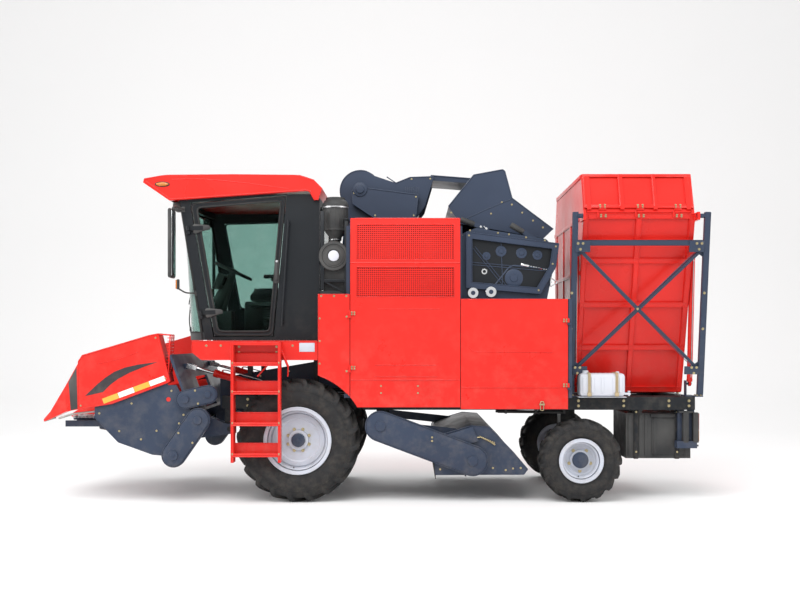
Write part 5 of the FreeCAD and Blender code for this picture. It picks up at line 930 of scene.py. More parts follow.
def make_wheel_trim():
    """Rolled rim edges, pressed rings, wheel bolts, hub caps and valves."""
    for axle, seat, disc, hub_r, circle, count, half in (
        ("front", 0.308, 0.028, 0.069, 0.111, 8, 0.138), ("rear", 0.195, 0.01, 0.079, 0.11, 5, 0.114)
    ):
        for side, outer in SIDES.items():
            node = f"{axle}_rim_{side}"
            low, high, hub = span(node)
            edge = (high.z - low.z) / 2
            hub.y = (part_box(f"{axle}_tyre_{side}")[0].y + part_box(f"{axle}_tyre_{side}")[1].y) / 2
            body = f"{axle}_wheel_{side}"
            lip = Work()
            for face in (-1, 1):
                y = face * (half + 0.006)
                lip.turned([(y + 0.0065 * math.cos(a), edge - 0.0075 + 0.0065 * math.sin(a)) for a in
                            around(12)], hub, LEFT, 96)
            for reach, r0, tall in ((0.66, seat - 0.018, 0.012), (0.4, seat - 0.022, 0.014)):
                y = outer * half * reach
                lip.turned([(y - outer * 0.016, r0), (y - outer * 0.01, r0 - tall),
                            (y + outer * 0.01, r0 - tall), (y + outer * 0.016, r0)],
                           hub, LEFT, 96)
            y = outer * disc
            dish = [(y + outer * 0.008, seat * 0.86), (y + outer * 0.02, seat * 0.835),
                    (y + outer * 0.02, seat * 0.7),
                    (y + outer * 0.006, seat * 0.63), (y + outer * 0.004, seat * 0.64),
                    (y + outer * 0.004, seat * 0.86)]
            lip.turned(dish, hub, LEFT, 96)
            lip.fit(f"{node}_pressings", body, "silver", 32)
            face = hub.y + outer * (disc + 0.012)
            places = [
                ((hub.x + circle * math.sin(t), face, hub.z + circle * math.cos(t)), (0, outer, 0))
                for t in (math.tau * (k + 0.5) / count for k in range(count))
            ]
            bolted(f"{node}_bolts", places, body, "wheel")
            cap = Work()
            shape = [(0.066, 0.0), (0.066, hub_r * 0.84), (0.0625, hub_r * 0.97), (0.058, hub_r),
                     (0.0385, hub_r),
                     (0.0385, hub_r - 0.012), (0.0385, 0.0)]
            cap.turned([(outer * (disc + reach), r) for reach, r in shape], hub, LEFT, 48)
            shape = [(0.0655, 0.0), (0.0655, 0.024), (0.0705, 0.021), (0.0705, 0.0)]
            cap.turned([(outer * (disc + reach), r) for reach, r in shape], hub, LEFT, 32)
            cap.fit(f"{node}_hub", body, "slate", 40)
            valve = Work()
            r = seat - 0.03
            at = Vector((hub.x + 0.15 * r, hub.y + outer * half * 0.52, hub.z - r * 0.985))
            valve.rod(at, at + Vector((0, outer * 0.034, 0.01)), 0.004, sides=10)
            valve.rod(at + Vector((0, outer * 0.022, 0.0065)), at + Vector((0, outer * 0.036, 0.0106)),
                      0.0058, sides=10)
            valve.fit(f"{node}_valve", body, "plastic")


# ---------------------------------------------------------------- cab


def sight(x, z, y=0.0):
    """A point given by its place along the machine and its height, then its side."""
    return Vector((x, y, z))


def screen_point(y, z, out=0.0):
    """A point on the windscreen's outer face, at a side and a height."""
    share = (z - 1.59) / 1.45
    nose, foot, half = 0.29 - 0.208 * share, 1.695 + 0.263 * share, 0.798
    radius = (half * half + nose * nose) / (2 * nose)
    return Vector((foot + nose - radius + math.sqrt(radius * radius - y * y) - 0.012 + out, y, z))


DOOR_PANE = ((1.053, 1.675), (1.566, 1.675), (1.778, 2.908), (0.938, 2.976))
DOOR_EDGE = ((1.018, 1.63), (1.604, 1.63), (1.836, 2.95), (0.892, 3.024))
SIDE_PANE = ((0.66, 1.95), (1.62, 1.95), (1.8, 2.93), (0.66, 2.96))


def make_cab_seals():
    """Rubber seals round the panes, hinge covers, the door's lock and the windscreen wiper."""
    seal = Work().pipe([sight(x, z, 0.8005) for x, z in DOOR_PANE], 0.01, 10, 0.05, closed=True)
    seal.pipe([sight(x + (0.008 if x < 1.2 else -0.008), z + (0.008 if z < 2 else -0.008), 0.801) for x,
               z in DOOR_EDGE],
              0.006, 8, 0.06, closed=True)
    seal.fit("cab_door_seal", "cab_door", "seal")
    rest = Work().pipe([sight(x, z, -0.7995) for x, z in SIDE_PANE], 0.01, 10, 0.05, closed=True)
    rest.pipe([Vector((0.5575, y, z)) for y, z in ((-0.65, 1.9), (0.65, 1.9), (0.65, 2.93), (-0.65, 2.93))],
              0.01, 10, 0.05, closed=True)
    line = [screen_point(-0.74 + 0.0925 * i, 1.667, 0.004) for i in range(17)]
    line += [screen_point(0.74 - 0.0925 * i, 2.978, 0.004) for i in range(17)]
    rest.pipe(line, 0.011, 10, closed=True)
    for y in (-0.755, 0.755):
        rest.pipe([screen_point(y, 1.6 + 0.07 * i, 0.004) for i in range(21)], 0.016, 10)
    rest.fit("cab_seals", "chassis", "seal")
    covers = Work()
    for hx, hz in ((1.722, 1.862), (1.846, 2.698)):
        covers.prism([sight(x, z, 0.8015) for x, z in (
            (hx - 0.205, hz - 0.008), (hx - 0.205, hz + 0.02), (hx - 0.185, hz + 0.034),
            (hx - 0.05, hz + 0.046),
            (hx - 0.03, hz + 0.034), (hx - 0.038, hz - 0.046), (hx - 0.062, hz - 0.052),
            (hx - 0.12, hz - 0.03))],
            (0, 0.018, 0), 0.006)
    covers.block((0.955, 0.801, 2.155), (1.004, 0.812, 2.385), 0.004)
    covers.block((0.966, 0.842, 2.185), (0.994, 0.85, 2.355), 0.0035)
    covers.fit("cab_door_fittings", "cab_door", "plastic")
    lock = Work().turned([(0.0, 0.0), (0.0, 0.013), (0.006, 0.012), (0.006, 0.0)], (0.98, 0.812, 2.372),
                         LEFT, 20)
    lock.block((0.9785, 0.8175, 2.367), (0.9815, 0.8195, 2.377))
    lock.fit("cab_door_lock", "cab_door", "chrome")
    wiper = Work()
    foot = screen_point(0.1, 1.7, 0.0)
    wiper.turned([(0.0, 0.0), (0.0, 0.034), (0.02, 0.03), (0.03, 0.016), (0.03, 0.0)], foot, AHEAD, 24)
    arm = [foot + Vector((0.024, 0, 0)), screen_point(0.06, 1.8, 0.04), screen_point(-0.1, 2.18, 0.03)]
    wiper.pipe(arm, 0.0065, 8, 0.05)
    wiper.pipe([screen_point(0.13 - 0.055 * i, 1.97 + 0.048 * i, 0.024) for i in range(10)], 0.0055, 8)
    wiper.pipe([screen_point(0.14 - 0.06 * i, 1.95 + 0.052 * i, 0.008) for i in range(10)], 0.0075, 6)
    wiper.fit("cab_wiper", "chassis", "plastic")


def make_cab_lamps():
    """Marker lamps on the roof's sides, work lamps under the visor and the stalk indicators."""
    lens, base, glass, shell = Work(), Work(), Work(), Work()
    for side in SIDES.values():
        middle = Vector((2.108, side * 0.85, 3.132))
        base.prism([middle + Vector((0.074 * math.cos(a), 0, 0.026 * math.sin(a))) for a in around(28)],
                   (0, side * 0.006, 0), 0.0015)
        one = Work().turned([(0.0, 0.0), (0.0, 0.02), (0.008, 0.018), (0.013, 0.011), (0.015, 0.0)],
                            (0, 0, 0), (0, side, 0), 32)
        lens.also(one, Matrix.Translation((2.108, side * 0.855, 3.132)) @ Matrix.Diagonal((3.2, 1, 1, 1)))
        one.bm.free()
        lamp = Vector((1.995, side * 0.7, 2.925))
        shell.block(lamp + Vector((-0.05, -0.075, -0.045)), lamp + Vector((0.022, 0.075, 0.045)), 0.012)
        shell.rod(lamp + Vector((-0.02, 0, 0.04)), lamp + Vector((-0.02, 0, 0.06)), 0.011, sides=16)
        glass.block(lamp + Vector((0.02, -0.066, -0.037)), lamp + Vector((0.029, 0.066, 0.037)), 0.004)
        stalk = Vector((1.782, side * 0.79, 2.055))
        shell.pipe([stalk, stalk + Vector((0.1, side * 0.05, 0.002)),
                    stalk + Vector((0.165, side * 0.072, 0.045))], 0.0075, 10, 0.03)
        shell.block(stalk + Vector((0.155, side * 0.072 - 0.02, 0.035)),
                    stalk + Vector((0.176, side * 0.072 + 0.02, 0.135)), 0.005)
        lens.block(stalk + Vector((0.174, side * 0.072 - 0.017, 0.04)),
                   stalk + Vector((0.19, side * 0.072 + 0.017, 0.13)), 0.006)
        shell.block((1.755, side * 0.77 - 0.022, 2.03), (1.8, side * 0.77 + 0.022, 2.08), 0.006)
    base.fit("marker_lamp_bases", "chassis", "seal")
    shell.fit("lamp_shells", "chassis", "plastic")
    lens.fit("amber_lamps", "chassis", "amber", slot="black_plastic")
    glass.fit("work_lamp_lenses", "chassis", "clear")


def make_mirrors():
    """Rounded mirror cases on bent arms, each with its glass facing the driver."""
    cases, faces = Work(), Work()
    for side in SIDES.values():
        out = side * 1.15
        ys = sorted((out, out - side * 0.19))
        cases.block((1.947, ys[0], 2.19), (1.985, ys[1], 2.86), 0.018)
        cases.pipe([(1.905, side * 0.8, 2.888), (1.95, side * 0.96, 2.897), (1.965, side * 1.01, 2.88),
                    (1.965, side * 1.01, 2.79)],
                   0.0125, 14, 0.05)
        cases.block((1.895, side * 0.797 - 0.022, 2.862), (1.925, side * 0.797 + 0.01, 2.916), 0.005)
        cases.rod((1.965, side * 1.01, 2.868), (1.965, side * 1.01, 2.842), 0.021, sides=20, edge=0.004)
        faces.block((1.9445, ys[0] + 0.014, 2.21), (1.9485, ys[1] - 0.014, 2.84), 0.0015)
    piece = cases.fit("mirror_cases", "chassis", "plastic", 40)
    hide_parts("mirrors")
    faces.fit("mirror_faces", "chassis", "mirror")


def swollen(form):
    """The form with its cover blown up by its filling, no point further than the cap."""
    scene = bpy.context.scene
    case = bpy.data.objects.new("cushion_case", form)
    scene.collection.objects.link(case)
    even = case.modifiers.new("Even mesh", "REMESH")
    even.mode, even.voxel_size = "VOXEL", 0.008
    start = bpy.data.meshes.new_from_object(case.evaluated_get(bpy.context.evaluated_depsgraph_get()))
    case.modifiers.remove(even)
    case.data = start
    cover = case.modifiers.new("Cover", "CLOTH")
    cover.settings.use_pressure = True
    cover.settings.uniform_pressure_force = 4.0
    cover.settings.effector_weights.gravity = 0.0
    cover.point_cache.frame_start, cover.point_cache.frame_end = 1, SWELL_STEPS
    for frame in range(1, SWELL_STEPS + 1):
        scene.frame_set(frame)
    full = bpy.data.meshes.new_from_object(case.evaluated_get(bpy.context.evaluated_depsgraph_get()))
    for before, after in zip(start.vertices, full.vertices):
        move = after.co - before.co
        if move.length > SWELL_CAP:
            after.co = before.co + move.normalized() * SWELL_CAP
    scene.frame_set(1)
    bpy.data.objects.remove(case)
    bpy.data.meshes.remove(start)
    bpy.data.meshes.remove(form)
    return full


def stuffed(name, size, place, crown, bolster, seams):
    """A foam cushion with side bolsters: its cover swells, and then its seams are sewn in."""
    bm = bmesh.new()
    bmesh.ops.create_cube(bm, size=2)
    bmesh.ops.subdivide_edges(bm, edges=list(bm.edges), cuts=21, use_grid_fill=True)
    for vert in bm.verts:
        u, v, w = vert.co
        soft = (1 - abs(u) ** 7) * (1 - abs(v) ** 7)
        round_u = 0.965 - 0.1 * abs(v) ** 5 - 0.06 * abs(w) ** 3
        round_v = 0.965 - 0.08 * abs(u) ** 5 - 0.06 * abs(w) ** 3
        lift = crown * soft + bolster * soft * math.exp(-((abs(v) - 0.76) / 0.13) ** 2)
        vert.co = Vector((u * size[0] / 2 * round_u, v * size[1] / 2 * round_v,
                          w * size[2] / 2 * (0.7 + 0.22 * max(soft, 0)) + lift * max(0, w)))
    bmesh.ops.recalc_face_normals(bm, faces=list(bm.faces))
    form = bpy.data.meshes.new(name + "_form")
    bm.to_mesh(form)
    bm.free()
    mesh = swollen(form)
    for vert in mesh.vertices:
        u, v = vert.co.x * 2 / size[0], vert.co.y * 2 / size[1]
        if vert.co.z > size[2] * 0.1:
            soft = max(0.0, 1 - abs(u) ** 7) * max(0.0, 1 - abs(v) ** 7)
            dip = sum(0.01 * math.exp(-((abs(v) - line) / 0.03) ** 2) for line in seams)
            vert.co.z -= soft * (dip + 0.006 * max(0.0, math.cos(u * 11.0)) ** 10 * (abs(v) < 0.58))
    mesh.name = name
    mesh.transform(place)
    piece = fitted(name, mesh, "chassis", FINISH["cloth"], 80)
    return piece


def make_cab_inside():
    """The driver's seat on its sprung base, the steering wheel's grip, console, levers and pedals."""
    lean = Matrix.Rotation(math.radians(-100.5), 4, "Y")
    squab = stuffed("seat_squab", (0.48, 0.49, 0.105), Matrix.Translation((1.135, 0, 2.045)), 0.012, 0.028,
                    (0.56,))
    stuffed("seat_backrest", (0.56, 0.47, 0.095), Matrix.Translation((0.868, 0, 2.375)) @ lean, 0.012, 0.026,
            (0.55,))
    stuffed("seat_headrest", (0.12, 0.26, 0.075), Matrix.Translation((0.808, 0, 2.675)) @ lean, 0.01, 0.0,
            ())
    base = Work()
    base.block((0.93, -0.17, CAB_FLOOR), (1.23, 0.17, 1.65), 0.006)
    for i in range(8):
        base.block((0.95 - 0.006 * (i % 2), -0.152 - 0.006 * (i % 2), 1.652 + 0.036 * i),
                   (1.21 + 0.006 * (i % 2), 0.152 + 0.006 * (i % 2), 1.688 + 0.036 * i), 0.008)
    base.block((0.9, -0.225, 1.945), (1.36, 0.225, 1.985), 0.01)
    base.block((0.862, -0.2, 1.985), (0.905, 0.2, 2.07), 0.01)
    for y in (-0.075, 0.075):
        base.rod((0.822, y, 2.6), (0.808, y, 2.66), 0.006, sides=12)
    for y in (-0.275, 0.275):
        base.block((0.87, y - 0.028, 2.235), (1.19, y + 0.028, 2.275), 0.014)
        base.block((0.88, y - 0.014, 2.05), (0.92, y + 0.014, 2.245), 0.006)
    base.fit("seat_base", "chassis", "plastic")
    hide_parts("driver_seat")
    top, axis = Vector((1.56, 0, 2.33)), Vector((-0.42, 0, 0.907)).normalized()
    grip = Work()
    grip.turned([(0.017 * math.sin(a), 0.205 + 0.017 * math.cos(a)) for a in around(14)], top, axis, 56)
    grip.turned([(-0.02, 0.0), (-0.02, 0.04), (0.01, 0.058), (0.022, 0.05), (0.03, 0.0)], top, axis, 32)
    grip.turned([(-0.45, 0.03), (-0.45, 0.062), (-0.4, 0.074)]
                + [(-0.38 + 0.03 * i, 0.068 - 0.002 * i + 0.005 * (i % 2)) for i in range(9)]
                + [(-0.1, 0.046), (-0.05, 0.04), (-0.05, 0.03)], top, axis, 32)
    grip.block((1.64, -0.165, 2.13), (1.725, 0.165, 2.3), 0.022, Matrix.Rotation(math.radians(-22), 4,
        "Y"))
    grip.pipe([(1.605, 0.04, 2.245), (1.59, 0.15, 2.275), (1.58, 0.2, 2.285)], 0.006, 8, 0.02)
    grip.block((0.96, -0.56, CAB_FLOOR), (1.5, -0.36, 2.02), 0.022)
    grip.block((1.02, -0.545, 2.018), (1.42, -0.375, 2.036), 0.008)
    for i in range(4):
        x = 1.11 + 0.085 * i
        grip.rod((x, -0.46, 2.03), (x + 0.022, -0.46, 2.13), 0.006, sides=10)
        grip.turned([(-0.022, 0.0), (-0.018, 0.012), (0.0, 0.02), (0.02, 0.015), (0.028, 0.0)],
                    (x + 0.026, -0.46, 2.145), UP, 18)
    for y in (-0.14, 0.14, 0.24):
        grip.block((1.78, y - 0.035, 1.7), (1.795, y + 0.035, 1.79), 0.004,
                   Matrix.Rotation(math.radians(-32), 4, "Y"))
        grip.rod((1.77, y, 1.745), (1.8, y, 1.625), 0.007, sides=8)
    grip.fit("cab_controls", "chassis", "plastic")
    mat = Work().block((0.62, -0.62, CAB_FLOOR), (1.66, 0.62, 1.6265), 0.002)
    ribs = Work().block((0.66, -0.6, 1.6265), (1.64, -0.592, 1.6295))
    rows = row_of("cab_mat_ribs", ribs, 36, (0, 0.034, 0))
    mat.take(rows)
    mat.fit("cab_floor_mat", "chassis", "seal")
    face = Work().block((1.628, -0.13, 2.17), (1.634, 0.13, 2.262), 0.002,
                        Matrix.Rotation(math.radians(-22), 4, "Y"))
    face.fit("instrument_face", "chassis", "clear")


def make_roof_trim():
    """A pressed line along each side of the roof, its fixings, and the seam above the doors."""
    trim = Work()
    for side in SIDES.values():
        line = [sight(2.02, 3.178, side * ROOF_SIDE), sight(1.73, 3.187, side * ROOF_SIDE),
                sight(1.32, 3.15, side * ROOF_SIDE),
                sight(0.86, 3.086, side * ROOF_SIDE)]
        trim.pipe(line, 0.0055, 8, 0.35)
        trim.pipe([sight(2.27, 3.163, side * ROOF_SIDE), sight(2.03, 2.982, side * ROOF_SIDE),
                   sight(0.655, 3.077, side * ROOF_SIDE),
                   sight(0.606, 2.986, side * ROOF_SIDE)], 0.0065, 8, 0.04)
        trim.pipe([sight(0.605, 3.17, side * ROOF_SIDE), sight(0.748, 3.22, side * 0.846),
                   sight(1.4, 3.226, side * 0.846),
                   sight(2.085, 3.22, side * 0.846), sight(2.287, 3.183, side * ROOF_SIDE)], 0.0075, 8, 0.06)
    trim.fit("roof_pressings", "chassis", "red")
    places = [((x, side * y, 3.2295), (0, 0, 1)) for side in SIDES.values() for x,
              y in ((1.745, 0.7), (0.82, 0.7), (1.28, 0.7))]
    bolted("roof_fixings", places, "chassis", "roof", "red")


# ---------------------------------------------------------------- body doors and panels


def make_engine_doors(looks):
    """Perforated sheets, black sheets behind them that paint shade into the holes, pressed lines, hinge bolts
    and seals of the engine doors.
    """
    pitch = looks.hardware.hole_pitch
    for side, sign in SIDES.items():
        body = f"engine_door_{side}"
        lean = Vector((0, -sign * 0.0268, 0.345)).normalized()
        sheets = [
            perforated(f"{body}_low", (-0.3, sign * 1.0105, 2.155), 0.946, 0.286, (-sign, 0, 0), (0, 0, 1),
                       pitch, 0.002),
            perforated(f"{body}_high", (-0.3, sign * 0.9955, 2.5475), 0.946, 0.341, (-sign, 0, 0), lean,
                       pitch, 0.002),
        ]
        merged(sheets).fit(f"{body}_perforations", body, "red")
        # black sheets just behind the perforated sheets: painted shade that makes the holes read dark
        hole_shade = Work()
        hole_shade.block((-0.774, sign * 0.9932, 2.012), (0.174, sign * 0.9965, 2.298), 0.001)
        hole_shade.prism([(-0.774, sign * (1.0124 - 0.0115), 2.38), (0.174, sign * (1.0124 - 0.0115), 2.38),
                      (0.174, sign * (0.9862 - 0.0115), 2.714),
                      (-0.774, sign * (0.9862 - 0.0115), 2.714)], (0, -sign * 0.0025, 0))
        hole_shade.fit(f"{body}_hole_shade_sheet", body, "seal")
        press = Work()
        y = sign * DOOR_FACE
        for x0, x1, z in ((-0.64, -0.03, 1.89), (-0.6, 0.0, 1.345), (-0.615, 0.01, 1.235)):
            press.pipe([(x0, y, z), (x1, y, z)], 0.0045, 8)
        press.pipe([(-0.83, y, 1.2), (0.234, y, 1.2)], 0.0055, 8)
        for z in (2.0085, 2.3015):
            press.pipe([(-0.777, y, z), (0.177, y, z)], 0.0045, 8)
        press.pipe([(-0.777, sign * 1.0127, 2.3735), (0.177, sign * 1.0127, 2.3735)], 0.0045, 8)
        press.pipe([(-0.828, sign * 1.014, 2.341), (0.232, sign * 1.014, 2.341)], 0.0075, 8)
        press.pipe([(-0.828, sign * 0.98, 2.7765), (0.19, sign * 0.98, 2.7765)], 0.0065, 8)
        press.pipe([(-0.777, sign * 0.9858, 2.719), (0.177, sign * 0.9858, 2.719)], 0.0045, 8)
        for x in (-0.7765, 0.1765):
            press.pipe([(x, y, 2.01), (x, y, 2.3)], 0.0035, 8)
            press.pipe([(x, sign * 1.0124, 2.376), (x, sign * 0.986, 2.719)], 0.0035, 8)
        press.fit(f"{body}_pressings", body, "red")
        places = [((x, y, z), (0, sign, 0)) for x in (-0.062, -0.422) for z in (1.142, 1.074)]
        places += [((x, sign * 1.021, z + d), (0, sign, 0)) for z in (1.32, 1.85) for d in (-0.01, 0.01)
                   for x in (0.222, 0.196)]
        bolted(f"{body}_bolts", places, body, "door")
        seal = Work()
        inside = sign * 0.9835
        seal.pipe([(-0.82, inside, 1.02), (-0.82, inside, 2.32)], 0.008, 8)
        seal.pipe([(-0.8, inside, 1.99), (-0.8, inside, 2.32), (-0.8, sign * 0.953, 2.755)], 0.005, 8,
                  0.02)
        seal.fit(f"{body}_seal", body, "seal")


def make_husker_doors():
    """Pressed lines, wire latch, hinge bolts and handle of the rear doors."""
    for side, sign in SIDES.items():
        body, y = f"husker_door_{side}", sign * DOOR_FACE
        press = Work()
        press.pipe([(-1.735, y, 1.47), (-0.955, y, 1.478), (-0.925, y, 1.52)], 0.005, 8, 0.02)
        press.pipe([(-1.82, y, 1.128), (-0.85, y, 1.128)], 0.0055, 8)
        press.pipe([(-1.82, sign * 1.0143, 1.986), (-0.85, sign * 1.0143, 1.986)], 0.005, 8)
        press.fit(f"{body}_pressings", body, "red")
        latch = Work()
        latch.pipe([(-1.644, sign * 1.022, 0.905), (-1.644, sign * 1.022, 0.99), (-1.614, sign * 1.022,
            0.99), (-1.614, sign * 1.022, 0.905)],
                   0.0042, 8, 0.012, closed=True)
        latch.block((-1.655, y, 0.955), (-1.603, sign * 1.03, 0.972), 0.002)
        latch.fit(f"{body}_latch", body, "zinc")
        places = [((x, sign * 1.021, z + d), (0, sign, 0)) for z in (1.15, 1.78) for d in (-0.01, 0.01)
                  for x in (-1.868, -1.842)]
        bolted(f"{body}_bolts", places, body, "door")


def make_side_panels():
    """Rivets, hinge bolts and edging of the narrow panels, and a bare plate on the platform's board."""
    edging, places = Work(), []
    for sign in SIDES.values():
        y = sign * DOOR_FACE
        places += [((0.271, sign * 1.0365, z - 0.033), (0, sign, 0)) for z in (1.32, 1.85)]
        places += [((x, y, 2.018), (0, sign, 0)) for x in (0.275, 0.395, 0.52)]
        places += [((0.536, y, z), (0, sign, 0)) for z in (1.36, 1.58, 1.8)]
        turn = [math.radians(a) for a in range(109, 139, 3)]
        arc = [(AXLE_X + 0.674 * math.cos(a), y, AXLE_Z + 0.674 * math.sin(a)) for a in turn]
        arc = [p for p in arc if 0.248 < p[0] < 0.545]
        edging.pipe(arc, 0.0065, 8)
        edging.pipe([(0.547, y, 1.36), (0.547, y, 2.034), (0.25, y, 2.034)], 0.0045, 8, 0.01)
    bolted("panel_fixings", places, "chassis", "panel")
    edging.fit("panel_edging", "chassis", "red")
    plate = Work()
    plate.block((0.585, 1.0, 1.475), (0.735, 1.0018, 1.562), 0.0008)
    plate.fit("bare_plate", "chassis", "silver")
    rivets = [((x, 1.0018, z), (0, 1, 0)) for x in (0.592, 0.728) for z in (1.482, 1.555)]
    bolted("bare_plate_rivets", rivets, "chassis", "rivet", "steel")


def make_air_cleaner():
    """The intake bowl with its ribbed lid and cone, the cleaner's end cap, clamps and pipework."""
    axis = (0.4, 0.76, 0.0)
    bowl = Work()
    bowl.turned([(2.58, 0.0), (2.58, 0.058), (2.615, 0.064), (2.69, 0.118), (2.7, 0.1245),
                 (2.905, 0.1245),
                 (2.912, 0.131), (2.935, 0.1315), (2.948, 0.126), (2.975, 0.112), (2.997, 0.08),
                 (3.008, 0.04), (3.01, 0.0)], axis, UP, 56)
    rib = Work().block((-0.004, 0.118, 2.715), (0.004, 0.1275, 2.898), 0.0015)
    ribs = Work()
    for k in range(18):
        ribs.also(rib, Matrix.Translation(axis) @ Matrix.Rotation(math.tau * k / 18, 4, "Z"))
    rib.bm.free()
    bowl.also(ribs)
    ribs.bm.free()
    bowl.fit("intake_bowl", "chassis", "plastic", 35)
    band = Work()
    for z, r in ((2.908, 0.1325), (2.592, 0.0605)):
        band.turned([(z - 0.007, r - 0.006), (z - 0.007, r), (z + 0.007, r), (z + 0.007, r - 0.006)], axis,
                    UP, 48)
    for z, r in ((2.908, 0.134), (2.592, 0.062)):
        band.rod((0.4 - 0.02, 0.76 + r, z), (0.4 + 0.02, 0.76 + r, z), 0.0045, sides=10)
    centre = (CLEANER_X, 0.0, CLEANER_Z)
    for y in (0.56, 0.835):
        band.turned([(y - 0.009, 0.134), (y - 0.009, 0.1405), (y + 0.009, 0.1405), (y + 0.009, 0.134)],
                    centre, LEFT, 56)
        band.rod((CLEANER_X - 0.143, y, 2.395), (CLEANER_X - 0.143, y, 2.44), 0.005, sides=10)
    for k in range(3):
        turn = math.tau * (k / 3 + 0.08)
        spot = Vector((CLEANER_X + 0.136 * math.cos(turn), 0.878, CLEANER_Z + 0.136 * math.sin(turn)))
        band.block(spot - Vector((0.01, 0.022, 0.01)), spot + Vector((0.01, 0.022, 0.01)), 0.003)
    band.fit("cleaner_clamps", "chassis", "steel")
    cap = Work().turned([(0.889, 0.0), (0.889, 0.138), (0.896, 0.146), (0.914, 0.147), (0.922, 0.141),
                         (0.924, 0.118), (0.918, 0.112),
                         (0.918, 0.1), (0.93, 0.094), (0.934, 0.066), (0.928, 0.06), (0.928, 0.0)],
                         centre, LEFT, 64)
    cap.fit("cleaner_end_cap", "chassis", "plastic", 30)
    hub = Work().turned([(0.926, 0.0), (0.926, 0.054), (0.936, 0.052), (0.939, 0.044), (0.94, 0.0)], centre,
                        LEFT, 40)
    hub.fit("cleaner_service_cap", "chassis", "can", 30)
    stay = Work()
    stay.block((0.262, 0.88, 1.99), (0.3, 0.915, 2.78), 0.004)
    stay.block((0.5, 0.88, 2.08), (0.536, 0.915, 2.86), 0.004)
    stay.block((0.262, 0.882, 2.16), (0.536, 0.913, 2.19), 0.003)
    stay.pipe([(0.3, 0.9, 2.06), (0.5, 0.9, 2.168)], 0.012, 4)
    stay.block((0.262, 0.7, 2.76), (0.3, 0.915, 2.79), 0.003)
    for z in (2.3, 2.54):
        stay.block((0.262, 0.7, z - 0.012), (0.3, 0.9, z + 0.012), 0.003)
    stay.fit("cleaner_stays", "chassis", "black")
    duct = Work()
    rings = [(0.0, 0.0), (0.0, 0.055)]
    for i in range(11):
        rings += [(0.012 + 0.016 * i, 0.055 + (0.007 if i % 2 else 0.0))]
    rings += [(0.2, 0.055), (0.2, 0.0)]
    duct.turned(rings, (CLEANER_X, 0.36, CLEANER_Z), LEFT, 32)
    duct.fit("cleaner_bellows", "chassis", "seal", 50)


# ---------------------------------------------------------------- platform and ladder


def make_ladder():
    """The ladder's rolled edges, ribs, bolts and latch, and the platform's lips, grips and strips."""
    edges = Work()
    for z in (0.479, 0.777, 1.081, 1.355):
        edges.pipe([(0.905, TREAD_EDGE, z + 0.012), (1.372, TREAD_EDGE, z + 0.012)], 0.0085, 10)
        edges.pipe([(0.905, TREAD_EDGE, z - 0.01), (1.372, TREAD_EDGE, z - 0.01)], 0.006, 8)
        for i in range(4):
            edges.block((0.93, 1.05 + 0.022 * i, z + 0.0128), (1.346, 1.055 + 0.022 * i, z + 0.0165))
        edges.pipe([(0.925, 1.0335, z + 0.108), (1.352, 1.0335, z + 0.108)], 0.005, 8)
    for x in (0.903, 1.374):
        edges.pipe([(x, LADDER_EDGE, 0.409), (x, LADDER_EDGE, 1.571)], 0.0052, 8)
    edges.pipe([(0.905, LADDER_EDGE, 1.567), (1.372, LADDER_EDGE, 1.567)], 0.0055, 8)
    edges.pipe([(0.842, 1.022, 1.33), (0.842, 1.022, 1.25), (0.842, 1.052, 1.238)], 0.0065, 8, 0.02)
    edges.pipe([(1.0, 1.02, 1.39), (1.14, 1.02, 1.235)], 0.0085, 8)
    edges.fit("ladder_edges", "chassis", "red")
    places = [((x, 1.0105, z), (0, 1, 0)) for x in (0.955, 1.32) for z in (1.47, 1.525)]
    places += [((x, 1.1405, z), (0, 1, 0)) for x in (0.914, 1.363) for z in (0.492, 0.79, 1.094, 1.368)]
    bolted("ladder_bolts", places, "chassis", "ladder")
    deck = Work()
    for side in SIDES.values():
        y = side * 1.0
        deck.pipe([(0.56, y, 1.5785), (1.7, y, 1.5785), (1.781, y, 1.5785)], 0.0055, 8)
        deck.pipe([(0.56, y, 1.3985), (1.688, y, 1.3985), (1.779, y, 1.472), (1.779, y, 1.545)], 0.0055, 8,
                  0.01)
    deck.fit("platform_lips", "chassis", "red")
    strip = Work().block((1.59, -0.77, 1.5806), (1.606, 0.77, 1.5898), 0.001)
    for side in SIDES.values():
        strip.block((0.575, side * 0.772, 1.5806), (1.62, side * 0.796, 1.5898), 0.001)
    strip.fit("cab_floor_strips", "chassis", "seal")
    tread = Work()
    for side in SIDES.values():
        for row in range(7):
            bars = row_of("deck_grip", Work().block((0.575 + 0.02 * (row % 2), side * (0.83 + 0.022 * row),
                1.5802),
                                                    (0.6 + 0.02 * (row % 2), side * (0.83 + 0.022 * row)
                                                        + 0.004, 1.5838)),
                          28, (0.04, 0, 0))
            tread.take(bars)
    tread.fit("platform_grips", "chassis", "red")
    places = [((x, side * 1.0002, 1.535), (0, side, 0)) for side in (1, -1) for x in (0.8, 1.5, 1.64)]
    bolted("platform_bolts", places, "chassis", "deck")


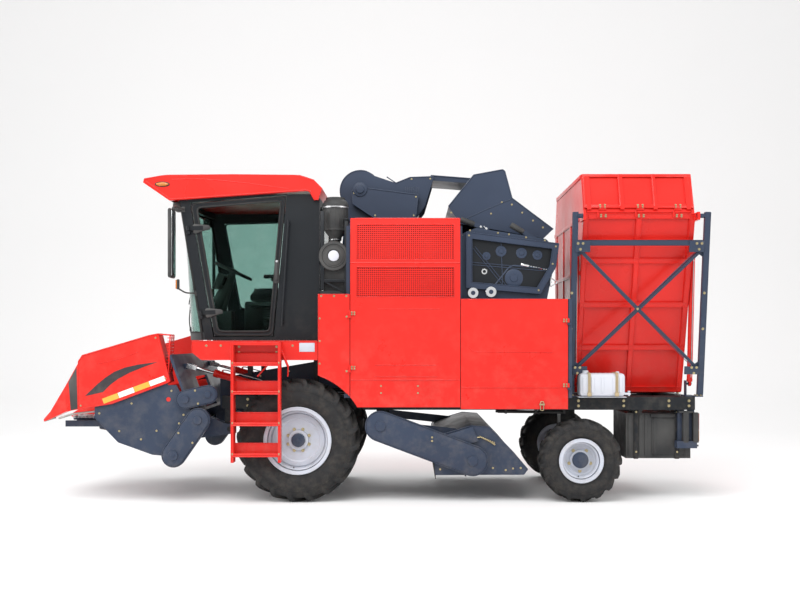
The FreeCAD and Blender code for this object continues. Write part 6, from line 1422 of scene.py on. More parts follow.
def make_chassis_fittings():
    """Frame bolts, the pipes along the rails with their clips, and the loom under the sill."""
    places = []
    for side in SIDES.values():
        out = side * 0.8002
        places += [((x, out, z), (0, side, 0)) for x in (-0.3, -0.62, -1.12, -1.5, -2.02, -2.47, -2.92,
            -3.12) for z in (0.935, 0.985)]
        places += [((x, side * 0.6202, z), (0, side, 0)) for x in (0.35, 0.62, 0.98, 1.3)
                   for z in (0.925, 0.99)]
    bolted("frame_bolts", places, "chassis", "frame")
    lines = Work()
    for side in SIDES.values():
        lines.pipe([(1.45, side * FRAME_LINES, 1.0), (0.4, side * FRAME_LINES, 1.0),
                    (-0.3, side * FRAME_LINES, 1.0),
                    (-1.9, side * FRAME_LINES, 1.0), (-2.9, side * FRAME_LINES, 0.985)], 0.0055, 8, 0.05)
        lines.pipe([(1.4, side * FRAME_LINES, 0.975), (-1.9, side * FRAME_LINES, 0.975),
                    (-2.2, side * FRAME_LINES, 0.96)], 0.0045, 8, 0.05)
        for i in range(9):
            x = 1.35 - 0.5 * i
            lines.block((x - 0.012, side * 0.54, 0.962), (x + 0.012, side * 0.5515, 1.012), 0.002)
    lines.fit("frame_lines", "chassis", "steel")
    trunk = Work()
    trunk.pipe([(-1.2, 0.745, 0.88), (-1.55, 0.745, 0.872), (-1.92, 0.745, 0.878)], 0.016, 12, 0.05)
    trunk.pipe([(-1.22, 0.77, 0.872), (-1.9, 0.77, 0.866)], 0.011, 10)
    for x in (-1.3, -1.6, -1.88):
        trunk.block((x - 0.012, 0.73, 0.856), (x + 0.012, 0.792, 0.897), 0.003)
    trunk.fit("sill_loom", "chassis", "seal")


# ---------------------------------------------------------------- header


def make_header_covers():
    """The side covers' bands, strips, edges and bolts, the slats and flaps, and the snouts' seams."""
    edges, band, tape, yellow, slats, flap = Work(), Work(), Work(), Work(), Work(), Work()
    for side in SIDES.values():
        y = side * 1.0
        edges.pipe([(2.885, y, 1.383), (2.851, y, 1.437), (2.2, y, 1.632), (2.116, y, 1.648)], 0.007, 8,
                   0.01)
        edges.pipe([(2.112, y, 1.64), (1.999, y, 1.187)], 0.007, 8)
        edges.pipe([(2.0, y, 1.184), (2.561, y, 0.972), (2.885, y, 0.919)], 0.0065, 8)
        edges.pipe([(2.89, y, 0.925), (2.89, y, 1.375)], 0.0045, 8)
        edges.pipe([(2.3, y, 1.475), (2.46, y, 1.415), (2.62, y, 1.372), (2.7, y, 1.362)], 0.0045, 8, 0.1)
        low = [(2.823, 1.044), (2.755, 1.058), (2.648, 1.083), (2.58, 1.151), (2.502, 1.21), (2.385, 1.273),
               (2.239, 1.332), (2.112, 1.376)]
        high = [(2.19, 1.366), (2.307, 1.35), (2.434, 1.322), (2.541, 1.278), (2.628, 1.22),
                (2.706, 1.156)]
        for (x0, z0), (x1, z1), (x2, z2), (x3, z3) in zip(low, low[1:],
                ([low[0]] + high[::-1] + [low[-1]])[1:], [low[0]] + high[::-1]):
            band.prism([(x0, y, z0), (x1, y, z1), (x2, y, z2), (x3, y, z3)], (0, side * 0.0012, 0))
        width = 0.052
        a, b = Vector((2.64, y, 0.968)), Vector((2.035, y, 1.194))
        along = (b - a).normalized()
        up = Vector((along.z, 0, -along.x))
        for k in range(4):
            s, e = a.lerp(b, k / 4 + 0.002), a.lerp(b, (k + 1) / 4 - 0.002)
            (yellow if k % 2 == 0 else tape).prism([s, e, e + up * width, s + up * width],
                (0, side * 0.0014, 0))
        for i in range(11):
            x0, z0 = 2.03 - 0.002 * i, 1.3 + 0.031 * i
            slats.block((x0 - 0.016, side * 0.815, z0 - 0.004), (x0 + 0.016, side * 0.975, z0 + 0.004),
                        0.0015)
        for k in (0.818, 0.894, 0.972):
            slats.pipe([(2.018, side * k, 1.27), (2.0, side * k, 1.64)], 0.0065, 8)
        slats.pipe([(2.018, side * 0.818, 1.272), (2.018, side * 0.972, 1.272)], 0.0065, 8)
        slats.pipe([(2.0, side * 0.818, 1.638), (2.112, side * 0.818, 1.646)], 0.0065, 8)
        slats.pipe([(2.0, side * 0.972, 1.638), (2.112, side * 0.972, 1.646)], 0.0065, 8)
        slats.pipe([(2.0, side * 0.818, 1.638), (2.0, side * 0.972, 1.638)], 0.0065, 8)
        nose = [(2.965, 0.904), (2.988, 1.18), (2.908, 1.325), (2.897, 0.92)]
        flap.prism([(x, side * (1.0 - 0.1007 * (x - 2.88)), z) for x, z in nose], (0, side * 0.0014, 0))
    flap.fit("divider_flaps", "header", "plastic")
    edges.fit("cover_edges", "header", "red")
    band.fit("cover_bands", "header", "swoosh")
    tape.fit("hazard_strips_white", "header", "tape")
    yellow.fit("hazard_strips_amber", "header", "stripe")
    slats.fit("inlet_slats", "header", "red")
    places = []
    for side in SIDES.values():
        y = side * 1.0002
        places += facing(side, y, (
            (2.135, 1.612), (2.04, 1.215), (2.865, 0.95)))
    bolted("cover_bolts", places, "header", "cover")
    skids = Work()
    for side in SIDES.values():
        mid = side * 0.9043
        skids.rod((3.15, mid, 0.838), (3.2535, mid, 0.797), 0.022, 0.012, 18, 0.002)
        skids.pipe([(2.72, side * 0.955, 0.893), (2.95, side * 0.955, 0.868), (3.1, side * 0.935, 0.822)],
                   0.01, 8, 0.05)
    skids.fit("divider_wear_tips", "header", "worn")
    seams = Work()
    for y in (-0.3, 0.3):
        seams.pipe([(2.345, y, 1.013), (2.7, y, 1.0615), (3.0, y, 0.9365), (3.183, y, 0.819)], 0.006, 8,
                   0.06)
        for s in (-1, 1):
            seams.pipe([(2.335, y + s * 0.113, 1.008), (2.7, y + s * 0.113, 1.058), (2.998, y + s * 0.0765,
                0.933), (3.186, y + s * 0.013, 0.817)],
                       0.0055, 8, 0.06)
    seams.fit("snout_seams", "header", "red")
    places = [((2.46 + 0.24 * k, y + s * 0.1152, 0.845), (0, s, 0)) for y in (-0.3, 0.3) for s in (-1, 1)
              for k in range(2)]
    bolted("snout_bolts", places, "header", "panel")


def make_gathering_chains(looks):
    """Gathering chains with fingers on their sprockets, and ribs on the snapping rolls."""
    pitch = looks.hardware.link_pitch
    chains, wheels, fins = Work(), Work(), Work()
    link = Work()
    for y in (-0.0085, 0.0085):
        link.block((-0.0215, y - 0.0017, -0.0065), (0.0215, y + 0.0017, 0.0065), 0.0015)
    link.rod((0.0, -0.0125, 0), (0.0, 0.0125, 0), 0.0048, sides=8)
    for row in ROWS:
        for way in (1, -1):
            yc = row + 0.075 * way
            straight, radius = 0.78, 0.034
            count = round((2 * straight + math.tau * radius) / pitch)
            step = (2 * straight + math.tau * radius) / count
            for i in range(count):
                s = i * step
                if s < straight:
                    at, turn = Vector((CHAIN_REAR + s, yc + radius, 0.0)), 0.0
                elif s < straight + math.pi * radius:
                    a = (s - straight) / radius
                    at, turn = Vector((CHAIN_FRONT + radius * math.sin(a), yc + radius * math.cos(a),
                                       0.0)), -a
                elif s < 2 * straight + math.pi * radius:
                    at, turn = Vector((CHAIN_FRONT - (s - straight - math.pi * radius), yc - radius,
                                       0.0)), math.pi
                else:
                    a = (s - 2 * straight - math.pi * radius) / radius
                    at, turn = Vector((CHAIN_REAR - radius * math.sin(a), yc - radius * math.cos(a),
                                       0.0)), math.pi - a
                at.z = 0.8195
                roll = Matrix.Rotation(math.radians(90), 4, "X")
                chains.also(link, Matrix.Translation(at) @ Matrix.Rotation(turn, 4, "Z") @ roll)
                if i % 6 == 0:
                    finger = Work().prism([(-0.02, 0, 0), (0.02, 0, 0), (0.008, 0.05, 0),
                        (-0.012, 0.05, 0)], (0, 0, 0.006), 0.0015)
                    chains.also(finger, Matrix.Translation(at + Vector((0, 0, 0.0065)))
                                @ Matrix.Rotation(turn, 4, "Z"))
                    finger.bm.free()
            for x in (CHAIN_REAR, CHAIN_FRONT):
                wheels.turned([(0.8125, 0.0), (0.8125, 0.022), (0.822, 0.0225), (0.832, 0.014), (0.832, 0.0)],
                              (x, yc, 0.0), UP, 20)
            start, end = Vector((2.25, row + 0.046 * way, 0.6416)), Vector((2.775, row + 0.046 * way,
                0.7345))
            along = (end - start).normalized()
            turn = along.to_track_quat("X", "Z").to_matrix().to_4x4()
            for k in range(6):
                bar = Work().block((0.0, -0.005, 0.036), ((end - start).length, 0.005, 0.0475), 0.002)
                fins.also(bar, Matrix.Translation(start) @ turn
                          @ Matrix.Rotation(math.tau * (k + 0.5 * (way > 0)) / 6, 4, "X"))
                bar.bm.free()
    link.bm.free()
    chains.fit("gathering_chains", "header", "steel", 30)
    wheels.fit("chain_sprockets", "header", "iron")
    fins.fit("snapping_roll_bars", "header", "worn")


def make_header_sides():
    """Drive covers, bolts, gear cases' caps and the hydraulic pipes of the header."""
    cover, places = Work(), []
    for side in SIDES.values():
        for (ax, az), (bx, bz), radius, face, lift in (
            ((1.713, 0.812), (1.952, 0.469), 0.115, side * 1.0417, 0.012), ((1.62, 1.06), (1.84, 1.01),
                0.09, side * 1.0197, 0.01)
        ):
            a, b = Vector((ax, face, az)), Vector((bx, face, bz))
            along = (b - a).normalized()
            ring = stadium(a, b, radius * 0.9, 14)
            cover.prism(ring, (0, side * lift, 0), 0.006)
            outer = [p + (p - (a if (p - a).length < (p - b).length else b)).normalized() * radius * 0.085
                     for p in ring]
            cover.pipe([p - Vector((0, side * 0.001, 0)) for p in outer], 0.0045, 8, closed=True)
            for s in (-1, 1):
                places.append((a.lerp(b, 0.5) + Vector((-along.z, 0, along.x)) * s * radius * 0.72
                               + Vector((0, side * lift, 0)), (0, side, 0)))
            for end, cap in ((a, 0.36), (b, 0.42)):
                cover.turned([(0.0, 0.0), (0.0, radius * cap), (side * 0.014, radius * cap * 0.94),
                              (side * 0.018, 0.0)],
                             end + Vector((0, side * lift, 0)), LEFT, 32)
        cover.rod((1.952, side * 1.054, 0.469), (1.952, side * 1.074, 0.469), 0.02, sides=24, edge=0.003)
        cover.pipe([(2.74, side * HEADER_FACE, 0.84), (2.505, side * HEADER_FACE, 0.594),
                    (2.173, side * HEADER_FACE, 0.474), (1.956, side * HEADER_FACE, 0.454)], 0.0055, 8)
        cover.pipe([(1.804, side * HEADER_FACE, 0.765), (1.804, side * HEADER_FACE, 0.9),
                    (1.942, side * HEADER_FACE, 1.148)], 0.0055, 8)
        places += [(Vector((x, side * 0.9799, z)), (0, side, 0)) for x, z in (
            (2.69, 0.873), (2.496, 0.7), (2.283, 0.62), (2.131, 0.703), (1.911, 0.775), (1.868, 0.859),
            (1.985, 1.093), (2.375, 0.97))]
    cover.fit("header_drive_covers", "header", "slate")
    bolted("header_bolts", places, "header", "case")
    cases = Work()
    for row in ROWS:
        cases.turned([(0.0, 0.0), (0.0, 0.055), (0.01, 0.052), (0.014, 0.03), (0.016, 0.0)],
                     (2.2, row, 0.78), UP, 28)
        for way in (1, -1):
            cases.turned([(0.0, 0.0), (0.0, 0.05), (0.012, 0.046), (0.016, 0.02), (0.016, 0.0)],
                         (2.2595, row + 0.046 * way, 0.64), AHEAD, 28)
        for x in (2.15, 2.25):
            cases.pipe([(x, row - 0.1205, 0.5), (x, row - 0.1205, 0.772)], 0.004, 6)
    cases.fit("gear_case_caps", "header", "slate")
    pipes = Work()
    for y in (-0.3, -0.34):
        pipes.pipe([(1.85, y, 0.748), (1.86, y - 0.2, 0.748), (2.0, y - 0.22, 0.746),
                    (2.03, y - 0.26, 0.6)], 0.0065, 8, 0.04)
    pipes.fit("header_pipes", "header", "steel")


# ---------------------------------------------------------------- elevator, hood and husker


def edge_beads(work, outline, side_y, radius=0.006, closed=True):
    """A folded edge along an upright outline."""
    return work.pipe([(x, side_y, z) for x, z in outline], radius, 8, 0.006, closed=closed)


def make_elevator_skin():
    """Folded edges, bolts, louvres and the inspection cover of the elevator and its head."""
    skin, places = Work(), []
    drive = ((0.26, 3.131), (0.177, 3.173), (-0.43, 3.094), (-0.402, 2.857), (0.03, 2.857), (0.251, 3.002))
    edge_beads(skin, drive, 0.3895, 0.0065)
    for x, z in ((0.235, 3.112), (-0.405, 3.074), (-0.382, 2.88), (0.018, 2.88)):
        places.append(((x, 0.3902, z), (0, 1, 0)))
    duct = ((-0.02, 3.345), (-0.197, 3.231), (-0.343, 3.29), (-0.59, 3.299), (-0.496, 2.986),
            (-0.412, 2.875))
    for side in SIDES.values():
        y = side * 0.3002
        arc = [(0.174 + 0.213 * math.cos(a), 3.15 + 0.213 * math.sin(a)) for a in (math.radians(d)
            for d in range(-20, 116, 8))]
        edge_beads(skin, arc, y, 0.006, closed=False)
        edge_beads(skin, [(-0.1, 3.295)] + list(duct[1:]), y, 0.006, closed=False)
        edge_beads(skin, ((0.3185, 2.95), (0.455, 1.39), (1.635, 1.188)), y, 0.0055, closed=False)
        edge_beads(skin, ((0.0295, 2.93), (0.175, 1.11), (0.47, 1.092), (1.635, 0.894)), y, 0.0055,
                   closed=False)
        for t in range(5):
            z = 1.3 + 0.38 * t
            places.append(((0.3165 - 0.0725 * (z - 2.95) * 1.2 - 0.02, y, z), (0, side, 0)))
            places.append(((0.058 - 0.076 * (z - 2.93), y, z), (0, side, 0)))
        for t in range(4):
            x = 0.62 + 0.3 * t
            places.append(((x, y, 1.342 - 0.171 * (x - 0.47)), (0, side, 0)))
            places.append(((x, y, 1.082 - 0.171 * (x - 0.47)), (0, side, 0)))
        skin.block((0.11, y, 1.6), (0.33, y + side * 0.006, 2.02), 0.002)
        for x in (0.125, 0.315):
            for z in (1.62, 1.81, 2.0):
                places.append(((x, y + side * 0.006, z), (0, side, 0)))
        places += facing(side, y, ((-0.36, 3.272), (-0.555, 3.277)))
        skin.turned([(0.0, 0.0), (0.0, 0.075), (side * 0.012, 0.072), (side * 0.016, 0.045),
                     (side * 0.03, 0.04), (side * 0.034, 0.0)],
                    (0.174, y if side < 0 else 0.39, 3.15), LEFT, 36)
        for k in range(8):
            skin.block((-0.3 - 0.02 * k, y, 3.02), (-0.292 - 0.02 * k, y + side * 0.004, 3.19), 0.001)
    skin.fit("elevator_edges", "chassis", "slate")
    bolted("elevator_bolts", places, "chassis", "plate")


def make_husker_guards(looks):
    """Guard rods, black sheets that paint the shade inside the windows, discs, latches and bolts on the
    husker's sides, and the hood's edges.
    """
    wire = looks.hardware.wire
    rods, discs, bright, grips, window_shade, places = Work(), Work(), Work(), Work(), Work(), []
    window = ((-0.958, 2.162), (-0.958, 2.588), (-1.748, 2.488), (-1.722, 2.322), (-1.6, 2.108))
    hood = ((-0.733, 2.943), (-0.989, 3.262), (-1.282, 3.316), (-1.304, 3.299), (-1.377, 3.027),
            (-1.795, 2.713))
    for side in SIDES.values():
        face = side * 0.8595
        for a, b in (((-0.985, 2.515), (-1.3, 2.124)), ((-0.965, 2.5), (-1.27, 2.12)),
                     ((-0.958, 2.358), (-1.715, 2.292)),
                     ((-0.958, 2.335), (-1.712, 2.27)), ((-1.245, 2.556), (-1.26, 2.118))):
            rods.pipe([(a[0], face, a[1]), (b[0], face, b[1])], wire, 8)
        for x, z, radius in ((-1.244, 2.468, 0.055), (-1.447, 2.45, 0.055), (-1.605, 2.43, 0.05),
                             (-1.372, 2.202, 0.092), (-1.1, 2.42, 0.042)):
            discs.turned([(0.0, 0.0), (0.0, radius), (side * 0.01, radius * 0.98),
                          (side * 0.013, radius * 0.9), (side * 0.013, radius * 0.42),
                          (side * 0.02, radius * 0.38), (side * 0.022, 0.0)], (x, side * 0.85, z), LEFT,
                          36)
        discs.pipe([(-1.18, side * 0.853, 2.128), (-1.34, side * 0.853, 2.33), (-1.56, side * 0.853,
            2.31)], 0.009, 8, 0.05)
        bright.turned([(0.0, 0.016), (0.0, 0.028), (side * 0.016, 0.028), (side * 0.016, 0.016)],
                      (-1.079, side * 0.85, 2.267), LEFT, 28)
        bright.rod((-1.44, face, 2.338), (-1.52, face, 2.322), 0.014, sides=16, edge=0.002)
        for k in range(7):
            x = -1.535 - 0.025 * k
            bright.rod((x, face - side * 0.006, 2.319 - 0.2 * (-1.535 - x)), (x - 0.016, face - side * 0.006,
                2.315 - 0.2 * (-1.535 - x)), 0.0075, sides=10)
        corner = ((-1.735, 2.205), (-1.805, 2.16), (-1.73, 2.115))
        bright.pipe([(x, side * 0.862, z) for x, z in corner], 0.0055, 8, 0.014, closed=True)
        bright.rod((-1.738, side * 0.848, 2.16), (-1.738, side * 0.868, 2.16), 0.01, sides=14)
        # a black sheet filling each window outline: painted shade where the opening would look dark inside
        window_shade.prism([(x, side * 0.8548, z) for x, z in window], (0, side * 0.0018, 0))
        out = side * 0.8955
        edge_beads(rods, ((-0.9, 2.107), (-0.9, 2.655), (-1.81, 2.539), (-1.779, 2.309),
                          (-1.629, 2.046)), out, 0.0055)
        edge_beads(rods, ((-0.955, 2.158), (-0.955, 2.592), (-1.75, 2.492), (-1.724, 2.321),
                          (-1.597, 2.104)), out, 0.0045)
        places += facing(side, side * 0.8952, ((-0.925, 2.62), (-1.782, 2.512), (-1.612, 2.08),
            (-1.75, 2.34)))
        places += facing(side, side * HUSKER_FACE, ((-0.855, 2.628), (-0.938, 2.675), (-1.215, 2.65),
            (-1.324, 2.636), (-1.493, 2.606),
                     (-1.68, 2.576)))
        for x, z in ((-0.965, 2.053), (-1.142, 2.063)):
            bright.turned([(0.0, 0.02), (0.0, 0.051), (side * 0.005, 0.052), (side * 0.009, 0.046),
                           (side * 0.016, 0.046), (side * 0.02, 0.052),
                           (side * 0.025, 0.051), (side * 0.025, 0.02)], (x, side * 0.896, z), LEFT, 40)
            discs.turned([(0.0, 0.0), (0.0, 0.024), (side * 0.032, 0.022), (side * 0.034, 0.0)],
                         (x, side * 0.896, z), LEFT, 24)
        for a, b in (((-0.86, 2.79), (-1.13, 2.69)), ((-1.36, 2.735), (-1.65, 2.56))):
            start, end = Vector((a[0], side * 0.76, a[1])), Vector((b[0], side * 0.76, b[1]))
            along = (end - start).normalized()
            grips.rod(start - along * 0.012, start + along * 0.135, 0.0295, 0.0275, 24, 0.006)
            for k in range(5):
                grips.turned([(-0.003, 0.026), (-0.003, 0.0315), (0.003, 0.0315), (0.003, 0.026)],
                             start + along * (0.012 + 0.024 * k), along, 24)
            bright.rod(end - along * 0.085 + Vector((0, side * 0.024, 0)),
                       end - along * 0.085 - Vector((0, side * 0.024, 0)), 0.011, sides=16)
            bright.rod(end - along * 0.028 + Vector((0, side * 0.026, 0)),
                       end - along * 0.028 - Vector((0, side * 0.026, 0)), 0.013, sides=16)
            bright.pipe([end - along * 0.055 + Vector((0, side * 0.022, 0.018)), end + along * 0.012
                         + Vector((0, side * 0.022, -0.05)),
                         end + along * 0.004 + Vector((0, side * 0.022, -0.125))], 0.0065, 8, 0.02)
        y = side * 0.6202
        edge_beads(rods, hood, y, 0.006, closed=False)
        places += facing(side, y, ((-1.275, 2.985), (-1.375, 2.962), (-1.48, 2.88), (-1.59, 2.8),
                                   (-1.69, 2.73),
                     (-1.165, 2.87), (-0.76, 2.88)))
        rods.pipe([(-0.87, y, 2.8), (-1.1, y, 2.905), (-1.372, y, 3.02)], 0.0045, 8)
    top = Work().pipe([(-0.56, 0.262, 3.316), (-1.02, 0.262, 3.281)], 0.007, 8)
    top.pipe([(-0.56, -0.262, 3.316), (-1.02, -0.262, 3.281)], 0.007, 8)
    rods.also(top)
    top.bm.free()
    window_shade.fit("husker_window_shade_sheets", "chassis", "black")
    rods.fit("guard_rods", "chassis", "slate")
    discs.fit("husker_discs", "chassis", "slate", 30)
    bright.fit("husker_fittings", "chassis", "chrome", 30)
    grips.fit("latch_grips", "chassis", "plastic", 40)
    bolted("husker_bolts", places, "chassis", "plate")


def make_husker_rollers():
    """The ribbed peeling rollers that lie in the husker, and the presser stars over them."""
    rollers, stars = Work(), Work()
    for i in range(8):
        y = -0.7 + 0.2 * i
        start, end = Vector((-0.96, y, 2.3)), Vector((-1.64, y, 2.13))
        rollers.rod(start, end, 0.04, sides=20)
        along = (end - start).normalized()
        turn = along.to_track_quat("X", "Z").to_matrix().to_4x4()
        for k in range(5):
            bar = Work().block((0.01, -0.004, 0.037), ((end - start).length - 0.01, 0.004, 0.047), 0.0015)
            rollers.also(bar, Matrix.Translation(start) @ turn
                         @ Matrix.Rotation(math.tau * (k + 0.5 * (i % 2)) / 5, 4, "X"))
            bar.bm.free()
    for x, z in ((-1.12, 2.47), (-1.42, 2.4)):
        stars.rod((x, -0.815, z), (x, 0.815, z), 0.016, sides=16)
        for k in range(14):
            y = -0.75 + 0.115 * k
            for spoke in range(6):
                a = math.tau * spoke / 6 + 0.3 * k
                tip = Vector((x + 0.085 * math.cos(a), y, z + 0.085 * math.sin(a)))
                stars.rod((x, y, z), tip, 0.01, 0.007, 8)
    rollers.fit("peeling_rollers", "chassis", "worn")
    stars.fit("presser_stars", "chassis", "seal")


# ---------------------------------------------------------------- bin


def wall_side(z):
    """How far out the bin's sloping wall stands at a height."""
    return 0.45 + 0.51 * (z - 1.05) / 1.78


def flap_side(z):
    """How far out the flap's face stands at a height."""
    return 0.957 - 0.135 * (z - 2.838) / 0.397


def post_side(z):
    """How far out the bin stand's posts are at a height."""
    return 0.775 + 0.27 * (z - 1.0253) / 1.8047


def make_bin_flap():
    """The flap's framed edge, cross rail, rolled top and hinge plates with their bolts."""
    frame, places = Work(), []
    x0, x1, z0, z1 = -3.122, -2.05, 2.884, 3.2345
    for a, b in ((x0, x0 + 0.034), (x1 - 0.034, x1)):
        frame.prism([(a, flap_side(z0) + 0.001, z0), (a, flap_side(z0) + 0.02, z0),
                     (a, flap_side(z1) + 0.02, z1), (a, flap_side(z1) + 0.001, z1)],
                    (b - a, 0, 0), 0.003)
    for low, high in ((z0, z0 + 0.034), (z1 - 0.03, z1)):
        frame.prism([(x0, flap_side(low) + 0.001, low), (x0, flap_side(low) + 0.021, low),
                     (x0, flap_side(high) + 0.021, high),
                     (x0, flap_side(high) + 0.001, high)], (x1 - x0, 0, 0), 0.003)
    for x in (-2.738, -2.404):
        frame.pipe([(x, flap_side(2.9) + 0.019, 2.9), (x, flap_side(3.22) + 0.019, 3.22)], 0.008, 8)
    for k in range(3):
        a, b = x0 + 0.05 + 0.357 * k, x0 + 0.05 + 0.357 * k + 0.29
        frame.pipe([(a, flap_side(3.195) + 0.0005, 3.195), (b, flap_side(3.195) + 0.0005, 3.195)], 0.0035, 6)
    for x in FLAP_HINGES:
        frame.prism([(x - 0.05, flap_side(2.862), 2.862), (x - 0.05, flap_side(2.862) + 0.008, 2.862),
                     (x - 0.05, flap_side(2.925) + 0.026, 2.925), (x - 0.05, flap_side(2.925) + 0.018,
                         2.925)], (0.074, 0, 0), 0.0015)
        for dx in (-0.036, 0.01):
            for z in (2.89, 2.912):
                places.append(((x + dx, flap_side(z) + 0.0235 - 0.3 * (2.912 - z), z), (0, 0.947, 0.322)))
    frame.fit("flap_frame", "bin_flap", "red")
    bolted("flap_bolts", places, "bin_flap", "hinge")


def make_bin_walls():
    """Folded rails, weld lines, corner angles, hinge plates and bolts of the bin."""
    folds, places = Work(), []
    rails = [1.06 + 1.715 * n / 4 for n in range(5)]
    for z in rails:
        for edge in (0.003, 0.047):
            folds.pipe([(-3.129, wall_side(z + edge) + 0.025, z + edge),
                        (-2.043, wall_side(z + edge) + 0.025, z + edge)], 0.0042, 8)
    for x in (-3.128, -3.083, -2.609, -2.563, -2.09, -2.044):
        folds.pipe([(x, wall_side(1.062) + 0.025, 1.062), (x, wall_side(2.824) + 0.025, 2.824)], 0.0042, 8)
    for x in (-3.126, -2.046):
        folds.prism([(x - 0.004, wall_side(1.052), 1.052), (x - 0.004, wall_side(1.052) + 0.005, 1.052),
                     (x - 0.004, 0.965, 2.829), (x - 0.004, 0.96, 2.829)], (0.008, 0, 0))
    for x in (-3.1305, -2.0415):
        for y in (-0.8, -0.3, 0.2):
            folds.block((x - 0.009, y - 0.022, 1.1), (x + 0.009, y + 0.022, 2.8), 0.003)
        for z in (1.08, 1.7, 2.26, 2.8):
            folds.block((x - 0.0085, -0.955, z - 0.02), (x + 0.0085, wall_side(z) - 0.01, z + 0.02), 0.003)
        folds.block((x - 0.007, -0.815, 3.19), (x + 0.007, 0.79, 3.232), 0.003)
    for z in (1.3, 1.8, 2.3, 2.78):
        folds.block((-3.125, -0.972, z - 0.02), (-2.047, -0.959, z + 0.02), 0.003)
    for x in (-3.1, -2.586, -2.07):
        folds.block((x - 0.02, -0.9725, 1.06), (x + 0.02, -0.959, 2.825), 0.003)
    for x in FLAP_HINGES:
        folds.prism([(x - 0.056, 0.958, 2.785), (x - 0.056, 0.979, 2.785), (x - 0.056, 0.984, 2.826),
                     (x - 0.056, 0.962, 2.826)], (0.08, 0, 0), 0.002)
        for dx in (-0.04, 0.006):
            for z in (2.797, 2.815):
                places.append(((x + dx, 0.9805 + 0.12 * (z - 2.797), z), (0, 0.99, -0.1)))
    folds.fit("bin_folds", "bin", "red")
    bolted("bin_hinge_bolts", places, "bin", "hinge")


def make_bin_stand():
    """Gusset plates, angle flanges, crossing bolts and feet of the bin's stand."""
    stand, places = Work(), []
    for x, way, shift in ((-1.947, -1, 0.0005), (-3.209, 1, -0.021)):
        for z, tall in ((2.5, 0.11), (1.29, 0.08)):
            a, b = sorted((x + way * 0.004, x + way * 0.15))
            low, high = z - tall / 2, z + tall / 2
            lift = 0.03
            stand.prism([(a, post_side(low) + lift, low), (b, post_side(low) + lift, low),
                         (b, post_side(high) + lift, high),
                         (a, post_side(high) + lift, high)], (0, 0.006, 0), 0.0015)
            for dx, dz in ((0.03, 0.028), (0.078, 0.028), (0.054, -0.028)):
                places.append(((x + way * dx, post_side(z + dz) + lift + 0.0065, z + dz), STAND_LEAN))
        for z in (1.7, 2.05):
            places.append(((x - way * 0.018, post_side(z) + 0.0285, z), STAND_LEAN))
        for dx in (-0.026, 0.026):
            edge = x + dx + shift
            stand.pipe([(edge, post_side(1.045) + 0.027, 1.045), (edge, post_side(2.826) + 0.027, 2.826)],
                       0.0035, 6)
    for z0, z1 in ((2.5, 1.29), (1.29, 2.5)):
        a = Vector((-1.966, post_side(z0) + 0.0155, z0))
        b = Vector((-3.195, post_side(z1) + 0.0155, z1))
        along = (b - a).normalized()
        up = along.cross(Vector((0, 1, 0))).normalized()
        for s in (-1, 1):
            stand.pipe([a + along * 0.05 + up * s * 0.0145, b - along * 0.05 + up * s * 0.0145], 0.0038, 6)
    places.append(((-2.5805, post_side(1.895) + 0.0165, 1.895), STAND_LEAN))
    for s in (-0.0235, 0.0235):
        stand.pipe([(-1.97, post_side(2.536) + 0.0255, 2.536 + s), (-3.19, post_side(2.536) + 0.0255,
            2.536 + s)], 0.004, 6)
    for x in (-1.945, -3.215):
        for dx in (-0.018, 0.018):
            for dy in (-0.036, 0.036):
                places.append(((x + dx, 0.775 + dy, 1.0376), (0, 0, 1)))
    for x, thick, crown in ((-1.962, 0.006, 0.008), (-3.2545, 0.0, 0.0005)):
        stand.turned([(0.0, 0.0), (0.0, 0.03), (thick, 0.028), (crown, 0.0)], (x, 1.045, 2.795), AHEAD, 24)
    stand.fit("stand_plates", "chassis", "slate")
    bolted("stand_bolts", places, "chassis", "stand")


def make_cylinders():
    """Collars, ports and pipes of the tipping and lift cylinders."""
    for foot, eye, half, bodies, name, reach in (
        ([Vector((x, 0.65, 1.15)) for x in (-2.008, -3.166)], [Vector((x, 0.765, 2.56))
            for x in (-2.008, -3.166)], 0.028,
         ("tip_barrels", "tip_rods"), "tip", (0.02, 1.335)),
        ([Vector((1.07, y, 1.095)) for y in (0.585, -0.585)], [Vector((1.9, y, 1.325))
            for y in (0.585, -0.585)], 0.036,
         ("lift_barrels", "lift_rods"), "lift", (0.056, 0.6)),
    ):
        tube, ends = Work(), Work()
        for a, b in zip(foot, eye):
            along = (b - a).normalized()
            tip = a + along * reach[1]
            tube.turned([(-0.05, half - 0.002), (-0.05, half + 0.0045), (-0.006, half + 0.0045),
                         (-0.001, half + 0.001),
                         (-0.001, half - 0.002)], tip, along, 32)
            tube.turned([(0.004, half - 0.004), (0.004, half + 0.003), (0.016, half + 0.003),
                         (0.018, half - 0.004)], a + along * (reach[0] + 0.01), along, 32)
            out = along.cross(LEFT).normalized() if name == "lift" else LEFT
            for s in (0.045, reach[1] - reach[0] - 0.08):
                spot = a + along * (reach[0] + s)
                tube.rod(spot + out * (half - 0.004), spot + out * (half + 0.016), 0.0095, sides=6)
            ends.pipe([a + along * s + out * (half + r) for s, r in (
                (reach[0] + 0.045, 0.016), (reach[0] + 0.075, 0.024), (reach[1] - 0.11, 0.024),
                (reach[1] - 0.08, 0.016))], 0.0055, 8, 0.02)
        tube.fit(f"{name}_cylinder_collars", bodies[0], "red")
        ends.fit(f"{name}_cylinder_pipes", bodies[0], "steel")


# ---------------------------------------------------------------- chopper, tanks, engine and axles


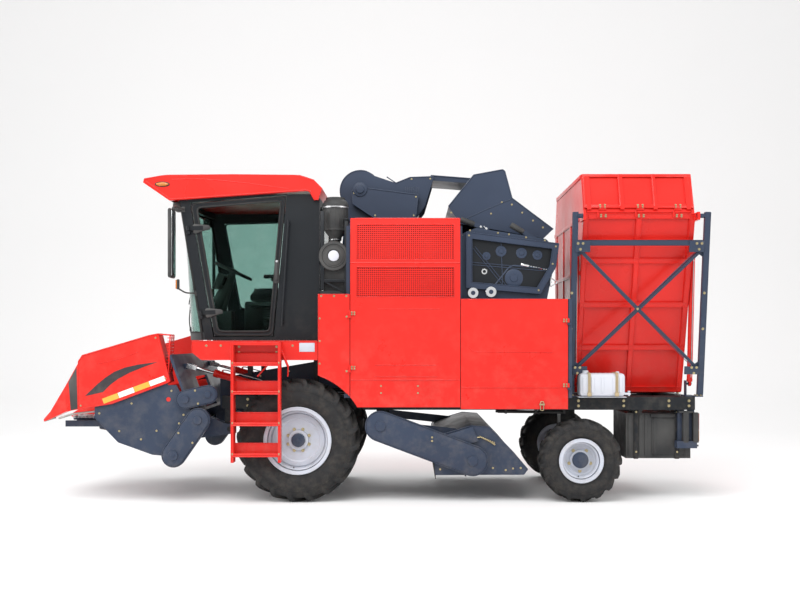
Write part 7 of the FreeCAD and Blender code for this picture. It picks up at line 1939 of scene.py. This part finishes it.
def make_chopper_skin():
    """Folded edges, the cover plate, belt case trim, hook, rubber curtain and bolts of the stalk chopper."""
    skin, bright, places = Work(), Work(), []
    hopper = ((-0.591, 0.268), (-0.591, 0.61), (-0.62, 0.65), (-0.951, 0.747), (-1.121, 0.734),
              (-1.354, 0.492), (-1.5, 0.32), (-1.463, 0.271))
    for side in SIDES.values():
        y = side * 0.9252
        edge_beads(skin, hopper, y, 0.0055)
        places += facing(side, y, ((-0.978, 0.599), (-1.159, 0.333), (-1.284, 0.313), (-1.356, 0.328),
                                   (-1.432, 0.333),
                     (-0.64, 0.32)))
    face = 0.9852
    a, b = Vector((-0.055, face, 0.747)), Vector((-0.957, face, 0.41))
    skin.prism(stadium(a, b, 0.136, 16), (0, 0.008, 0), 0.005)
    skin.pipe([p - Vector((0, 0.001, 0)) for p in stadium(a, b, 0.146, 16)], 0.0055, 8, closed=True)
    places += [((-0.56, 0.9932, z), (0, 1, 0)) for z in (0.64, 0.605)]
    for end in (a, b):
        skin.turned([(0.0, 0.0), (0.0, 0.052), (0.01, 0.049), (0.014, 0.03), (0.014, 0.0)],
                    end + Vector((0, 0.008, 0)), LEFT, 36)
    skin.prism([(-0.64, 0.926, 0.64), (-0.955, 0.926, 0.742), (-1.02, 0.926, 0.6),
                (-0.905, 0.926, 0.565), (-0.64, 0.926, 0.585)],
               (0, 0.03, 0), 0.006)
    skin.fit("chopper_skin", "chopper", "slate")
    bright.pipe([(-0.985, 0.935, 0.625), (-1.03, 0.935, 0.64), (-1.12, 0.935, 0.6),
                 (-1.18, 0.935, 0.56)], 0.007, 8, 0.03)
    for k in range(9):
        x = -1.035 - 0.017 * k
        bright.turned([(-0.0035, 0.007), (-0.0035, 0.0115), (0.0035, 0.0115), (0.0035, 0.007)],
                      (x, 0.935, 0.64 - 0.43 * (-1.035 - x)), (1, 0, -0.43), 12)
    bright.fit("chopper_hook", "chopper", "zinc")
    bolted("chopper_bolts", places, "chopper", "hinge")
    curtain = Work()
    strip = Work().block((-0.5975, -0.905, 0.222), (-0.5915, -0.853, 0.3), 0.001)
    strips = row_of("chopper_strips", strip, 33, (0, 0.0552, 0))
    curtain.take(strips)
    curtain.block((-0.604, -0.91, 0.285), (-0.586, 0.91, 0.32), 0.002)
    curtain.fit("chopper_curtain", "chopper", "belt")
    flails = Work()
    for number in range(24):
        angle = math.radians(90 * (number % 4) + 65)
        way = Vector((math.cos(angle), 0, math.sin(angle)))
        base = Vector((-0.957, -0.862 + 0.075 * number, 0.42))
        flails.rod(base + way * 0.06 - Vector((0, 0.018, 0)), base + way * 0.06 + Vector((0, 0.018, 0)),
                   0.018, sides=14)
        turn = way.to_track_quat("X", "Y").to_matrix().to_4x4()
        blade = Work().prism([(0.0, -0.016, -0.004), (0.118, -0.02, -0.004), (0.124, 0.006, -0.004),
                              (0.0, 0.016, -0.004)], (0, 0, 0.008), 0.0015)
        flails.also(blade, Matrix.Translation(base + way * 0.058) @ turn)
        blade.bm.free()
    flails.fit("chopper_flails", "chopper_rotor", "worn")


def make_tanks():
    """The moulded water can with its straps, tap and caps, and the ribbed rear tank with lid and straps."""
    can = Work()
    can.block((-2.462, 0.74, 1.0335), (-2.009, 0.93, 1.262), 0.034)
    can.block((-2.472, 0.738, 1.0253), (-1.999, 0.93, 1.0318), 0.002)
    for x in (-2.415, -2.35, -2.235, -2.14, -2.055):
        can.block((x - 0.014, 0.926, 1.07), (x + 0.014, 0.9355, 1.225), 0.004)
    can.turned([(0.0, 0.0), (0.0, 0.036), (0.01, 0.036), (0.014, 0.032), (0.026, 0.032), (0.03, 0.028),
                (0.03, 0.0)], (-2.08, 0.835, 1.258), UP, 32)
    can.turned([(0.0, 0.0), (0.0, 0.018), (0.02, 0.017), (0.022, 0.0)], (-2.4, 0.835, 1.258), UP, 24)
    can.rod((-2.44, 0.9, 1.062), (-2.515, 0.9, 1.058), 0.0125, sides=18, edge=0.002)
    can.rod((-2.5, 0.9, 1.04), (-2.5, 0.9, 1.08), 0.0095, sides=14)
    can.block((-2.512, 0.88, 1.08), (-2.488, 0.92, 1.089), 0.003)
    piece = can.fit("water_can_moulded", "chassis", "can", 40)
    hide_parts("water_can")
    straps = Work()
    for x in (-2.375, -2.105):
        straps.pipe([(x, 0.736, 1.036), (x, 0.736, 1.266), (x, 0.936, 1.266), (x, 0.94, 1.036)], 0.0052, 6,
                    0.03)
        for dx in (-0.01, 0.01):
            straps.pipe([(x + dx, 0.736, 1.036), (x + dx, 0.736, 1.2655), (x + dx, 0.9355, 1.2655),
                         (x + dx, 0.9395, 1.036)], 0.0045, 6, 0.03)
        straps.block((x - 0.02, 0.932, 1.038), (x + 0.02, 0.946, 1.075), 0.003)
    straps.fit("can_straps", "chassis", "paper")
    tank, places = Work(), []
    for x in (-2.545, -2.6, -2.655, -2.71):
        tank.block((x - 0.014, 0.708, 0.43), (x + 0.014, 0.722, 0.845), 0.004)
    tank.block((-3.14, 0.71, 0.44), (-2.77, 0.7235, 0.8), 0.006)
    tank.block((-3.155, 0.705, 0.815), (-2.755, 0.73, 0.85), 0.005)
    for x in (-2.8, -3.105):
        tank.block((x - 0.012, 0.718, 0.43), (x + 0.012, 0.7275, 0.812), 0.003)
    tank.block((-3.1625, 0.11, 0.43), (-3.1575, 0.7, 0.47), 0.002)
    for z in (0.52, 0.64, 0.76):
        tank.block((-3.166, 0.12, z - 0.02), (-3.157, 0.695, z + 0.02), 0.003)
    tank.turned([(0.0, 0.0), (0.0, 0.042), (0.012, 0.042), (0.016, 0.038), (0.034, 0.038), (0.04, 0.03),
                 (0.04, 0.0)], (-2.9, 0.35, 0.855), UP, 32)
    tank.fit("tank_ribs", "chassis", "plastic")
    bands = Work()
    for x in (-3.02, -2.61):
        bands.block((x - 0.022, 0.7205, 0.4005), (x + 0.022, 0.7315, 0.893), 0.003)
        bands.block((x - 0.022, 0.0945, 0.399), (x + 0.022, 0.7305, 0.4045), 0.002)
        places += [((x, 0.7317, z), (0, 1, 0)) for z in (0.47, 0.87)]
    bands.fit("tank_bands", "chassis", "black")
    bolted("tank_bolts", places, "chassis", "hinge")


def make_rear_lamps():
    """Upright tail lamps with red and amber lenses on their brackets, and the towing pin."""
    shells, red, amber = Work(), Work(), Work()
    for side in SIDES.values():
        for x in (-3.18, -3.08):
            shells.block((x - 0.028, side * 0.772, 0.572), (x + 0.028, side * 0.842, 0.87), 0.006)
        ys = sorted((side * 0.78, side * 0.834))
        red.block((-3.2125, ys[0], 0.7), (-3.206, ys[1], 0.86), 0.002)
        amber.block((-3.2125, ys[0], 0.584), (-3.206, ys[1], 0.694), 0.002)
        shells.pipe([(-3.02, side * 0.792, 0.56), (-3.215, side * 0.792, 0.538)], 0.009, 8)
        shells.block((-3.15, side * 0.75, 0.866), (-3.01, side * 0.842, 0.884), 0.003)
    shells.fit("tail_lamp_shells", "chassis", "plastic")
    red.fit("tail_lamp_red", "chassis", "ruby")
    amber.fit("tail_lamp_amber", "chassis", "amber")
    pin = Work()
    pin.rod((-3.22, 0, 0.905), (-3.22, 0, 1.06), 0.0145, sides=20, edge=0.002)
    pin.pipe([(-3.22, -0.035, 1.085), (-3.22, -0.02, 1.06), (-3.22, 0.02, 1.06),
              (-3.22, 0.035, 1.085)], 0.005, 8, 0.01)
    pin.fit("towing_pin", "chassis", "zinc")


def make_engine():
    """The engine's sump, heads, manifold, fan, belt, filters and intake pipe, and the radiator beside it."""
    iron, steel, rubber = Work(), Work(), Work()
    iron.block((-0.66, -0.23, 1.756), (-0.1, 0.23, 1.8), 0.008)
    iron.block((-0.645, -0.15, 1.8), (-0.115, 0.05, 1.88), 0.02)
    for k in range(4):
        x = -0.585 + 0.137 * k
        iron.block((x - 0.05, -0.305, 1.56), (x + 0.05, -0.296, 1.72), 0.004)
        iron.rod((x, 0.298, 1.69), (x, 0.345, 1.69), 0.028, sides=20, edge=0.003)
        steel.rod((x, 0.12, 1.798), (x, 0.12, 1.88), 0.012, sides=12)
        steel.pipe([(x, 0.12, 1.878), (x + 0.02, 0.19, 1.9), (-0.42 + 0.02 * k, 0.27, 1.83),
                    (-0.42 + 0.02 * k, 0.31, 1.6)], 0.004, 8, 0.03)
    iron.rod((-0.64, 0.352, 1.69), (-0.12, 0.352, 1.69), 0.032, sides=24, edge=0.004)
    iron.block((-0.5, 0.298, 1.42), (-0.3, 0.39, 1.61), 0.012)
    for x in (-0.56, -0.26):
        steel.turned([(0.0, 0.0), (0.0, 0.044), (0.02, 0.046), (0.14, 0.046), (0.15, 0.038), (0.15, 0.0)],
                     (x, -0.352, 1.18), UP, 32)
        iron.block((x - 0.06, -0.398, 1.33), (x + 0.06, -0.298, 1.38), 0.006)
    for k in range(3):
        iron.block((-0.72 + 0.001 * k, -0.24, 1.15 + 0.17 * k), (-0.699, 0.24, 1.17 + 0.17 * k), 0.003)
    for r, groove, y, z, steps in ((0.085, 0.07, 0.0, 1.3, 40), (0.06, 0.05, 0.0, 1.6, 40),
                                   (0.04, 0.03, 0.21, 1.47, 32)):
        iron.turned([(0.0, 0.0), (0.0, r), (0.014, r), (0.018, groove), (0.026, groove), (0.03, r),
                     (0.044, r), (0.044, 0.0)],
                    (-0.06, y, z), AHEAD, steps)
    rubber.pipe([(-0.038, -0.078, 1.3), (-0.038, -0.054, 1.615), (-0.038, 0.03, 1.655),
                 (-0.038, 0.236, 1.5), (-0.038, 0.238, 1.45),
                 (-0.038, 0.06, 1.23), (-0.038, -0.04, 1.218)], 0.0075, 8, 0.05, closed=True)
    for k in range(6):
        turn = Matrix.Translation((-0.004, 0.0, 1.6)) @ Matrix.Rotation(math.tau * k / 6, 4, "X")
        blade = Work().block((-0.004, 0.045, -0.05), (0.004, 0.215, 0.05), 0.002,
                             Matrix.Rotation(math.radians(28), 4, "Y"))
        iron.also(blade, turn)
        blade.bm.free()
    iron.block((0.05, -0.33, 1.18), (0.075, 0.33, 1.2), 0.003)
    rubber.pipe([(CLEANER_X, 0.505, CLEANER_Z), (CLEANER_X, 0.352, CLEANER_Z), (0.33, 0.352, 2.3),
                 (0.05, 0.352, 2.12), (-0.2, 0.352, 1.9), (-0.33, 0.352, 1.722)],
                0.04, 16, 0.1)
    rubber.pipe([(-0.1, -0.15, 1.72), (-0.03, -0.28, 1.78), (-0.03, -0.42, 1.7),
                 (-0.1, -0.48, 1.6)], 0.024, 14, 0.06)
    rad = Work()
    rad.block((-0.68, -0.56, 1.18), (-0.08, -0.47, 1.78), 0.01)
    rad.fit("radiator_frame", "chassis", "black")
    fins = Work().block((-0.66, -0.566, 1.2), (-0.6575, -0.464, 1.76))
    mesh = row_of("radiator_fins", fins, 72, (0.0079, 0, 0))
    fitted("radiator_fins", mesh, "chassis", FINISH["steel"])
    iron.fit("engine_castings", "chassis", "iron", 35)
    steel.fit("engine_fittings", "chassis", "steel")
    rubber.fit("engine_hoses", "chassis", "seal", 50)


def make_axle_fittings():
    """Brake drums, the differential with its bolts, and the kingpin nuts."""
    drums, nuts = Work(), Work()
    for side in SIDES.values():
        drums.turned([(0.0, 0.06), (0.0, 0.128), (side * 0.05, 0.132), (side * 0.056, 0.122),
                      (side * 0.056, 0.06)],
                     (AXLE_X, side * 0.64, AXLE_Z), LEFT, 40)
        nuts.rod((-2.02, side * 0.69, 0.56), (-2.02, side * 0.69, 0.59), 0.022, sides=6)
    drums.turned([(-0.16, 0.0), (-0.16, 0.11), (-0.1, 0.19), (-0.04, 0.215), (0.04, 0.215), (0.1, 0.19),
                  (0.16, 0.11), (0.16, 0.0)],
                 (AXLE_X, 0.0, AXLE_Z), LEFT, 40)
    drums.turned([(0.0, 0.0), (0.0, 0.15), (0.012, 0.15), (0.03, 0.12), (0.11, 0.06), (0.15, 0.055),
                  (0.15, 0.0)], (0.56, 0.0, AXLE_Z), -AHEAD, 32)
    places = [((AXLE_X + 0.205 * math.cos(a), y, AXLE_Z + 0.205 * math.sin(a)), (0, 1 if y > 0 else -1, 0))
              for y in (0.041, -0.041) for a in around(12)]
    drums.fit("axle_castings", "chassis", "black", 35)
    bolted("axle_bolts", places, "chassis", "axle")
    nuts.fit("kingpin_nuts", "chassis", "zinc")




# ---------------------------------------------------------------- stage


def set_stage(looks):
    """A pale floor that curves up behind, soft boxes and the camera."""
    settings = looks.stage
    low, high = (Vector(c) for c in CAD_BOX)
    middle = (low + high) / 2
    floor = Finish("stage_floor").fixed(Roughness=0.85, Specular_IOR_Level=0.2)
    pale = floor.blend(floor.noise(0.4, 2), settings.floor, shade(settings.floor, 0.985))
    floor_finish = floor.done(pale)
    sweep = [Vector((0, 16, 0)), Vector((0, -7, 0)), Vector((0, -9.5, 0.7)), Vector((0, -10.5, 3.0)),
             Vector((0, -10.5, 16))]
    path = rounded(sweep, 2.4)
    sheet = bmesh.new()
    rows = [[sheet.verts.new((x, p.y, p.z - 0.0005)) for x in (-24, 24)] for p in path]
    for a, b in zip(rows, rows[1:]):
        sheet.faces.new((a[0], b[0], b[1], a[1]))
    mesh = bpy.data.meshes.new("stage_floor")
    sheet.to_mesh(mesh)
    sheet.free()
    mesh.materials.append(floor_finish)
    mesh.polygons.foreach_set("use_smooth", [True] * len(mesh.polygons))
    ground = bpy.data.objects.new("stage_floor", mesh)
    bpy.context.scene.collection.objects.link(ground)

    world = bpy.data.worlds.new("soft_sky")
    world.use_nodes = True
    sky = world.node_tree.nodes["Background"]
    sky.inputs["Color"].default_value = (1, 1, 1, 1)
    sky.inputs["Strength"].default_value = 0.85 * settings.light
    bpy.context.scene.world = world
    for name, place, size, power in (
        ("box_high", (1.5, 6.0, 8.5), 7.0, 620),
        ("box_front", (8.0, 4.5, 4.0), 4.0, 260),
        ("box_rear", (-8.0, 5.0, 5.0), 5.0, 260),
        ("box_far", (0.0, -6.0, 8.0), 6.0, 260),
    ):
        lamp = bpy.data.lights.new(name, "AREA")
        lamp.energy, lamp.size = power * settings.light, size
        made = bpy.data.objects.new(name, lamp)
        made.location = place
        made.rotation_euler = (middle - Vector(place)).to_track_quat("-Z", "Y").to_euler()
        bpy.context.scene.collection.objects.link(made)

    lens = bpy.data.cameras.new("view_camera")
    lens.sensor_width, lens.lens = 36.0, 44.55
    lens.shift_x, lens.shift_y = -0.015, 0.05
    lens.clip_start, lens.clip_end = 0.05, 200
    camera = bpy.data.objects.new("view_camera", lens)
    camera.location = (-0.364, settings.distance, 1.59)
    camera.rotation_euler = (math.radians(90), 0, math.radians(180))
    bpy.context.scene.collection.objects.link(camera)
    bpy.context.scene.camera = camera
    bpy.context.scene.view_settings.view_transform = "Standard"
    bpy.context.scene.view_settings.look = "None"


class HARVESTER_OT_finishes(bpy.types.Operator):
    """Make every paint, rubber, glass and plating finish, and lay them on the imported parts"""

    bl_idname = "harvester.finishes"
    bl_label = "Finishes"

    def execute(self, context):
        prepare_finishes(context.scene.harvester)
        prepare_trees()
        prepare_sheet_tree()
        return {"FINISHED"}


class HARVESTER_OT_tyres(bpy.types.Operator):
    """Make the four lugged tyres"""

    bl_idname = "harvester.tyres"
    bl_label = "Tyres"

    def execute(self, context):
        make_tyres(context.scene.harvester)
        return {"FINISHED"}


class HARVESTER_OT_wheel_trim(bpy.types.Operator):
    """Add rolled rim edges, wheel bolts, hubs and valves"""

    bl_idname = "harvester.wheel_trim"
    bl_label = "Wheel trim"

    def execute(self, context):
        make_wheel_trim()
        return {"FINISHED"}


class HARVESTER_OT_cab_seals(bpy.types.Operator):
    """Fit the cab's rubber seals, hinge covers, lock and wiper"""

    bl_idname = "harvester.cab_seals"
    bl_label = "Cab seals"

    def execute(self, context):
        make_cab_seals()
        return {"FINISHED"}


class HARVESTER_OT_cab_lamps(bpy.types.Operator):
    """Fit marker lamps, work lamps and stalk indicators"""

    bl_idname = "harvester.cab_lamps"
    bl_label = "Cab lamps"

    def execute(self, context):
        make_cab_lamps()
        return {"FINISHED"}


class HARVESTER_OT_mirrors(bpy.types.Operator):
    """Make the rounded mirrors on their arms"""

    bl_idname = "harvester.mirrors"
    bl_label = "Mirrors"

    def execute(self, context):
        make_mirrors()
        return {"FINISHED"}


class HARVESTER_OT_cab_inside(bpy.types.Operator):
    """Make the driver's seat, steering wheel, console, pedals and mat"""

    bl_idname = "harvester.cab_inside"
    bl_label = "Cab inside"

    def execute(self, context):
        make_cab_inside()
        return {"FINISHED"}


class HARVESTER_OT_roof_trim(bpy.types.Operator):
    """Add the roof's pressed lines and fixings"""

    bl_idname = "harvester.roof_trim"
    bl_label = "Roof trim"

    def execute(self, context):
        make_roof_trim()
        return {"FINISHED"}


class HARVESTER_OT_engine_doors(bpy.types.Operator):
    """Add perforated sheets, pressed lines, bolts and seals to the engine doors"""

    bl_idname = "harvester.engine_doors"
    bl_label = "Engine doors"

    def execute(self, context):
        make_engine_doors(context.scene.harvester)
        return {"FINISHED"}


class HARVESTER_OT_husker_doors(bpy.types.Operator):
    """Add pressed lines, latch and bolts to the rear doors"""

    bl_idname = "harvester.husker_doors"
    bl_label = "Rear doors"

    def execute(self, context):
        make_husker_doors()
        return {"FINISHED"}


class HARVESTER_OT_side_panels(bpy.types.Operator):
    """Add rivets, edging and the bare plate"""

    bl_idname = "harvester.side_panels"
    bl_label = "Side panels"

    def execute(self, context):
        make_side_panels()
        return {"FINISHED"}


class HARVESTER_OT_air_cleaner(bpy.types.Operator):
    """Make the intake bowl, end cap, clamps and stays"""

    bl_idname = "harvester.air_cleaner"
    bl_label = "Air cleaner"

    def execute(self, context):
        make_air_cleaner()
        return {"FINISHED"}


class HARVESTER_OT_ladder(bpy.types.Operator):
    """Add treads' edges, grips, lips and bolts"""

    bl_idname = "harvester.ladder"
    bl_label = "Ladder and platform"

    def execute(self, context):
        make_ladder()
        return {"FINISHED"}


class HARVESTER_OT_chassis_fittings(bpy.types.Operator):
    """Add frame bolts, pipes and the wiring trunk"""

    bl_idname = "harvester.chassis_fittings"
    bl_label = "Frame fittings"

    def execute(self, context):
        make_chassis_fittings()
        return {"FINISHED"}


class HARVESTER_OT_header_covers(bpy.types.Operator):
    """Add bands, hazard strips, folded edges, slats and wear tips"""

    bl_idname = "harvester.header_covers"
    bl_label = "Header covers"

    def execute(self, context):
        make_header_covers()
        return {"FINISHED"}


class HARVESTER_OT_gathering_chains(bpy.types.Operator):
    """Make the chains, sprockets and roll bars"""

    bl_idname = "harvester.gathering_chains"
    bl_label = "Gathering chains"

    def execute(self, context):
        make_gathering_chains(context.scene.harvester)
        return {"FINISHED"}


class HARVESTER_OT_header_sides(bpy.types.Operator):
    """Add drive covers, bolts, gear case caps and pipes"""

    bl_idname = "harvester.header_sides"
    bl_label = "Header sides"

    def execute(self, context):
        make_header_sides()
        return {"FINISHED"}


class HARVESTER_OT_elevator_skin(bpy.types.Operator):
    """Add folded edges, louvres, cover and bolts to the elevator"""

    bl_idname = "harvester.elevator_skin"
    bl_label = "Elevator"

    def execute(self, context):
        make_elevator_skin()
        return {"FINISHED"}


class HARVESTER_OT_husker_guards(bpy.types.Operator):
    """Add guard rods, discs, latches and the hood's edges"""

    bl_idname = "harvester.husker_guards"
    bl_label = "Husker guards"

    def execute(self, context):
        make_husker_guards(context.scene.harvester)
        return {"FINISHED"}


class HARVESTER_OT_husker_rollers(bpy.types.Operator):
    """Make the peeling rollers and presser stars"""

    bl_idname = "harvester.husker_rollers"
    bl_label = "Husker rollers"

    def execute(self, context):
        make_husker_rollers()
        return {"FINISHED"}


class HARVESTER_OT_bin_flap(bpy.types.Operator):
    """Frame the flap and add its hinge plates"""

    bl_idname = "harvester.bin_flap"
    bl_label = "Bin flap"

    def execute(self, context):
        make_bin_flap()
        return {"FINISHED"}


class HARVESTER_OT_bin_walls(bpy.types.Operator):
    """Add the bin's folded rails, ribs and hinge bolts"""

    bl_idname = "harvester.bin_walls"
    bl_label = "Bin walls"

    def execute(self, context):
        make_bin_walls()
        return {"FINISHED"}


class HARVESTER_OT_bin_stand(bpy.types.Operator):
    """Add gussets, flanges and bolts to the bin's stand"""

    bl_idname = "harvester.bin_stand"
    bl_label = "Bin stand"

    def execute(self, context):
        make_bin_stand()
        return {"FINISHED"}


class HARVESTER_OT_cylinders(bpy.types.Operator):
    """Add collars and pipes to the hydraulic cylinders"""

    bl_idname = "harvester.cylinders"
    bl_label = "Cylinders"

    def execute(self, context):
        make_cylinders()
        return {"FINISHED"}


class HARVESTER_OT_chopper_skin(bpy.types.Operator):
    """Add the chopper's cover plate, trim, curtain and flails"""

    bl_idname = "harvester.chopper_skin"
    bl_label = "Stalk chopper"

    def execute(self, context):
        make_chopper_skin()
        return {"FINISHED"}


class HARVESTER_OT_tanks(bpy.types.Operator):
    """Make the water can with straps and the rear tank's ribs"""

    bl_idname = "harvester.tanks"
    bl_label = "Tanks"

    def execute(self, context):
        make_tanks()
        return {"FINISHED"}


class HARVESTER_OT_rear_lamps(bpy.types.Operator):
    """Make the tail lamps and the towing pin"""

    bl_idname = "harvester.rear_lamps"
    bl_label = "Rear lamps"

    def execute(self, context):
        make_rear_lamps()
        return {"FINISHED"}


class HARVESTER_OT_engine(bpy.types.Operator):
    """Make the engine's castings, belt, hoses and radiator"""

    bl_idname = "harvester.engine"
    bl_label = "Engine"

    def execute(self, context):
        make_engine()
        return {"FINISHED"}


class HARVESTER_OT_axle_fittings(bpy.types.Operator):
    """Add drums, differential, bolts and kingpin nuts"""

    bl_idname = "harvester.axle_fittings"
    bl_label = "Axle fittings"

    def execute(self, context):
        make_axle_fittings()
        return {"FINISHED"}


class HARVESTER_OT_stage(bpy.types.Operator):
    """Lay the floor, hang the soft boxes and set the camera"""

    bl_idname = "harvester.stage"
    bl_label = "Stage"

    def execute(self, context):
        set_stage(context.scene.harvester)
        return {"FINISHED"}


STEPS = (
    HARVESTER_OT_finishes,
    HARVESTER_OT_tyres,
    HARVESTER_OT_wheel_trim,
    HARVESTER_OT_cab_seals,
    HARVESTER_OT_cab_lamps,
    HARVESTER_OT_mirrors,
    HARVESTER_OT_cab_inside,
    HARVESTER_OT_roof_trim,
    HARVESTER_OT_engine_doors,
    HARVESTER_OT_husker_doors,
    HARVESTER_OT_side_panels,
    HARVESTER_OT_air_cleaner,
    HARVESTER_OT_ladder,
    HARVESTER_OT_chassis_fittings,
    HARVESTER_OT_header_covers,
    HARVESTER_OT_gathering_chains,
    HARVESTER_OT_header_sides,
    HARVESTER_OT_elevator_skin,
    HARVESTER_OT_husker_guards,
    HARVESTER_OT_husker_rollers,
    HARVESTER_OT_bin_flap,
    HARVESTER_OT_bin_walls,
    HARVESTER_OT_bin_stand,
    HARVESTER_OT_cylinders,
    HARVESTER_OT_chopper_skin,
    HARVESTER_OT_tanks,
    HARVESTER_OT_rear_lamps,
    HARVESTER_OT_engine,
    HARVESTER_OT_axle_fittings,
    HARVESTER_OT_stage,
)


class HARVESTER_PT_panel(bpy.types.Panel):
    """The machine's colours, sizes and building steps"""

    bl_label = "Corn harvester"
    bl_idname = "HARVESTER_PT_panel"
    bl_space_type = "VIEW_3D"
    bl_region_type = "UI"
    bl_category = "Harvester"

    def draw(self, context):
        looks = context.scene.harvester
        for group in ("colours", "tread", "hardware", "stage"):
            box = self.layout.box()
            box.label(text=group.capitalize())
            settings = getattr(looks, group)
            for name in settings.bl_rna.properties.keys():
                if name not in ("rna_type", "name"):
                    box.prop(settings, name)
        for step in STEPS:
            self.layout.operator(step.bl_idname)


GROUPS = (HarvesterColours, HarvesterTread, HarvesterHardware, HarvesterStage, HarvesterLooks)


def register():
    for each in (*GROUPS, *STEPS, HARVESTER_PT_panel):
        bpy.utils.register_class(each)
    bpy.types.Scene.harvester = PointerProperty(type=HarvesterLooks, name="Harvester",
        description="Looks of the corn harvester")


def unregister():
    del bpy.types.Scene.harvester
    for each in reversed((*GROUPS, *STEPS, HARVESTER_PT_panel)):
        bpy.utils.unregister_class(each)


def main():
    """Builds the whole machine in order."""
    register()
    for step in STEPS:
        done = getattr(bpy.ops.harvester, step.bl_idname.split(".")[1])()
        if done != {"FINISHED"}:
            raise RuntimeError(f"{step.bl_label} did not finish")


if __name__ == "__main__":
    main()
